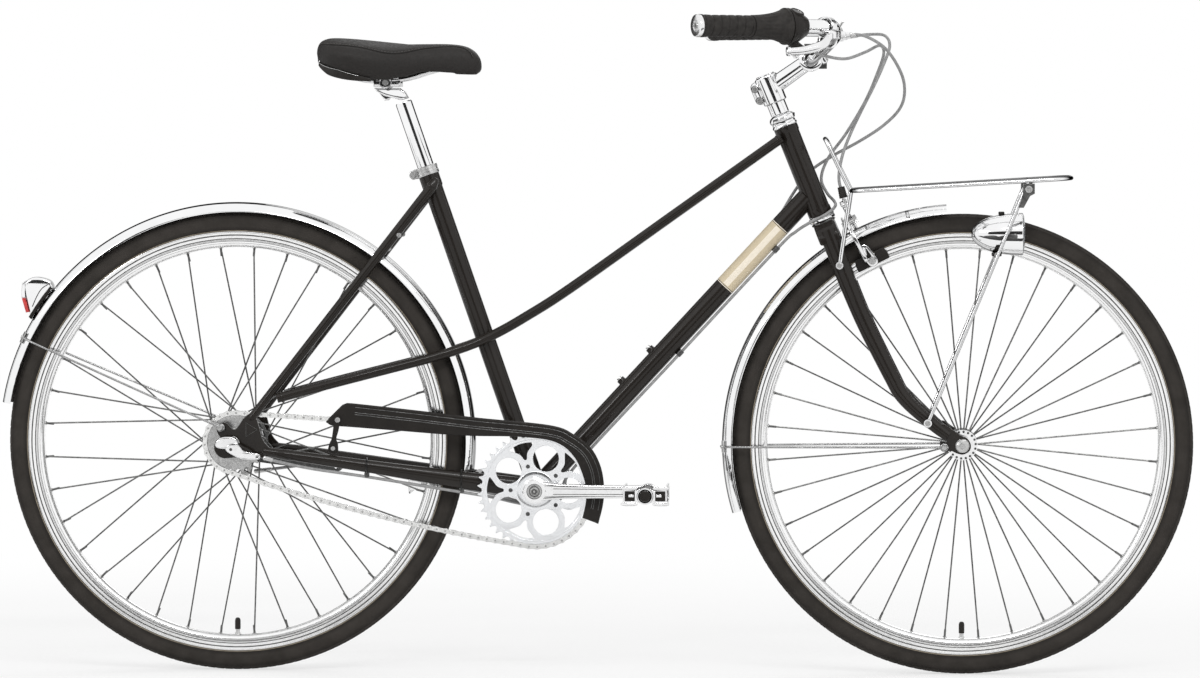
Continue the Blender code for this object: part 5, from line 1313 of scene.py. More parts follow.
def make_saddle_cover():
    obj = piece("saddle_cushion", cushion_mesh(), "cover", None, slot="")
    remesh = obj.modifiers.new("even", "REMESH")
    remesh.mode = "VOXEL"
    remesh.voxel_size = 0.0042
    remesh.use_smooth_shade = True
    bpy.context.view_layer.update()
    mesh = bpy.data.meshes.new_from_object(obj.evaluated_get(bpy.context.evaluated_depsgraph_get()))
    obj.modifiers.remove(remesh)
    obj.data = mesh
    swell(obj)
    shell = bmesh.new()
    shell.from_mesh(obj.data)
    even_out(shell, 5)
    bmesh.ops.subdivide_edges(shell, edges=shell.edges, cuts=1, use_grid_fill=True, smooth=0.6)
    even_out(shell, 3)
    tree = BVHTree.FromBMesh(shell)
    lines = [follow(tree, SEAM, side, 150) for side in (-1, 1)]
    for vert in shell.verts:
        near = min((vert.co - hit).length for line in lines for hit, _ in line[::2])
        if near < SEAM_REACH:
            vert.co -= vert.normal * SEAM_DEPTH * (0.5 + 0.5 * math.cos(math.pi * near / SEAM_REACH))
    shell.to_mesh(obj.data)
    shell.free()
    obj.data.shade_smooth()
    obj.data.materials.clear()
    obj.data.materials.append(MAT["cover"])
    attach(obj, "saddle")
    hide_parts("saddle_cover")
    fold = [sweep([p - n * (SEAM_DEPTH - 0.0004) for p, n in line], 0.0008, 10) for line in lines]
    piece("saddle_seam", joined(*fold), "cover", "saddle")
    stitches = []
    for line in lines:
        for k in range(0, len(line) - 2, 3):
            (a, n), (b, _) = line[k], line[k + 2]
            lift = n * -0.0004 + Vector((0, 0, 0.0018))
            stitches.append(sweep([a - n * 0.0008 + lift, a.lerp(b, 0.5) + lift + n * 0.0001,
                b - n * 0.0008 + lift], 0.0003, 6))
    piece("saddle_stitches", joined(*stitches), "thread", "saddle")
    make_saddle_base()


# Mudguards
GUARD_SHAPE = mm((347.4, 21.8), (347, 22.4), (347.4, 22.9), (348.4, 22.7), (352, 21.2), (355.6, 19),
    (357.4, 15.8), (357.8, 15.2), (358.6, 14.6), (359.2, 11.6), (359.7, 9), (360.6, 8), (360.9, 5),
    (361, 0))


def make_guard(which, centre, start, end, stay_angle, stay_end, stay_y, body):
    """A mudguard from start to end degrees round its axle, and its wire stay."""
    outer = both_ways(GUARD_SHAPE)
    inner = [(r - 0.0009, y * 0.96) for r, y in outer[4:-4]][::-1]
    sheet = revolve(outer + inner, axle_frame(centre), 170 if end - start > 150 else 100,
        closed=True, arc=end - start, start=-end)
    piece(f"{which}_guard", sheet, "chrome", body, [f"{which}_mudguard"], angle=50)
    x, z = polar(stay_angle, 1.0)
    out, ahead = Vector((x, 0, z)), Vector((-z, 0, x))
    top, low = centre + out * (GUARD_R + 0.0012), centre + out * 0.35
    foot = at(stay_end[0], 0, stay_end[1])
    half = [foot + Vector((0, stay_y, 0)), foot.lerp(low, 0.05) + Vector((0, stay_y - 0.001, 0)),
        low.lerp(foot, 0.1) + Vector((0, 0.0295 + (stay_y - 0.0262) * 0.08, 0)), low
        + Vector((0, 0.0262, 0)), centre + out * 0.3585 + Vector((0, 0.0196, 0)), top
        + Vector((0, 0.008, 0)), top]
    wires = [sweep(smooth(mirrored(half) + half[-2::-1], 110), 0.0016, 14)]
    bolts, pads = [], []
    for side in (-1, 1):
        eye = foot + Vector((0, side * stay_y, 0))
        ring = [eye + Vector((x, 0, z)) for x, z in circle((0, 0), 0.0046, 18)]
        wires.append(sweep(ring, 0.0018, 10, closed=True))
        bolts.append(socket_bolt(across(eye, side, stay_y + 0.0016), 0.004, 0.003))
    for y in (-0.017, 0.017):
        aside, lean = Vector((0, y, 0)), out + Vector((0, y * 14, 0))
        pad_place = towards(centre + out * 0.3592 + aside, lean, side=ahead)
        pads.append(block((0.018, 0.0105, 0.003), pad_place, 0.001))
        bolts.append(socket_bolt(towards(centre + out * 0.3606 + aside, lean), 0.003, 0.0016))
    piece(f"{which}_guard_stay", joined(*wires), "stay", body)
    piece(f"{which}_guard_clips", joined(*pads), "steel", body)
    piece(f"{which}_guard_bolts", joined(*bolts), "steel", body)


def make_guards():
    make_guard("rear", REAR_AXLE, -9.0, 170.8, 154.3, REAR_STAY_FOOT, 0.0745, "frame")
    make_guard("front", FRONT_AXLE, 94.0, 197.0, 180.8, FRONT_STAY_FOOT, 0.058, "steering")


# Drive
def pitch_radius(teeth):
    return CHAIN_PITCH / (2 * math.sin(math.pi / teeth))


RING_TEETH, COG_TEETH = 42, 22
RING_R = pitch_radius(RING_TEETH)
COG_R = pitch_radius(COG_TEETH)
GEAR_THICK = 0.0024
TOOTH = ((-0.44, -0.003), (0.0, -0.0043), (0.44, -0.003), (0.66, -0.0004), (0.86, 0.0024),
    (1.0, 0.003), (1.14, 0.0024), (1.34, -0.0004))
CHAIN_SAG = 0.01


def toothed(teeth, pitch_r):
    """A sprocket's outline: rounded seats for the rollers between pointed teeth."""
    outline = []
    for k in range(teeth):
        base = 360.0 * k / teeth
        step = 180.0 / teeth
        for turn, r in TOOTH:
            outline.append(polar(base + turn * step, pitch_r + r))
    return outline


def gear_frame(centre, y):
    """The side view's frame at centre, with its plane at y."""
    return Matrix.Translation((centre.x, y, centre.z)) @ SIDE_VIEW


def make_chainring():
    holes = [circle((0, 0), 0.015, 32)]
    for k in range(5):
        holes.append(circle(polar(72.0 * k, 0.05), 0.0195, 44))
        middle = 36.0 + 72.0 * k
        corner = [(middle - 15, 0.0722), (middle, 0.0732), (middle + 15, 0.0722),
            (middle + 14.5, 0.069), (middle + 6, 0.0585), (middle + 2.6, 0.0492), (middle, 0.0476),
            (middle - 2.6, 0.0492), (middle - 6, 0.0585), (middle - 14.5, 0.069)]
        holes.append(rounded([polar(a, r) for a, r in corner], 36))
    ring = slab(toothed(RING_TEETH, RING_R), GEAR_THICK, gear_frame(BB, CHAIN_Y), holes, 0.0003)
    face_y = -CHAIN_Y + GEAR_THICK / 2
    spider = revolve([(0.014, face_y - 0.0008), (0.029, face_y - 0.0008), (0.029, face_y + 0.0002),
        (0.028, face_y + 0.001), (0.023, face_y + 0.0013), (0.014, face_y + 0.0013)],
        across(BB, -1), 64, closed=True)
    edge = revolve([(0.0758, face_y - 0.0006), (0.0758, face_y + 0.0002), (0.0762, face_y + 0.0005),
        (0.08, face_y + 0.0005), (0.0804, face_y - 0.0006)], across(BB, -1), 120, closed=True)
    piece("chainring_dressed", joined(ring, spider, edge), "satin", "crankset", ["chainring"], BB)
    bolts = []
    for k in range(5):
        x, z = polar(36.0 + 72.0 * k, 0.0375)
        bolts.append(revolve(mm((0, 2), (2.2, 2), (3, 1.2), (3.2, 0), (3.2, -4), (0, -4)),
            across(BB + Vector((x, 0, z)), -1, 0.0482), 18))
    piece("chainring_rivets", joined(*bolts), "dark_steel", "crankset")


def make_sprocket():
    holes = [circle((0, 0), 0.018, 32)]
    cog = slab(toothed(COG_TEETH, COG_R), GEAR_THICK, gear_frame(REAR_AXLE, CHAIN_Y), holes, 0.0003)
    driver = revolve(mm((21.5, -37), (21.5, -50.5), (20.4, -52), (12, -52.5), (5.4, -52.5),
        (5.4, -37)), axle_frame(REAR_AXLE), 40, closed=True)
    ring = revolve(mm((18.2, -48.4), (22.6, -48.4), (23, -49), (22.6, -49.7), (18.2, -49.7)),
        axle_frame(REAR_AXLE), 40)
    piece("sprocket_dressed", joined(cog, driver, ring), "steel", "rear_sprocket",
        ["rear_sprocket"], REAR_AXLE)


def arc_points(centre, radius, start, end, count):
    """Points round a gear in the side view, as (x, z)."""
    turns = [start + (end - start) * k / count for k in range(count + 1)]
    return [(centre.x + radius * math.cos(t), centre.z + radius * math.sin(t)) for t in turns]


def span_points(start, end, sag, count=60):
    """Points between two ends, without them, that hang by sag in the middle."""
    parts = [k / count for k in range(1, count)]
    return [(start[0] + (end[0] - start[0]) * t, start[1]
        + (end[1] - start[1]) * t - sag * 4 * t * (1 - t)) for t in parts]


def chain_centres():
    """The chain's pin centres: round both gears, straight on top, sagging below."""
    ahead = BB - REAR_AXLE
    tilt = math.atan2(ahead.z, ahead.x)
    lean = math.asin((RING_R - COG_R) / ahead.length)
    top, low = tilt + lean + math.pi / 2, tilt - lean - math.pi / 2
    behind = arc_points(REAR_AXLE, COG_R, top, low + 2 * math.pi, 80)
    front = arc_points(BB, RING_R, low, top, 120)
    fine = behind + span_points(behind[-1], front[0], CHAIN_SAG)
    fine += front + span_points(front[-1], behind[0], 0.0)
    gaps = [math.dist(fine[k], fine[(k + 1) % len(fine)]) for k in range(len(fine))]
    links = 2 * round(sum(gaps) / CHAIN_PITCH / 2)
    step = sum(gaps) / links
    pins, run, k = [], 0.0, 0
    for i in range(links):
        want = i * step
        while run + gaps[k] < want:
            run += gaps[k]
            k += 1
        a, b = fine[k], fine[(k + 1) % len(fine)]
        part = (want - run) / gaps[k]
        pins.append((a[0] + (b[0] - a[0]) * part, a[1] + (b[1] - a[1]) * part))
    return pins


ROLLER = mm((0, 3.9), (1.4, 3.9), (1.7, 3.6), (1.7, 1.7), (3.8, 1.6))
PLATE_R, PLATE_WAIST = 0.0041, 0.0031


def link_outline(half):
    """A link's side plate: round at both pins and narrower between them."""
    outline = []
    for end in (1, -1):
        for turn in range(-75, 76, 30):
            x, z = polar(turn, PLATE_R)
            outline.append((end * (half + x), end * z))
        outline.append((0.0, end * PLATE_WAIST))
    return outline


def make_chain():
    plates, rollers = [], []
    pins = chain_centres()
    for k, a in enumerate(pins):
        b = pins[(k + 1) % len(pins)]
        place = Matrix.Translation(((a[0] + b[0]) / 2, CHAIN_Y, (a[1] + b[1]) / 2)) @ SIDE_VIEW
        place = place @ Matrix.Rotation(math.atan2(b[1] - a[1], b[0] - a[0]), 4, "Z")
        outline = link_outline(math.dist(a, b) / 2)
        layer = 0.0031 if k % 2 else 0.002
        for side in (-1, 1):
            spot = place @ Matrix.Translation((0, 0, side * layer))
            plates.append(slab(outline, 0.0009, spot, bevel=0.0001))
        pin = Matrix.Translation((a[0], CHAIN_Y, a[1])) @ SIDE_VIEW
        rollers.append(revolve(both_ways(ROLLER), pin, 10))
    piece("chain_plates", joined(*plates), "chain", "frame", ["chain"])
    piece("chain_rollers", joined(*rollers), "steel", "frame")


# Half the crank arm's height along its length, and its ends' radii
CRANK_HALVES = mm((0, 15), (16, 13.2), (36, 11.2), (80, 10.2), (130, 9.5), (158, 9.8), (168, 10.8))
CRANK_EYE_R, CRANK_BOSS_R = 0.0112, 0.015
CRANK_Y = 0.0715


def crank_arm(eye, side, forward):
    shape = [(BB.x + forward * x, h) for x, h in CRANK_HALVES]
    outline = [(x, BB.z + h) for x, h in shape]
    for turn in (70, 45, 20, 0, -20, -45, -70):
        x, z = polar(turn, CRANK_EYE_R)
        outline.append((eye.x + forward * x, eye.z + z))
    outline += [(x, BB.z - h) for x, h in reversed(shape)]
    for turn in (-120, -150, 180, 150, 120):
        x, z = polar(turn, CRANK_BOSS_R)
        outline.append((BB.x + forward * x, BB.z + z))
    arm = slab(outline, 0.013, gear_frame(Vector(), side * CRANK_Y), bevel=0.0024, fine=True)
    inner, inner_r = (0.0486, 0.02) if side < 0 else (0.05, 0.016)
    boss = revolve([(0.0088, inner), (inner_r, inner), (inner_r, 0.0512), (0.0168, 0.0524),
        (0.017, 0.054), (0.017, 0.0785), (0.016, 0.0795), (0.0112, 0.0795), (0.0108, 0.0788),
        (0.0108, 0.077), (0.0, 0.077)], across(BB, side), 48)
    eyelet = revolve(mm((5.4, 64.1), (12.2, 64), (12.8, 64.7), (12.8, 78.3), (12.1, 79), (5.4, 79)),
        across(eye, side), 44, closed=True)
    return joined(arm, boss, eyelet)


def crank_groove_shade(side, forward):
    """Fine dark lines along the arm and round its bolt: painted shade where its grooves are."""
    lines = []
    for rise in (-0.0042, 0.0042):
        ends = [BB + Vector((forward * along, side * 0.078, rise * scale)) for along,
            scale in ((0.028, 1.0), (0.148, 0.86))]
        lines.append(sweep(ends, 0.0006, 8, round_end=1.0))
    for r, w, y in ((0.0112, 0.0006, 0.0794), (0.0074, 0.0007, 0.0786), (0.003, 0.0012, 0.0806)):
        ring = [(r - w, y), (r - w * 0.5, y + 0.0003), (r + w * 0.5, y + 0.0003), (r + w, y)]
        lines.append(revolve(ring, across(BB, side), 40, closed=True))
    return joined(*lines)


def make_cranks():
    spindle = revolve(both_ways(mm((0, 70), (7.6, 70), (8.3, 69))), axle_frame(BB), 28)
    piece("spindle", spindle, "steel", "crankset", ["bb_spindle"], BB)
    for name, side in SIDES.items():
        forward = -side
        eye = BB + Vector((forward * CRANK, 0, 0))
        piece(f"{name}_crank_arm", crank_arm(eye, side, forward), "alloy", "crankset",
            [f"{name}_crank"], BB)
        # Dark lines of painted shade where the arm's grooves are
        piece(f"{name}_crank_groove_shade", crank_groove_shade(side, forward), "dark_steel", "crankset")
        bolt = revolve(mm((0, 80.6), (4.6, 80.6), (5.2, 80), (5.6, 78.6), (10, 78.2), (10.6, 76.8)),
            across(BB, side), 36)
        piece(f"{name}_crank_bolt", bolt, "steel", "crankset")
        make_pedal(name, side, eye)


def pedal_point(eye, side, x, y, z):
    return eye + Vector((x, side * y, z))


def pedal_plates(eye, side):
    """The toothed plates at the front and the back of the cage."""
    outline = mm((89, -10), (96, -14.8), (171, -14.8), (178, -10), (178, 10))
    teeth = 7
    for k in range(teeth):
        y = 0.1735 - 0.079 * k / (teeth - 1)
        outline += [(y, 0.015), (y - 0.0062, 0.015), (y - 0.0072, 0.0133), (y - 0.0122, 0.0133)]
    outline = [p for p in outline if p[0] >= 0.089] + [(0.089, 0.01)]
    window = rounded(mm((98.5, -7.8), (168.5, -7.8), (168.5, 7.8), (98.5, 7.8)), 40)
    lying = Matrix(((0, 0, 1, 0), (side, 0, 0, 0), (0, 1, 0, 0), (0, 0, 0, 1)))
    return [slab(outline, 0.0022, Matrix.Translation(pedal_point(eye, side, end * 0.0312, 0,
        0)) @ lying, [window], 0.0005) for end in (-1, 1)]


def pedal_cage(eye, side):
    shape = mm((-32.5, 9.8), (-15, 8), (0, 12.5), (15, 8), (32.5, 9.8))
    shape += [(x, -z) for x, z in reversed(shape)]
    cage = pedal_plates(eye, side)
    for y in (0.0905, 0.1765):
        place = Matrix.Translation(pedal_point(eye, side, 0, y, 0)) @ SIDE_VIEW
        cage.append(slab(shape, 0.0026, place, bevel=0.0005))
    lip = rounded(mm((-10, -2.2), (10, -2.2), (10, 2.2), (-10, 2.2)), 28)
    for end in (-1, 1):
        for low in (-1, 1):
            spot = pedal_point(eye, side, end * 0.0235, 0.1788, low * 0.0118)
            cage.append(slab(lip, 0.002, Matrix.Translation(spot) @ SIDE_VIEW, bevel=0.0005))
    cage.append(revolve(mm((8.6, 178.4), (11.8, 178.4), (12.4, 179), (12.2, 180.2), (11.2, 181.2),
        (8.6, 181.2)), across(eye, side), 40, closed=True))
    return joined(*cage)


# The pedal's pairs of blocks, ahead of and behind its axle: name, material, size, place and bevel
PEDAL_BLOCKS = (
    ("fronts", "plastic", (0.015, 0.0016, 0.015), (0.0225, 0.1783, 0), 0.0006),
    ("inlays", "alloy", (0.008, 0.0012, 0.004), (0.0205, 0.1794, 0.0005), 0.0005),
    ("blocks", "rubber", (0.012, 0.064, 0.015), (0.0232, 0.1335, 0), 0.0015),
)


def make_pedal(name, side, eye):
    place, body = across(eye, side), f"{name}_pedal"
    axle = revolve(mm((0, 176), (4.7, 176), (4.7, 85), (7.5, 84.5), (7.8, 84), (7.8, 80),
        (4.7, 79.5), (4.7, 65.5), (4, 65), (0, 65)), place, 24)
    piece(f"{name}_pedal_spindle", axle, "steel", "crankset", [f"{name}_pedal_axle"], eye)
    piece(f"{name}_pedal_cage", pedal_cage(eye, side), "alloy", body, [body], eye)
    barrel = revolve(mm((5.5, 87.2), (11.2, 87), (11.8, 87.6), (11.8, 92.5), (10.8, 94.5),
        (10.6, 172), (11.6, 174.2), (11.6, 180), (10.4, 181.2), (0, 181.2)), place, 36)
    cap = revolve(mm((8.4, 180), (8.6, 180.8), (8.6, 183.5), (7.2, 185.6), (0, 186)), place, 32)
    piece(f"{name}_pedal_barrel", joined(barrel, cap), "plastic", body)
    for kind, material, size, (x, y, z), bevel in PEDAL_BLOCKS:
        pair = [block(size, pedal_point(eye, side, end * x, y, z), bevel) for end in (-1, 1)]
        piece(f"{name}_pedal_{kind}", joined(*pair), material, body, slot=material)


CHAINGUARD = mm((140.2, 377.8), (142, 380), (153, 391.2), (164, 402), (167.2, 404.5), (172, 405),
    (190, 403.5), (270, 395), (366, 384), (476, 373), (512, 359), (537, 339), (551, 312),
    (556, 282), (554.5, 256), (548, 229.5), (547, 228.8), (527.2, 236.2), (527, 237.5),
    (531.8, 264), (530, 289), (514, 327), (484, 350.5), (430.5, 358), (366, 359), (319.5, 361),
    (240, 367), (172, 372), (152, 373.2), (142, 375.8))


CHAINGUARD_TOP = slice(4, 16)
STRUT = mm((152.5, 385), (160.5, 385), (158.5, 366), (155, 353), (157.5, 345), (156.5, 331),
    (143, 333), (144.5, 345), (148, 353), (150, 366))


def inward(run):
    """Towards the inside of an outline that runs clockwise in the side view."""
    return Vector((run.z, 0, -run.x))


def make_chainguard():
    face = side_slab(rounded(CHAINGUARD, 150), -0.0569, -0.0586, bevel=0.0007, fine=True)
    inset = smooth([(x, -0.0552, z) for x, z in CHAINGUARD], 150, True)
    ring = []
    for k, p in enumerate(inset):
        run = (inset[(k + 1) % len(inset)] - inset[k - 1]).normalized()
        ring.append(at(*(p + inward(run) * 0.0011)))
    rim = sweep(ring, 0.0026, 10, closed=True)
    strut = side_slab(rounded(STRUT, 50), -0.058, -0.0612, bevel=0.0007)
    piece("chainguard_dressed", joined(face, strut, rim), "plastic", "frame", ["chainguard"])
    # Metallic grey lines along the guard's top: painted shade and painted sheen of its grooves
    top = smooth([(x, 0, z) for x, z in CHAINGUARD[CHAINGUARD_TOP]], 120)
    lines = []
    for depth, width in ((0.0042, 0.0005), (0.012, 0.0006), (0.015, 0.0006)):
        row = []
        for k in range(4, len(top) - 4):
            p = top[k] + inward((top[k + 1] - top[k - 1]).normalized()) * depth
            row.append(at(p.x, -0.0586, p.z))
        lines.append(sweep(row, width, 8, round_end=1.0))
    piece("chainguard_groove_shade_and_sheen", joined(*lines), "dark_steel", "frame", slot="plastic")
    bolts = [socket_bolt(across(at(0.157, 0, 0.381), -1, 0.061), 0.004, 0.0022),
        socket_bolt(across(at(0.15, 0, 0.338), -1, 0.0612), 0.0034, 0.0018)]
    piece("chainguard_bolts", joined(*bolts), "steel", "frame")


def hexagonal(nut_r, corner_r):
    """A warp for revolve that makes the rings of radius nut_r hexagonal, out to corner_r."""
    def warp(turn, r, h):
        return (hexed(turn, corner_r), h) if abs(r - nut_r) < 1e-6 else (r, h)

    return warp


def make_rear_axle():
    profile = mm((0, 83.5), (4, 83.2), (4.6, 82.6), (4.6, 82), (9.5, 80), (9.5, 73.5), (10.5, 73.2),
        (10.5, 71.3), (4.6, 71.3), (4.6, 64.7), (9, 64.7), (9, 59), (4.6, 59), (4.6, -53.5),
        (10, -53.5), (10, -64.7), (4.6, -64.7), (4.6, -71.3), (10.5, -71.3), (10.5, -73.2),
        (9.5, -73.5), (9.5, -80), (0, -80))
    axle = revolve(profile, axle_frame(REAR_AXLE), 48, hexagonal(0.0095, 0.0105))
    piece("rear_axle_dressed", axle, "steel", "frame", ["rear_axle"], angle=28)


def make_roller_brake():
    drum = revolve(mm((5.6, 58), (27, 58.2), (30, 57.6), (32.2, 56.2), (33.2, 54.5), (34, 50.5),
        (40.2, 48.6), (41, 47.8), (41, 46.6), (39, 46), (39, 45.2), (41, 44.6), (41, 43.2),
        (39, 42.6), (39, 41.8), (40.5, 41.2), (38, 39.3), (38, 36.8), (5.6, 36.6)),
        axle_frame(REAR_AXLE), 72, closed=True)
    arm = side_slab(rounded(mm((-10, 322), (20, 312), (120, 300), (150, 298), (152, 308),
        (120, 311), (34, 330), (20, 345)), 70), 0.049, 0.0525, [circle((0.144, 0.3035), 0.002, 14)],
        0.0008)
    piece("roller_brake_dressed", joined(drum, arm), "dark_steel", "frame", ["roller_brake"])
    rivets = []
    for k in range(10):
        x, z = polar(36 * k, 0.0225)
        rivets.append(revolve(mm((0, 1.2), (1.6, 1), (2, 0), (0, 0)),
            across(REAR_AXLE + Vector((x, 0, z)), 1, 0.058), 12))
    piece("roller_brake_rivets", joined(*rivets), "steel", "frame")
    lever = side_slab(rounded(mm((-4, 306), (0, 292), (12, 292), (16, 306), (12, 318), (0, 318)),
        50), 0.059, 0.062, [circle((0.006, 0.2975), 0.0018, 14)], 0.0006)
    piece("roller_brake_lever", lever, "steel", "roller_brake_arm", ["roller_brake_arm"],
        at(0.006, 0.06, 0.314))
    knob = revolve(mm((0, 1.2), (3, 1), (3.6, 0), (0, 0)), across(at(0.006, 0, 0.3125), 1, 0.062),
        20)
    piece("roller_brake_pin", knob, "dark_steel", "roller_brake_arm")


def make_gear_arm():
    """The cover of the gear's bell crank on the axle's right end, and its arm."""
    cover = side_slab(rounded(mm((-25, 336), (-23, 350), (-12, 357), (4, 356), (11, 347), (30, 336),
        (30, 327), (8, 326), (-14, 325)), 64), -0.0803, -0.094, bevel=0.0024, fine=True)
    piece("bell_crank_cover", cover, "plastic", "frame", ["bell_crank"])
    cap = side_slab(rounded(mm((-23.6, 342), (-21.8, 350.5), (-12.5, 356.2), (3.5, 355.6),
        (10.4, 348), (9, 340), (-2, 338.5), (-15, 338.5)), 44), -0.0905, -0.0944, bevel=0.0016,
        fine=True)
    piece("bell_crank_cap", cap, "alloy", "frame")
    arm = side_slab(rounded(mm((-8, 337), (-5, 344), (6, 347.8), (13.5, 343), (21, 335.2),
        (40, 331.8), (44.5, 327.5), (40, 322.8), (18, 323.2), (2, 329.6)), 60), -0.0944, -0.0974,
        [circle((0.0395, 0.327), 0.0016, 14)], 0.0011)
    piece("bell_crank_lever", arm, "alloy", "bell_crank_arm", ["bell_crank_arm"], at(0.0, -0.095,
        0.338), slot="bright_steel")
    pin = revolve(mm((0, 1.4), (1.8, 1.2), (2.4, 0), (0, 0)), across(at(0.0, 0, 0.338), -1, 0.0974),
        20)
    piece("bell_crank_pin", pin, "dark_steel", "bell_crank_arm")


def make_rear_end():
    make_rear_axle()
    make_roller_brake()
    make_gear_arm()


# The fork and the cockpit
BLADE = mm((890.5, 668), (903.5, 634), (931, 565), (951, 520), (969, 484), (989, 445), (1001, 423),
    (1022, 400), (1056, 372), (1072, 360))
BLADE_HEIGHTS = [0.028, 0.028, 0.026, 0.025, 0.024, 0.023, 0.022, 0.02, 0.018, 0.016]
BLADE_SPREAD = [(0.885, 0.0405, 0.7), (0.931, 0.0425, 0.7), (1.001, 0.049, 0.75), (1.072, 0.053,
    0.62)]
FORK_TIP = mm((1060, 346), (1061.5, 338.5), (1068, 336.8), (1076, 338.5), (1085, 334.5),
    (1095, 333), (1104, 338.5), (1105.8, 348), (1100, 357.5), (1090, 361.5), (1080, 369),
    (1064, 379), (1060, 372), (1069, 360), (1070, 352))


CROWN = mm((19, -81.3), (33, -85), (46, -96), (49.5, -105), (49.5, -115), (31, -115), (29, -107),
    (18, -102))
FRONT_AXLE_HALF = mm((0, 66), (4.4, 65.8), (6, 64), (9, 62.2), (9.2, 61.2), (9.2, 57.2), (10.4, 57),
    (10.4, 55.8), (4.6, 55.8))


def fork_side():
    """The left blade with its tip, and the lugs and eyelet that hold the rack."""
    blade = oval_sweep(BLADE, BLADE_HEIGHTS, BLADE_SPREAD, 28, 50)
    holes = [circle((1.0933, AXLE_Z), 0.005, 20), circle(FRONT_STAY_FOOT, 0.002, 12)]
    tip = side_slab(rounded(FORK_TIP, 50), 0.0503, 0.0553, holes, 0.0008)
    eyelet = revolve(mm((2.2, 0), (5, 0), (5.4, 0.6), (5.4, 4.4), (4.8, 5), (2.2, 5)),
        across(RACK_FOOT, 1, 0.056), 24, closed=True)
    lug = rod(at(1.044, 0.0525, 0.38), at(1.0425, 0.059, 0.38), 0.005, 20)
    leg_lug = rod(RACK_KNEE + Vector((0, 0.044, 0)), RACK_KNEE + Vector((0, 0.0525, 0)), 0.005, 20)
    return joined(blade, tip, eyelet, lug, leg_lug)


def make_fork():
    steerer = revolve(mm((11.6, 90.5), (12.2, 90.9), (12.5, 90), (12.5, -95), (11.6, -95)),
        towards(HEAD, HEAD_UP), 40, closed=True)
    facing = towards(HEAD, HEAD_FORE, side=(0, 1, 0))
    outline = [(-0.019, -0.0813), *CROWN, *[(-x, z) for x, z in CROWN[:0:-1]]]
    crown = slab(outline, 0.033, facing, bevel=0.0038, fine=True)
    step = slab(mm((-18.6, -81.3), (18.6, -81.3), (20, -85), (-20, -85)), 0.037, facing,
        bevel=0.002)
    one_side = fork_side()
    piece("fork_dressed", joined(steerer, crown, step, one_side, flipped(one_side)), "paint",
        "steering", ["fork"], HEAD)
    bolts = []
    for side in (-1, 1):
        bolts.append(socket_bolt(across(RACK_FOOT, side, 0.0706), 0.0042, 0.0028))
        bolts.append(socket_bolt(across(RACK_KNEE, side, 0.06), 0.0036, 0.0024))
    piece("rack_bolts", joined(*bolts), "steel", "steering")
    axle = revolve(both_ways(FRONT_AXLE_HALF), axle_frame(FRONT_AXLE), 48, hexagonal(0.0092,
        0.0102))
    piece("front_axle_dressed", axle, "steel", "steering", ["front_axle"], slot="chrome", angle=28)


BAR = [(0.8644, 0.0, 0.9227), (0.8644, 0.016, 0.9227), (0.8648, 0.034, 0.9233),
    (0.87, 0.058, 0.929), (0.886, 0.092, 0.945), (0.8985, 0.128, 0.96), (0.898, 0.156, 0.967),
    (0.882, 0.178, 0.9695), (0.852, 0.196, GRIP_Z), (0.818, 0.2165, GRIP_Z),
    (0.785, 0.2364, GRIP_Z), (0.704, 0.2852, GRIP_Z)]
GRIP_END = (0.701, 0.287, GRIP_Z)
BAR_AT = at(0.8644, 0, 0.9227)


def on_grip(distance, side):
    """A point of the straight end of the bar, by its distance from the bar's end."""
    end, inner = Vector(GRIP_END), Vector(BAR[9])
    p = end + (inner - end).normalized() * distance
    return at(p.x, side * p.y, p.z)


def grip_frame(side):
    """A frame at the bar's end whose Z axis lies along the grip."""
    end = on_grip(0.0, side)
    return towards(end, on_grip(0.1, side) - end, side=(0, 0, 1))


STEM_BOLTS = (0.14, 0.1215)


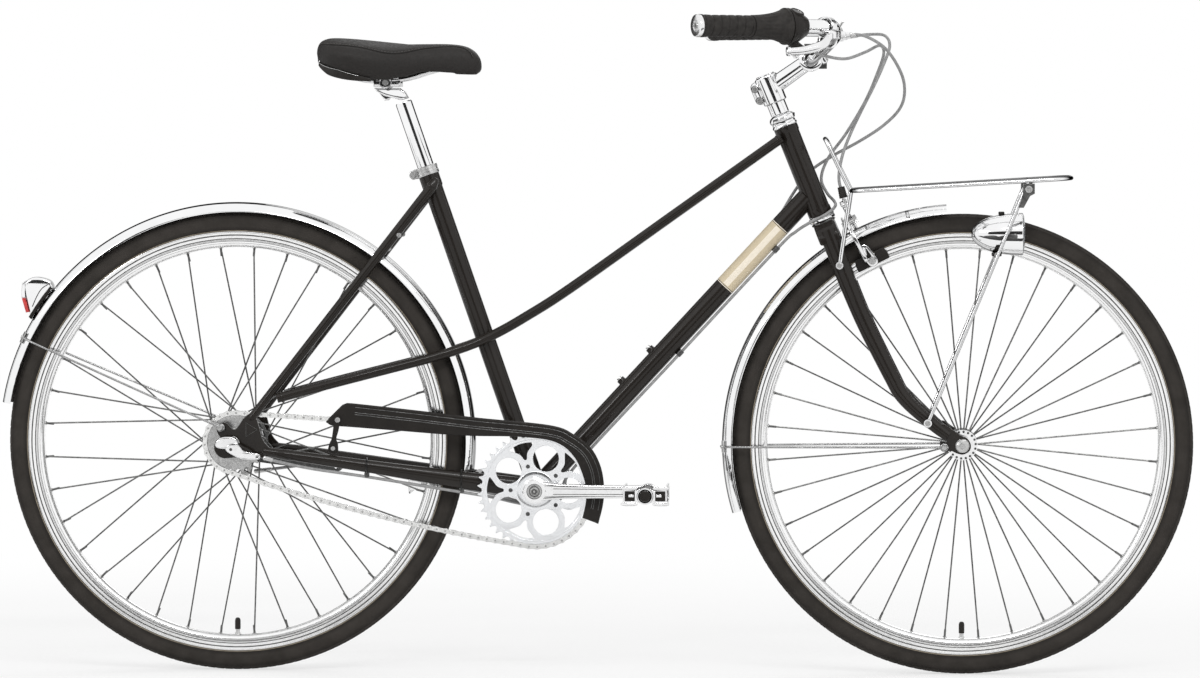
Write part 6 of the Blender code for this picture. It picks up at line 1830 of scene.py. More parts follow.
def make_stem():
    top = HEAD_HALF + 0.0205
    quill = revolve([(0.0, 0.02), (0.0105, 0.02), (0.011, 0.0205), (0.011, top), (0.014, top),
        (0.0143, top + 0.0008), (0.0143, 0.1095), (0.0172, 0.1105), (0.018, 0.1115),
        (0.018, 0.1495), (0.0172, 0.1518), (0.015, 0.153), (0.0143, 0.1532), (0.0143, 0.1542),
        (0.0135, 0.155), (0.0, 0.155)], towards(HEAD, HEAD_UP), 56)
    base = head_point(0.133)
    run = (BAR_AT - base).normalized()
    neck = sweep(smooth([base, base.lerp(BAR_AT, 0.5), BAR_AT], 8), [0.0135 - 0.0015 * k / 7
        for k in range(8)], 36)
    ears = sweep([head_point(0.1145, -0.019), head_point(0.15, -0.019)], 0.0088, 32, round_end=0.9)
    barrel = revolve(both_ways(mm((12.2, 22.2), (16, 21.2), (18, 19))), axle_frame(BAR_AT), 48,
        closed=True)
    face = block((0.036, 0.036, 0.009), towards(BAR_AT + run * 0.015, run, side=(0, 1, 0)), 0.0026)
    piece("stem_dressed", joined(quill, neck, ears, barrel, face), "chrome", "steering", ["stem"],
        HEAD, slot="alloy")
    bolts, washers = [], []
    for along in STEM_BOLTS:
        eye = head_point(along, -0.0215)
        bolts.append(socket_bolt(across(eye, -1, 0.008), 0.005, 0.004))
        bolts.append(hex_nut(across(eye, 1, 0.008), 0.0044, 0.003))
        washers.append(revolve(mm((3.4, 0), (5.6, 0), (5.8, 0.4), (5.5, 0.9), (3.4, 0.9)),
            across(eye, -1, 0.008), 28))
    piece("stem_washers", joined(*washers), "dark_steel", "steering")
    up = run.cross(Vector((0, 1, 0))).normalized()
    for y in (-0.0125, 0.0125):
        for rise in (-0.0125, 0.0125):
            spot = BAR_AT + run * 0.019 + up * rise + Vector((0, y, 0))
            bolts.append(socket_bolt(towards(spot, run), 0.0034, 0.003))
    bolts.append(revolve(mm((0, 0), (10, 0), (10.8, -0.8)), towards(head_point(0.1552), HEAD_UP),
        40))
    piece("stem_bolts", joined(*bolts), "steel", "steering")
    # A thin dark block in the gap behind the face plate: painted shade in the gap
    seam = towards(BAR_AT + run * 0.0085, (0, 0, 1), side=run)
    piece("stem_face_gap_shade", block((0.034, 0.0006, 0.0375), seam, 0.0002), "dark_steel", "steering")


def make_handlebar():
    half = [at(*p) for p in BAR]
    route = smooth(mirrored(half[:0:-1]) + half, 170)
    piece("handlebar_dressed", sweep(route, BAR_R, 32, round_end=0.4), "chrome", "steering",
        ["handlebar"], HEAD, slot="alloy")


# The spiral of the grips: turns a metre, depth, half width as a share of a turn, and its bulge
GRIP_TURNS = 7.0 / 0.0925
GRIP_DIP, GRIP_DIP_WIDTH, GRIP_BULGE = 0.0013, 0.16, 0.0003
GRIP_LENGTHS = {"right": 0.093, "left": 0.128}


def grip_surface(side, length):
    """A wrapped grip: shallow diagonal channels round a soft sleeve."""
    def warp(turn, r, h):
        if h < 0.006 or h > length - 0.004 or r < 0.013:
            return r, h
        wave = (turn / (2 * math.pi) - side * GRIP_TURNS * h) % 1.0
        edge = min(wave, 1.0 - wave)
        dip = GRIP_DIP * max(0.0, 1.0 - edge / GRIP_DIP_WIDTH) ** 1.5
        return r - dip + GRIP_BULGE * math.sin(math.pi * wave), h

    bore, rows = BAR_R + 0.0005, 150
    profile = [(bore, 0.0024), (0.012, 0.001), (0.0148, 0.0012), (0.0158, 0.0026)]
    for k in range(rows + 1):
        h = 0.0045 + (length - 0.007) * k / rows
        end_swell = 0.0012 * math.exp(-((h - 0.008) / 0.012) ** 2)
        palm_swell = 0.0004 * math.exp(-((h - 0.05) / 0.03) ** 2)
        profile.append((0.0155 + end_swell + palm_swell, h))
    profile += [(0.0158, length - 0.0016), (0.0152, length), (bore, length)]
    return revolve(profile, grip_frame(side), 72, warp)


def make_grips():
    for name, side in SIDES.items():
        piece(f"{name}_grip_sleeve", grip_surface(side, GRIP_LENGTHS[name]), "rubber", "steering",
            [f"{name}_grip"], HEAD)
        place = grip_frame(side)
        cap = revolve(mm((0, 0.8), (7, 0.8), (7.6, 0.2), (15, 0.2), (16.4, 1), (16.8, 2.6),
            (16.8, 6), (16.2, 6.8), (15, 7)), place, 48)
        piece(f"{name}_grip_cap", cap, "alloy", "steering")
        back = place @ Matrix.Rotation(math.pi, 4, "X") @ Matrix.Translation((0, 0, -0.0008))
        bolt = revolve(mm((0, 1), (4.5, 1), (5.2, 0.4), (5.4, -0.4)), back, 28)
        face = back @ Matrix.Translation((0, 0, 0.0009))
        # A dark cross on the screw's face: painted shade in its cross recess
        cross = [block((0.0062, 0.0012, 0.0006), face @ Matrix.Rotation(turn, 4, "Z"), 0.0002)
            for turn in (0.4, 0.4 + math.pi / 2)]
        piece(f"{name}_grip_screw", bolt, "steel", "steering")
        piece(f"{name}_grip_cross_shade", joined(*cross), "dark_steel", "steering")


def make_twist_grip():
    place = grip_frame(-1)
    bore = BAR_R + 0.0008
    rows = [(bore, 0.0935), (0.0156, 0.0935), (0.0163, 0.094), (0.016, 0.0952), (0.0163, 0.0964)]
    for k in range(44):
        t = k / 43
        rows.append((0.0165 + 0.0092 * t ** 2.2, 0.098 + 0.049 * t))
    rows += [(0.0268, 0.1476), (0.0273, 0.1488), (0.0273, 0.1508), (0.0264, 0.152), (bore, 0.152)]

    def ribs(turn, r, h):
        """Shallow finger ribs that fade out towards both ends."""
        if 0.099 < h < 0.138 and r > 0.014:
            fade = math.sin(math.pi * (h - 0.099) / 0.039)
            return r + 0.00035 * fade * math.cos(18 * turn), h
        return r, h

    piece("twist_grip_dressed", revolve(rows, place, 120, ribs), "rubber", "shift_twist_grip",
        ["shift_twist_grip"], on_grip(0.0, -1))
    spot = place @ Matrix.Rotation(-0.75, 4, "Z") @ Matrix.Translation((0.0236, 0, 0.1405))
    mark = block((0.003, 0.0064, 0.013), spot @ Matrix.Rotation(0.32, 4, "Y"), 0.001)
    piece("twist_grip_pointer", mark, "rubber", "shift_twist_grip")


SHIFTER_AT = 0.16
NOZZLE = ((-0.002, 0.0, -0.016), (0.006, 0.0, -0.0265), (0.018, 0.002, -0.0335),
    (0.03, 0.004, -0.0372))
DIAL_LEAN = Vector((0.006, -0.004, 0.014)).normalized()


def make_shifter_body():
    """The housing beside the twist grip, with the nozzle of its cable and a bare dial."""
    bore = BAR_R + 0.001
    housing = revolve([(bore, 0.1524), (0.0258, 0.1524), (0.027, 0.1531), (0.0272, 0.1545),
        (0.0268, 0.1585), (0.0262, 0.1592), (0.0256, 0.163), (0.0238, 0.1685), (0.0212, 0.1735),
        (0.018, 0.1785), (0.0156, 0.1822), (0.0146, 0.184), (0.0136, 0.1846),
        (bore + 0.0006, 0.1846)], grip_frame(-1), 72)
    end = on_grip(0.0, -1)
    run = (on_grip(0.1, -1) - end).normalized()
    mid = end + run * SHIFTER_AT
    route = [mid + run * along + Vector((0, y, z)) for along, y, z in NOZZLE]
    nozzle = sweep(smooth(route, 18), [0.0088 - 0.0036 * k / 17 for k in range(18)], 28, oval=1.25,
        round_end=0.5)
    window_at = mid + Vector((0.004, -0.004, 0.008))
    dial = revolve(mm((11, 0), (11, 15), (10.4, 16.2), (9.2, 16.8), (9, 16), (0, 15.8)),
        towards(window_at, DIAL_LEAN), 44)
    piece("shifter_body", joined(housing, nozzle, dial), "plastic", "steering",
        ["shifter_housing"], HEAD)
    top = towards(window_at + DIAL_LEAN * 0.0161, DIAL_LEAN, side=run)
    face = revolve(mm((0, 0), (8, 0), (8, -0.4)), top, 36)
    piece("shifter_dial", face, "plastic", "steering")
    dots = []
    for turn in (-0.8, 0.0, 0.8):
        spot = top @ Matrix.Rotation(turn, 4, "Z") @ Matrix.Translation((0.0052, 0, 0.0))
        dots.append(revolve(mm((0, 0.25), (0.9, 0.2), (1, 0)), spot, 12))
    piece("shifter_dots", joined(*dots), "white", "steering", slot="plastic")
    tip = route[-1]
    boot = sweep([tip - run * 0.003 + Vector((0, 0, 0.001)), tip + run * 0.007
        + Vector((0.002, 0.001, -0.003))], [0.004, 0.0031], 20, round_end=0.8)
    piece("shifter_boot", boot, "rubber", "steering")


def make_shifter():
    make_twist_grip()
    make_shifter_body()


LEVER_PIVOT = (0.8935, 0.192, 0.957)
LEVER_TIP = (0.832, 0.242, 0.933)
LEVER_HEIGHT = 1.2
BRACKET = mm((-18, -6), (-14, 7.2), (0, 7.8), (12, 6), (18.5, 2), (18, -5.2), (4, -8))


def barrel_ribs(turn, r, h):
    """Fine knurls on the cable adjuster's wheel."""
    return (r * (1 + 0.05 * math.cos(12 * turn)), h) if 0.0134 < h < 0.0208 else (r, h)


def make_brake_bracket(name, side):
    mid = at(0.89, side * 0.169, 0.969)
    run = (at(0.882, side * 0.178, 0.9695) - at(0.898, side * 0.156, 0.967)).normalized()
    ring = revolve(both_ways(mm((12.5, 6), (14.8, 6), (15.8, 5.2))), towards(mid, run), 44,
        closed=True)
    place = towards(at(0.899, side * 0.18, 0.958), (0, 0, 1), side=(-0.45, side * 1.0, 0))
    body = slab(rounded(BRACKET, 50), 0.013, place, bevel=0.0026, fine=True)
    start, end = at(0.898, side * 0.174, 0.958), at(0.923, side * 0.16, 0.959)
    barrel = revolve(mm((0, 0), (4.4, 0), (4.4, 10), (3.4, 10.8), (3.4, 12.8), (4.6, 13.6),
        (4.6, 20.6), (4, 21.4), (3.2, 22.2), (3.2, 28.4), (0, 28.6)), towards(start, end - start),
        40, barrel_ribs)
    piece(f"{name}_brake_body", joined(ring, body, barrel), "alloy", "steering",
        [f"{name}_brake_bracket"], HEAD)
    clamp_bolt = towards(mid + Vector((0.015, side * -0.002, -0.003)), (1, -0.2 * side, -0.15))
    pin = revolve(both_ways(mm((0, 7.2), (2.8, 7), (3.4, 6.2))), towards(at(0.8945, side * 0.1895,
        0.9575), (0, 0, 1)), 24)
    piece(f"{name}_brake_screws", joined(socket_bolt(clamp_bolt, 0.0034, 0.0028), pin), "steel",
        "steering")


def make_brake_blade(name, side):
    pivot = at(LEVER_PIVOT[0], side * LEVER_PIVOT[1], LEVER_PIVOT[2])
    tip = at(LEVER_TIP[0], side * LEVER_TIP[1], LEVER_TIP[2])
    first = pivot + Vector((0.001, side * 0.01, -0.004))
    route = smooth([first, first.lerp(tip, 0.3) + Vector((0.008, side * 0.004, -0.005)),
        first.lerp(tip, 0.65) + Vector((0.005, side * 0.003, -0.005)), tip], 48)
    radii = []
    for k in range(48):
        t = k / 47
        radii.append(0.0064 - 0.0016 * t ** 0.8 + 0.0012 * max(0.0, (t - 0.93) / 0.07))
    points, faces = sweep(route, radii, 26, round_end=1.0)
    taller = []
    for p in points:
        near = min(route, key=lambda q: (q - p).length)
        taller.append(Vector((p.x, p.y, near.z + (p.z - near.z) * LEVER_HEIGHT)))
    knuckle = revolve(both_ways(mm((0, 5.2), (5.4, 5), (6.4, 4.2))), towards(pivot
        + Vector((0.0004, side * 0.006, -0.002)), (0, 0, 1)), 32)
    piece(f"{name}_brake_blade", joined((taller, faces), knuckle), "alloy", f"{name}_brake_lever",
        [f"{name}_brake_lever"], pivot)


def make_brake_levers():
    for name, side in SIDES.items():
        make_brake_bracket(name, side)
        make_brake_blade(name, side)


THUMB_ARM = mm((-2.2, -4), (2.2, -4), (2.4, 4), (7, 12), (9.2, 14.6), (6.6, 15.8), (3, 12), (-2, 7))


def make_bell():
    base = at(0.8908, -0.106, 0.9508)
    run = (at(0.8985, -0.128, 0.96) - at(0.886, -0.092, 0.945)).normalized()
    clamp = revolve(both_ways(mm((12.2, 4), (14, 4), (14.5, 3.4))), towards(base, run), 40,
        closed=True)
    up = Vector((-0.25, 0.05, 1.0)).normalized()
    dome_at = base + up * 0.02
    place = towards(dome_at, up)
    dome = revolve(mm((0, 15), (3, 14.9), (3.4, 14.4), (6, 14.1), (9.5, 12.6), (12.5, 10.3),
        (14.7, 7.4), (16, 4.2), (16.8, 0.8), (16.6, 0), (15.8, 0.6), (13.5, 7.8), (0, 12.4)), place,
        60)
    post = rod(base + up * 0.0125, dome_at + up * 0.0125, 0.0034, 20)
    plate = revolve(mm((0, -3), (12, -3), (12.6, -2.4), (12, -1.6), (0, -1.6)), place, 40)
    piece("bell_dressed", joined(clamp, post, dome, plate), "chrome", "steering", ["bell"], HEAD)
    # Two dark rings on the chrome dome: painted reflections of dark surroundings
    dark_reflection_rings = [revolve(mm((14.8, 7.5), (15.7, 6), (16.2, 4.2)), place, 60),
        revolve([(0.007, 0.0139), (0.0098, 0.0126)], place, 60)]
    piece("bell_dark_reflections", joined(*dark_reflection_rings), "dark_steel", "steering")
    pivot = dome_at + Vector((0.0205, 0, -0.007))
    arm = slab(rounded(THUMB_ARM, 40), 0.0048, Matrix.Translation(pivot) @ SIDE_VIEW, bevel=0.0008)
    piece("bell_thumb_arm", arm, "steel", "bell_striker", ["bell_striker"], pivot)


# Rack, lamps and the front brake
DECK_REAR, DECK_FRONT, DECK_Z, DECK_RISE = 0.925, 1.254, 0.7265, 0.02
ROD_R = 0.003
# The deck's left edge from the back to the front, and the hoop behind it, from its foot to its top
DECK_EDGE = mm((925, 0), (925, 40), (926.5, 55), (933, 68), (948, 77.5), (1000, 82.3), (1080, 88.7),
    (1160, 94.5), (1205, 95), (1229, 92.5), (1245.5, 80), (1253, 62), (1254, 40), (1254, 0))
HOOP = mm((905, 50, 766), (891, 47, 795.5), (886.8, 40, 803), (886, 28, 804), (886, 0, 804))
CLAMP_PLATE = mm((-8.8, -4), (8.8, -4), (8.8, -19), (2, -22.5), (-7.5, -40), (-15, -40), (-8.8,
    -19))


def deck(x, y, lift=0.0):
    """A point of the rack's deck, which rises towards the front."""
    part = (x - DECK_REAR) / (DECK_FRONT - DECK_REAR)
    return at(x, y, DECK_Z + DECK_RISE * part + lift)


def straight_rod(start, end, radius=ROD_R, sides=16):
    return sweep([start, end], radius, sides, round_end=0.8)


def rack_deck():
    edge = [deck(x, y) for x, y in DECK_EDGE]
    rods = [sweep(smooth(edge + mirrored(edge[-2:0:-1]), 170, True), 0.0031, 18, closed=True)]
    for y in (-0.03, 0.03):
        rods.append(straight_rod(deck(DECK_REAR, y), deck(DECK_FRONT, y)))
    for x, half in ((1.0, 0.0823), (1.085, 0.0891), (1.19, 0.0949)):
        rods.append(straight_rod(deck(x, -half, -0.0005), deck(x, half, -0.0005)))
    hoop = [deck(DECK_REAR, 0.052)] + [at(*p) for p in HOOP]
    rods.append(sweep(smooth(hoop + mirrored(hoop[-2::-1]), 90), ROD_R, 18, round_end=0.8))
    return rods


def rack_legs():
    """The rear legs and the long struts, each ending in a washer."""
    rods = []
    for side in (-1, 1):
        rods.append(straight_rod(deck(DECK_REAR, side * 0.052), at(0.909, side * 0.0562, 0.615),
            0.0032, 18))
        rods.append(straight_rod(deck(1.19, side * 0.0945), at(1.0415, side * 0.0665, 0.38), 0.0028,
            18))
        for spot, y, bore, outer, chamfer, thick in ((RACK_FOOT, 0.0672, 0.0022, 0.006, 0.0064,
            0.0036),
                                                     (RACK_KNEE, 0.0568, 0.002, 0.0056, 0.0058,
                                                         0.0032)):
            ring = [(bore, 0.0), (outer, 0.0), (chamfer, 0.0006), (chamfer, thick - 0.0006),
                (outer, thick), (bore, thick)]
            rods.append(revolve(ring, across(spot, side, y), 28, closed=True))
    return rods


def make_rack():
    piece("rack_rods", joined(*rack_deck(), *rack_legs()), "wire", "steering", ["front_rack"], HEAD)
    bolts, plates = [], []
    high = deck(1.19, 0.0945)
    shape = [(high.x - REAR_AXLE_X + x, high.z + z) for x, z in CLAMP_PLATE]
    for side in (-1, 1):
        plates.append(side_slab(shape, side * (high.y - 0.0036), side * (high.y + 0.0038),
            bevel=0.001, fine=True))
        spot = across(high + Vector((0, 0, -0.0125)), side, high.y + 0.0038)
        bolts.append(socket_bolt(spot, 0.0052, 0.0026))
    piece("rack_clamp_plates", joined(*plates), "spoke", "steering")
    piece("rack_clamps", joined(*bolts), "steel", "steering")


LAMP_AT = at(1.146, -0.052, 0.6625)
LAMP_SHELL = mm((0, -41), (5, -40.3), (10.5, -37.4), (16.5, -31.2), (21.5, -23.2), (25.8, -13),
    (28.8, -1), (30.5, 11), (31.2, 22), (31.3, 29.6), (31.7, 30.2), (31.7, 35), (31.2, 36),
    (30.2, 36), (28, 20), (0, 10))
LAMP_LENS = mm((0, 39.8), (10, 39.5), (20, 38.8), (27, 37.8), (30.2, 36.6), (30.8, 35.8),
    (30.2, 35), (0, 36.5))
LAMP_BULB = mm((0, 30), (2, 29.8), (3.2, 28), (3.4, 20), (0, 15))


def lamp_slots():
    """The dark teardrops along the lamp's sides."""
    slots = []
    parts = [k / 21 for k in range(22)]
    for side in (-1, 1):
        row = []
        for part in parts:
            h = -0.022 + 0.05 * part
            r = 0.0222 + (0.0312 - 0.0222) * min(1.0, (h + 0.022) / 0.045) ** 0.6
            row.append(LAMP_AT + Vector((h, side * (r + 0.0001), -0.003)))
        wide = [0.0007 + 0.0036 * part ** 0.8 for part in parts]
        slots.append(sweep(row, wide, 14, oval=0.25, round_end=0.8))
    return joined(*slots)


def make_headlamp():
    place = towards(LAMP_AT, (1, 0, 0), side=(0, 0, 1))
    piece("headlamp_shell", revolve(LAMP_SHELL, place, 72), "chrome", "steering",
        ["headlamp_housing"], HEAD)
    piece("headlamp_glass", revolve(LAMP_LENS, place, 60), "clear", "steering", ["headlamp_lens"],
        HEAD)
    piece("headlamp_bulb", revolve(LAMP_BULB, place, 24), "white", "steering")
    piece("headlamp_side_slot", lamp_slots(), "dark_steel", "steering")
    mount = [block((0.009, 0.011, 0.005), LAMP_AT + Vector((0.004, 0, 0.0312)), 0.0014),
        block((0.015, 0.013, 0.006), LAMP_AT + Vector((-0.003, -0.004, -0.03)), 0.0016),
        block((0.012, 0.036, 0.004), at(1.143, -0.064, 0.6318), 0.0012)]
    piece("headlamp_mount", joined(*mount), "plastic", "steering")
    below = towards(LAMP_AT + Vector((-0.003, -0.009, -0.0325)), (0, -0.25, -1))
    bolts = [socket_bolt(below, 0.0036, 0.0036), socket_bolt(across(at(1.1435, 0, 0.6318), -1,
        0.0818), 0.004, 0.0028), hex_nut(towards(at(1.143, -0.056, 0.63), (0, 0, -1)), 0.0044,
        0.0036)]
    piece("headlamp_bolts", joined(*bolts), "steel", "steering")


def guard_arc(angle, radius):
    """A point round the rear axle in the side view."""
    x, z = polar(angle, radius)
    return x, AXLE_Z + z


def make_rear_lamp():
    base = [guard_arc(a, 0.3616) for a in (149.6, 146.5, 143.5, 140.6)]
    outline = base + mm((-285, 588), (-305, 593), (-320, 586), (-321, 570), (-314.5, 540))
    shell = side_slab(rounded(outline, 90), -0.014, 0.014, bevel=0.004, fine=True)
    piece("rear_lamp_shell", shell, "chrome", "frame", ["rear_lamp_housing"])
    foot = base + [guard_arc(a, 0.3668) for a in (140.4, 143.5, 146.5, 149.4)]
    strip = side_slab(foot, -0.0152, 0.0152, bevel=0.0012)
    lines = []
    row = smooth(mm((-310, 0, 548), (-303, 0, 564), (-295, 0, 576), (-283, 0, 583.5)), 24)
    for side in (-1, 1):
        lines.append(sweep([at(p.x, side * 0.014, p.z) for p in row], 0.0007, 8, round_end=1.0))
    piece("rear_lamp_base", joined(strip, *lines), "plastic", "frame")
    lens = side_slab(mm((-326.4, 561), (-320, 539), (-315, 540), (-320.4, 561)), -0.0132, 0.0132,
        bevel=0.0014, fine=True)
    piece("rear_lamp_glass", lens, "red", "frame", ["rear_lamp_lens"])
    cover = side_slab(mm((-320.4, 587), (-325.6, 583.6), (-327, 572), (-326.5, 561.3),
        (-320.5, 561.3), (-321.4, 570)), -0.0132, 0.0132, bevel=0.0014, fine=True)
    piece("rear_lamp_upper", cover, "chrome", "frame")


CALIPER_PIVOT = (0.911, 0.672)
CALIPER_DOWN = Vector((0.46, 0, -0.888)).normalized()
CALIPER_FORE = Vector((0.888, 0, 0.46)).normalized()


def caliper_point(y, down, fore):
    """A point from the brake's bolt: sideways, down along the fork, and ahead of it."""
    return at(CALIPER_PIVOT[0], y, CALIPER_PIVOT[1]) + CALIPER_DOWN * down + CALIPER_FORE * fore


def caliper_slab(outline, fore_from, fore_to, bevel):
    """A plate in the caliper's plane, its outline given as (y, distance down)."""
    middle = caliper_point(0, 0, (fore_from + fore_to) / 2)
    turn = Matrix((Vector((0, 1, 0)), CALIPER_DOWN, Vector((0, 1, 0)).cross(CALIPER_DOWN)))
    place = Matrix.Translation(middle) @ turn.transposed().to_4x4()
    return slab(rounded(outline, 90), abs(fore_to - fore_from), place, bevel=bevel, fine=True)


def lozenge(ends, radius):
    """A long round-ended outline around two points, as (x, z) from the rear axle and the ground."""
    a, b = (Vector((p.x - REAR_AXLE_X, p.z)) for p in ends)
    along = (b - a).normalized()
    turn = math.atan2(along.y, along.x)
    outline = []
    for centre, start in ((b, turn - math.pi / 2), (a, turn + math.pi / 2)):
        for k in range(13):
            spot = start + math.pi * k / 12
            outline.append((centre.x + radius * math.cos(spot), centre.y + radius * math.sin(spot)))
    return outline


# Each brake arm: its outline as (sideways, down), the front and back of its layer and its pivot
CALIPER_ARMS = (
    ("right", -1,
     mm((8, -7), (8, 7), (-12, 10), (-25, 16), (-31, 30), (-30, 60), (-39, 60), (-42, 26), (-33, 4),
        (-16, -6)),
     (0.0075, 0.0135), (0.0, 0.0)),
    ("left", 1,
     mm((16, -12), (28, -12), (38, 4), (42, 26), (39, 60), (30, 60), (31, 30), (26, 14), (14, 4),
        (-15, -20), (-15, -32), (-5, -32)),
     (0.0145, 0.0205), (0.022, -0.003)),
)
PAD_BOLT = (0.9575, 0.0185, 0.6216)


def make_brake_bridge():
    plate = mm((-10, -6), (26, -12), (30, -2), (24, 6), (-8, 8))
    bridge = joined(rod(caliper_point(0, 0, 0.0015), caliper_point(0, 0, 0.0245), 0.004, 24),
        caliper_slab(plate, 0.004, 0.007, 0.0008), rod(caliper_point(0.022, -0.003, 0.005),
        caliper_point(0.022, -0.003, 0.0245), 0.003, 20), hex_nut(towards(caliper_point(0, 0,
        0.0212), CALIPER_FORE), 0.0062, 0.005), hex_nut(towards(caliper_point(0.022, -0.003,
        0.0212), CALIPER_FORE), 0.005, 0.0044))
    piece("brake_bridge_dressed", bridge, "steel", "steering", ["brake_bridge"], caliper_point(0,
        0, 0.002))


def make_brake_pad(name, side, body, radial):
    """The ribbed pad beside the rim, along its curve, in its shoe."""
    tangent = Vector((radial.z, 0, -radial.x))
    turn = Matrix((tangent, Vector((0, 1, 0)), radial)).transposed().to_4x4()
    centre = FRONT_AXLE + radial * 0.3065 + Vector((0, side * 0.018, 0))

    def rib(size, along, up, aside, bevel):
        spot = centre + tangent * along + radial * up + Vector((0, side * aside, 0))
        return block(size, Matrix.Translation(spot) @ turn, bevel)

    ribs = [rib((0.046, 0.005, 0.0098), 0.0, 0.0, -0.0002, 0.001)]
    ribs += [rib((0.0105, 0.002, 0.0098), 0.015 * k, 0.0, -0.0022, 0.0005) for k in (-1, 0, 1)]
    ribs += [rib((0.017, 0.0034, 0.01), 0.016 * k, 0.007, 0.0042, 0.0014) for k in (-1, 1)]
    ribs.append(rib((0.052, 0.0046, 0.0134), 0.0, 0.0, 0.0034, 0.0018))
    piece(f"{name}_brake_pad", joined(*ribs), "plastic", body, slot="rubber")


def make_caliper_arm(name, side, outline, layer, pivot_at):
    body = f"{name}_caliper_arm"
    bolt = at(PAD_BOLT[0], side * PAD_BOLT[1], PAD_BOLT[2])

    def beside(x, y, z):
        return bolt + Vector((x, side * y, z))

    holder = sweep([caliper_point(side * 0.0345, 0.056, layer[1] - 0.002),
        beside(-0.015, 0.0105, 0.0195)], 0.0044, 22, round_end=0.9)
    reach = rod(beside(0, 0.011, 0), bolt, 0.004, 22)
    ends = [beside(0.0006, 0, -0.0008), beside(-0.012, 0, 0.0158)]
    slot = [beside(-0.005, 0, 0.0064), beside(-0.0112, 0, 0.0148)]
    plate = side_slab(lozenge(ends, 0.008), side * 0.0305, side * 0.0277, [lozenge(slot, 0.0036)],
        0.0008)
    arm = joined(caliper_slab(outline, *layer, 0.0016), holder, reach, plate)
    piece(f"{name}_caliper_dressed", arm, "alloy", body, [body], caliper_point(*pivot_at, 0.0))
    # A dark plate just behind the slot: painted shade seen through it
    dark = side_slab(lozenge(slot, 0.0042), side * 0.0274, side * 0.0262, (), 0.0002)
    piece(f"{name}_slot_shade", dark, "plastic", body, slot="rubber")
    washer = revolve(mm((0, 0), (5.8, 0), (5.8, 1.2), (0, 1.2)), across(bolt, side, 0.031), 28)
    nut = hex_nut(across(bolt, side, 0.0322), 0.0044, 0.004)
    piece(f"{name}_pad_nut", joined(nut, washer), "steel", body)
    radial = Vector((bolt.x - FRONT_AXLE.x, 0, bolt.z - FRONT_AXLE.z)).normalized()
    make_brake_pad(name, side, body, radial)


def make_caliper():
    make_brake_bridge()
    for arm in CALIPER_ARMS:
        make_caliper_arm(*arm)


# Cables
REAR_BRAKE = mm((923.4, -159.7, 959), (948, -147, 956), (978, -120, 937), (1000, -85, 902),
    (1005, -55, 873), (997, -25, 848), (972, 5, 823), (937, 28, 800), (897, 39, 778),
    (862, 40, 754), (840, 33, 725), (815, 24, 684), (770, 20.5, 619), (640, 20.5, 478),
    (520, 20.5, 347.8), (498, 18, 300), (490, 12, 262), (462, 10, 248.5), (425, 18, 255),
    (385, 33, 265), (320, 43, 276), (200, 59, 296), (120, 62, 308), (70, 60, 303), (18, 60.5, 296))
SHIFT = mm((870, -175, 933), (888, -168, 927), (918, -155, 923), (947, -135, 933), (968, -108, 943),
    (974, -80, 931), (964, -45, 901), (946, -10, 860), (918, 15, 813), (890, 26, 774),
    (880, 23, 744), (889, 17, 722), (900, 6, 710), (901, -13, 702), (888, -26.5, 691),
    (865, -26.5, 679), (842, -13, 664), (813, -6, 637), (669, -6, 481), (510, -6, 308.5),
    (493, -8, 270), (466, -10, 248.5), (425, -18, 255), (385, -33, 265), (320, -43, 276),
    (200, -59, 296), (120, -68, 308), (75, -82, 318), (48, -95.5, 326))
FRONT_BRAKE = mm((923.4, 159.7, 959), (950, 144, 962), (974, 115, 960), (982, 85, 944),
    (973, 60, 916), (958, 42, 882), (939, 26, 844), (922, 12, 807), (911, 0, 775), (907, -8, 744),
    (913, -10, 720))


# The cables that run from the steering to the frame, and where the bend of each starts and ends
LOOSE_CABLES = (
    ("rear_brake_cable", REAR_BRAKE, (0.93, 0.03, 0.797), (0.84, 0.033, 0.725)),
    ("shift_cable", SHIFT, (0.946, -0.01, 0.86), (0.842, -0.013, 0.664)),
)


def housing(route, count):
    return sweep(smooth([at(*p) for p in route], count), CABLE_R, 14, round_end=0.6)


def ferrule(end, inner, length, radii):
    """A sleeve on a cable's end, over a share of the way to the route's next point."""
    a, b = at(*end), at(*inner)
    return sweep([a, a.lerp(b, length)], radii, 20, round_end=0.8)


def make_brake_boot(low, down):
    """The ribbed rubber boot where the front brake's cable ends."""
    profile = [(0.0, 0.0)]
    for k in range(25):
        part = k / 24
        rib = 0.0005 if k % 4 < 2 else 0.0
        profile.append((0.005 + 0.001 * part + rib, 0.0165 * part))
    profile.append((0.0, 0.0165))
    piece("front_brake_boot", revolve(profile, towards(low - down * 0.012, down), 28), "rubber",
        "steering")


def make_cables():
    for name, route, start, end in LOOSE_CABLES:
        made = piece(f"{name}_housing", housing(route, 420), "cable", None, [name])
        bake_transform(made)
    piece("front_brake_housing", housing(FRONT_BRAKE, 160), "cable", "steering",
        ["front_brake_cable"])
    front = [ferrule(route[0], route[1], 0.4, [0.0033, 0.0029]) for route in (REAR_BRAKE,
        FRONT_BRAKE)]
    piece("cable_ferrules_front", joined(*front), "steel", "steering")
    rear = [ferrule(route[-1], route[-2], 0.55, [size, size * 0.85]) for route,
        size in ((SHIFT, 0.0034), (REAR_BRAKE, 0.0036))]
    piece("cable_ferrules_rear", joined(*rear), "steel", "frame")
    low = at(*FRONT_BRAKE[-1])
    down = (low - at(*FRONT_BRAKE[-2])).normalized()
    make_brake_boot(low, down)
    tail = caliper_point(-0.01, -0.03, 0.0175)
    barrel = rod(tail - CALIPER_FORE * 0.004, tail + CALIPER_FORE * 0.004, 0.004, 20)
    sleeve = sweep([low + down * 0.006, low + down * 0.014], 0.0032, 18, round_end=0.5)
    piece("front_brake_link", joined(rod(low, tail, 0.001, 12), barrel, sleeve), "steel",
        "steering")


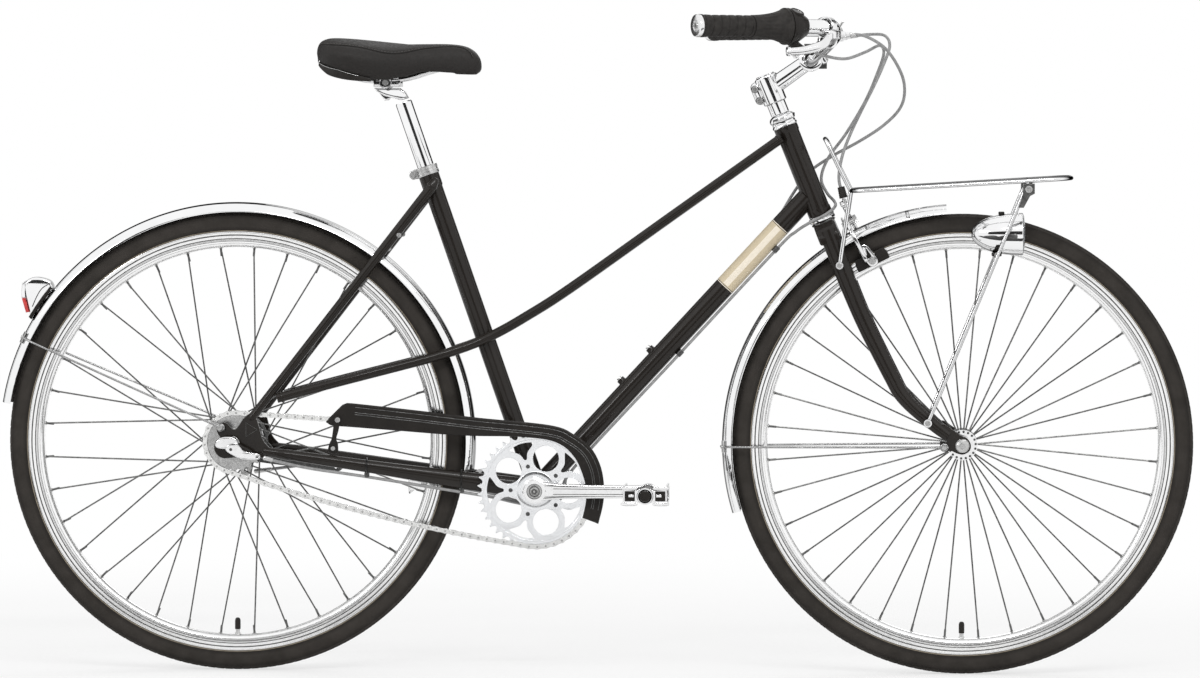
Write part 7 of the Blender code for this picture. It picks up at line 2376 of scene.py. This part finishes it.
# Stage, camera and light
def seen_directly(tree):
    """1 for rays that show the background: from the camera, and off or through shiny pieces."""
    path = node(tree, "ShaderNodeLightPath")
    first = node(tree, "ShaderNodeMath", operation="ADD", use_clamp=True)
    both = node(tree, "ShaderNodeMath", operation="ADD", use_clamp=True)
    tree.links.new(path.outputs["Is Camera Ray"], first.inputs[0])
    tree.links.new(path.outputs["Is Glossy Ray"], first.inputs[1])
    tree.links.new(first.outputs["Value"], both.inputs[0])
    tree.links.new(path.outputs["Is Transmission Ray"], both.inputs[1])
    return both.outputs["Value"]


# The floor's half width, where it fades to plain white, and how white it is seen near the bicycle
FLOOR_SIZE = 30.0
FLOOR_NEAR, FLOOR_FAR = 1.1, 2.6
FLOOR_WHITE = 0.62


def make_floor():
    """A white floor that keeps the shadow near the bicycle and is plain white further off."""
    mesh = bpy.data.meshes.new("floor")
    s = FLOOR_SIZE
    mesh.from_pydata([(-s, -s, 0), (s, -s, 0), (s, s, 0), (-s, s, 0)], [], [(0, 1, 2, 3)])
    floor = bpy.data.objects.new("floor", mesh)
    bpy.context.scene.collection.objects.link(floor)
    ground = shader_of("floor_white", (0.96, 0.96, 0.96), 0.9, Specular_IOR_Level=0.1)
    vary_colour(ground, (0.955, 0.955, 0.955), (0.965, 0.965, 0.965), 3.0)
    tree = ground.node_tree
    place = node(tree, "ShaderNodeTexCoord")
    far = node(tree, "ShaderNodeVectorMath", operation="LENGTH")
    fade = node(tree, "ShaderNodeMapRange", {"From Min": FLOOR_NEAR, "From Max": FLOOR_FAR,
        "To Min": FLOOR_WHITE}, interpolation_type="SMOOTHSTEP")
    both = node(tree, "ShaderNodeMath", operation="MULTIPLY")
    plain = node(tree, "ShaderNodeEmission", {"Strength": 1.0})
    mix = node(tree, "ShaderNodeMixShader")
    tree.links.new(place.outputs["Object"], far.inputs[0])
    tree.links.new(far.outputs["Value"], fade.inputs["Value"])
    tree.links.new(fade.outputs["Result"], both.inputs[0])
    tree.links.new(seen_directly(tree), both.inputs[1])
    tree.links.new(both.outputs["Value"], mix.inputs["Fac"])
    tree.links.new(tree.nodes["Principled BSDF"].outputs["BSDF"], mix.inputs[1])
    tree.links.new(plain.outputs["Emission"], mix.inputs[2])
    tree.links.new(mix.outputs["Shader"], tree.nodes["Material Output"].inputs["Surface"])
    mesh.materials.append(ground)


# The studio's black cards, as a photographer sets them for chrome: a name and x, y, z ranges
CARDS = (
    ("card_front", (-3.6, 1.8), (-5.0, -5.0), (0.6, 2.2)),
    ("card_near_left", (-3.6, -1.3), (2.4, 2.4), (0.02, 3.0)),
    ("card_left", (-9.0, -2.2), (5.0, 5.0), (0.02, 5.0)),
    ("card_right", (2.2, 9.0), (5.0, 5.0), (0.02, 5.0)),
    ("card_top", (-9.0, 9.0), (5.0, 5.0), (2.0, 6.0)),
    ("card_floor", (-2.6, 2.6), (-1.7, -0.9), (0.012, 0.012)),
)


def make_cards():
    """Black cards that show only as dark lines in the polished metal."""
    dark = shader_of("card_black", (0.02, 0.02, 0.02), 0.9)
    vary_colour(dark, (0.018, 0.018, 0.018), (0.022, 0.022, 0.022), 2.0)
    for name, (x0, x1), (y0, y1), (z0, z1) in CARDS:
        mesh = bpy.data.meshes.new(name)
        mesh.from_pydata([(x0, y0, z0), (x1, y0, z0), (x1, y1, z1), (x0, y1, z1)], [], [(0, 1, 2,
            3)])
        mesh.materials.append(dark)
        card = bpy.data.objects.new(name, mesh)
        bpy.context.scene.collection.objects.link(card)
        for rays in ("camera", "diffuse", "transmission", "shadow"):
            setattr(card, "visible_" + rays, False)


WORLD_LEVEL = 0.6


def make_world():
    """White where it is seen, and a plain soft light elsewhere."""
    world = bpy.data.worlds.new("studio")
    bpy.context.scene.world = world
    world.use_nodes = True
    tree = world.node_tree
    tree.nodes.clear()
    out = tree.nodes.new("ShaderNodeOutputWorld")
    seen = node(tree, "ShaderNodeBackground", {"Color": (1, 1, 1, 1), "Strength": 1.0})
    lit = node(tree, "ShaderNodeBackground", {"Color": (1, 1, 1, 1), "Strength": WORLD_LEVEL})
    mix = node(tree, "ShaderNodeMixShader")
    tree.links.new(seen_directly(tree), mix.inputs["Fac"])
    tree.links.new(lit.outputs["Background"], mix.inputs[1])
    tree.links.new(seen.outputs["Background"], mix.inputs[2])
    tree.links.new(mix.outputs["Shader"], out.inputs["Surface"])


# Each lamp's name, place, target, width and height, and power in watts
LAMPS = (
    ("key", (1.0, -3.6, 3.4), (0.0, 0.0, 0.45), (3.4, 0.34), 70.0),
    ("fill", (-3.2, -2.8, 2.2), (-0.2, 0.0, 0.45), (2.6, 0.3), 30.0),
    ("back", (0.8, 3.4, 3.0), (0.1, 0.0, 0.5), (2.6, 2.6), 40.0),
)


def make_lamp(name, place, target, size, power):
    light = bpy.data.lights.new(name, "AREA")
    light.shape = "RECTANGLE"
    light.size, light.size_y = size
    light.energy = power
    made = bpy.data.objects.new(name, light)
    bpy.context.scene.collection.objects.link(made)
    made.location = place
    made.rotation_euler = (Vector(target) - Vector(place)).to_track_quat("-Z", "Y").to_euler()


CAMERA_AWAY = 9.5
CAMERA_YAW = math.radians(2.9)
CAMERA_ROLL = math.radians(0.095)
CAMERA_LIFT = 0.36
PIXELS_A_METRE = 664.4
PHOTO_WIDTH = 1200.0
AIM = Vector((0.0065, 0.0, 0.5018))


def make_camera():
    """The photograph's view: a long lens a little above the axles and towards the front."""
    data = bpy.data.cameras.new("camera")
    data.sensor_width = 36.0
    data.lens = PIXELS_A_METRE * CAMERA_AWAY * data.sensor_width / PHOTO_WIDTH
    data.clip_end = 200.0
    made = bpy.data.objects.new("camera", data)
    bpy.context.scene.collection.objects.link(made)
    made.location = AIM + Vector((math.sin(CAMERA_YAW) * CAMERA_AWAY,
        -math.cos(CAMERA_YAW) * CAMERA_AWAY, CAMERA_LIFT))
    turn = (AIM - made.location).to_track_quat("-Z", "Y") @ Quaternion((0, 0, 1), CAMERA_ROLL)
    made.rotation_euler = turn.to_euler()
    bpy.context.scene.camera = made


MAKERS = (make_wheels, make_frame, make_headset, make_bottom_bracket, make_seat_clamp,
    make_seatpost, make_saddle_frame, make_saddle_cover, make_guards, make_chainring, make_sprocket,
    make_chain, make_cranks, make_chainguard, make_rear_end, make_fork, make_stem, make_handlebar,
    make_grips, make_shifter, make_brake_levers, make_bell, make_rack, make_headlamp,
    make_rear_lamp, make_caliper, make_cables, make_floor, make_cards, make_world, make_camera)


def main():
    for make in MAKERS:
        make()
    for light in LAMPS:
        make_lamp(*light)
    bpy.context.scene.view_settings.view_transform = "Standard"


main()
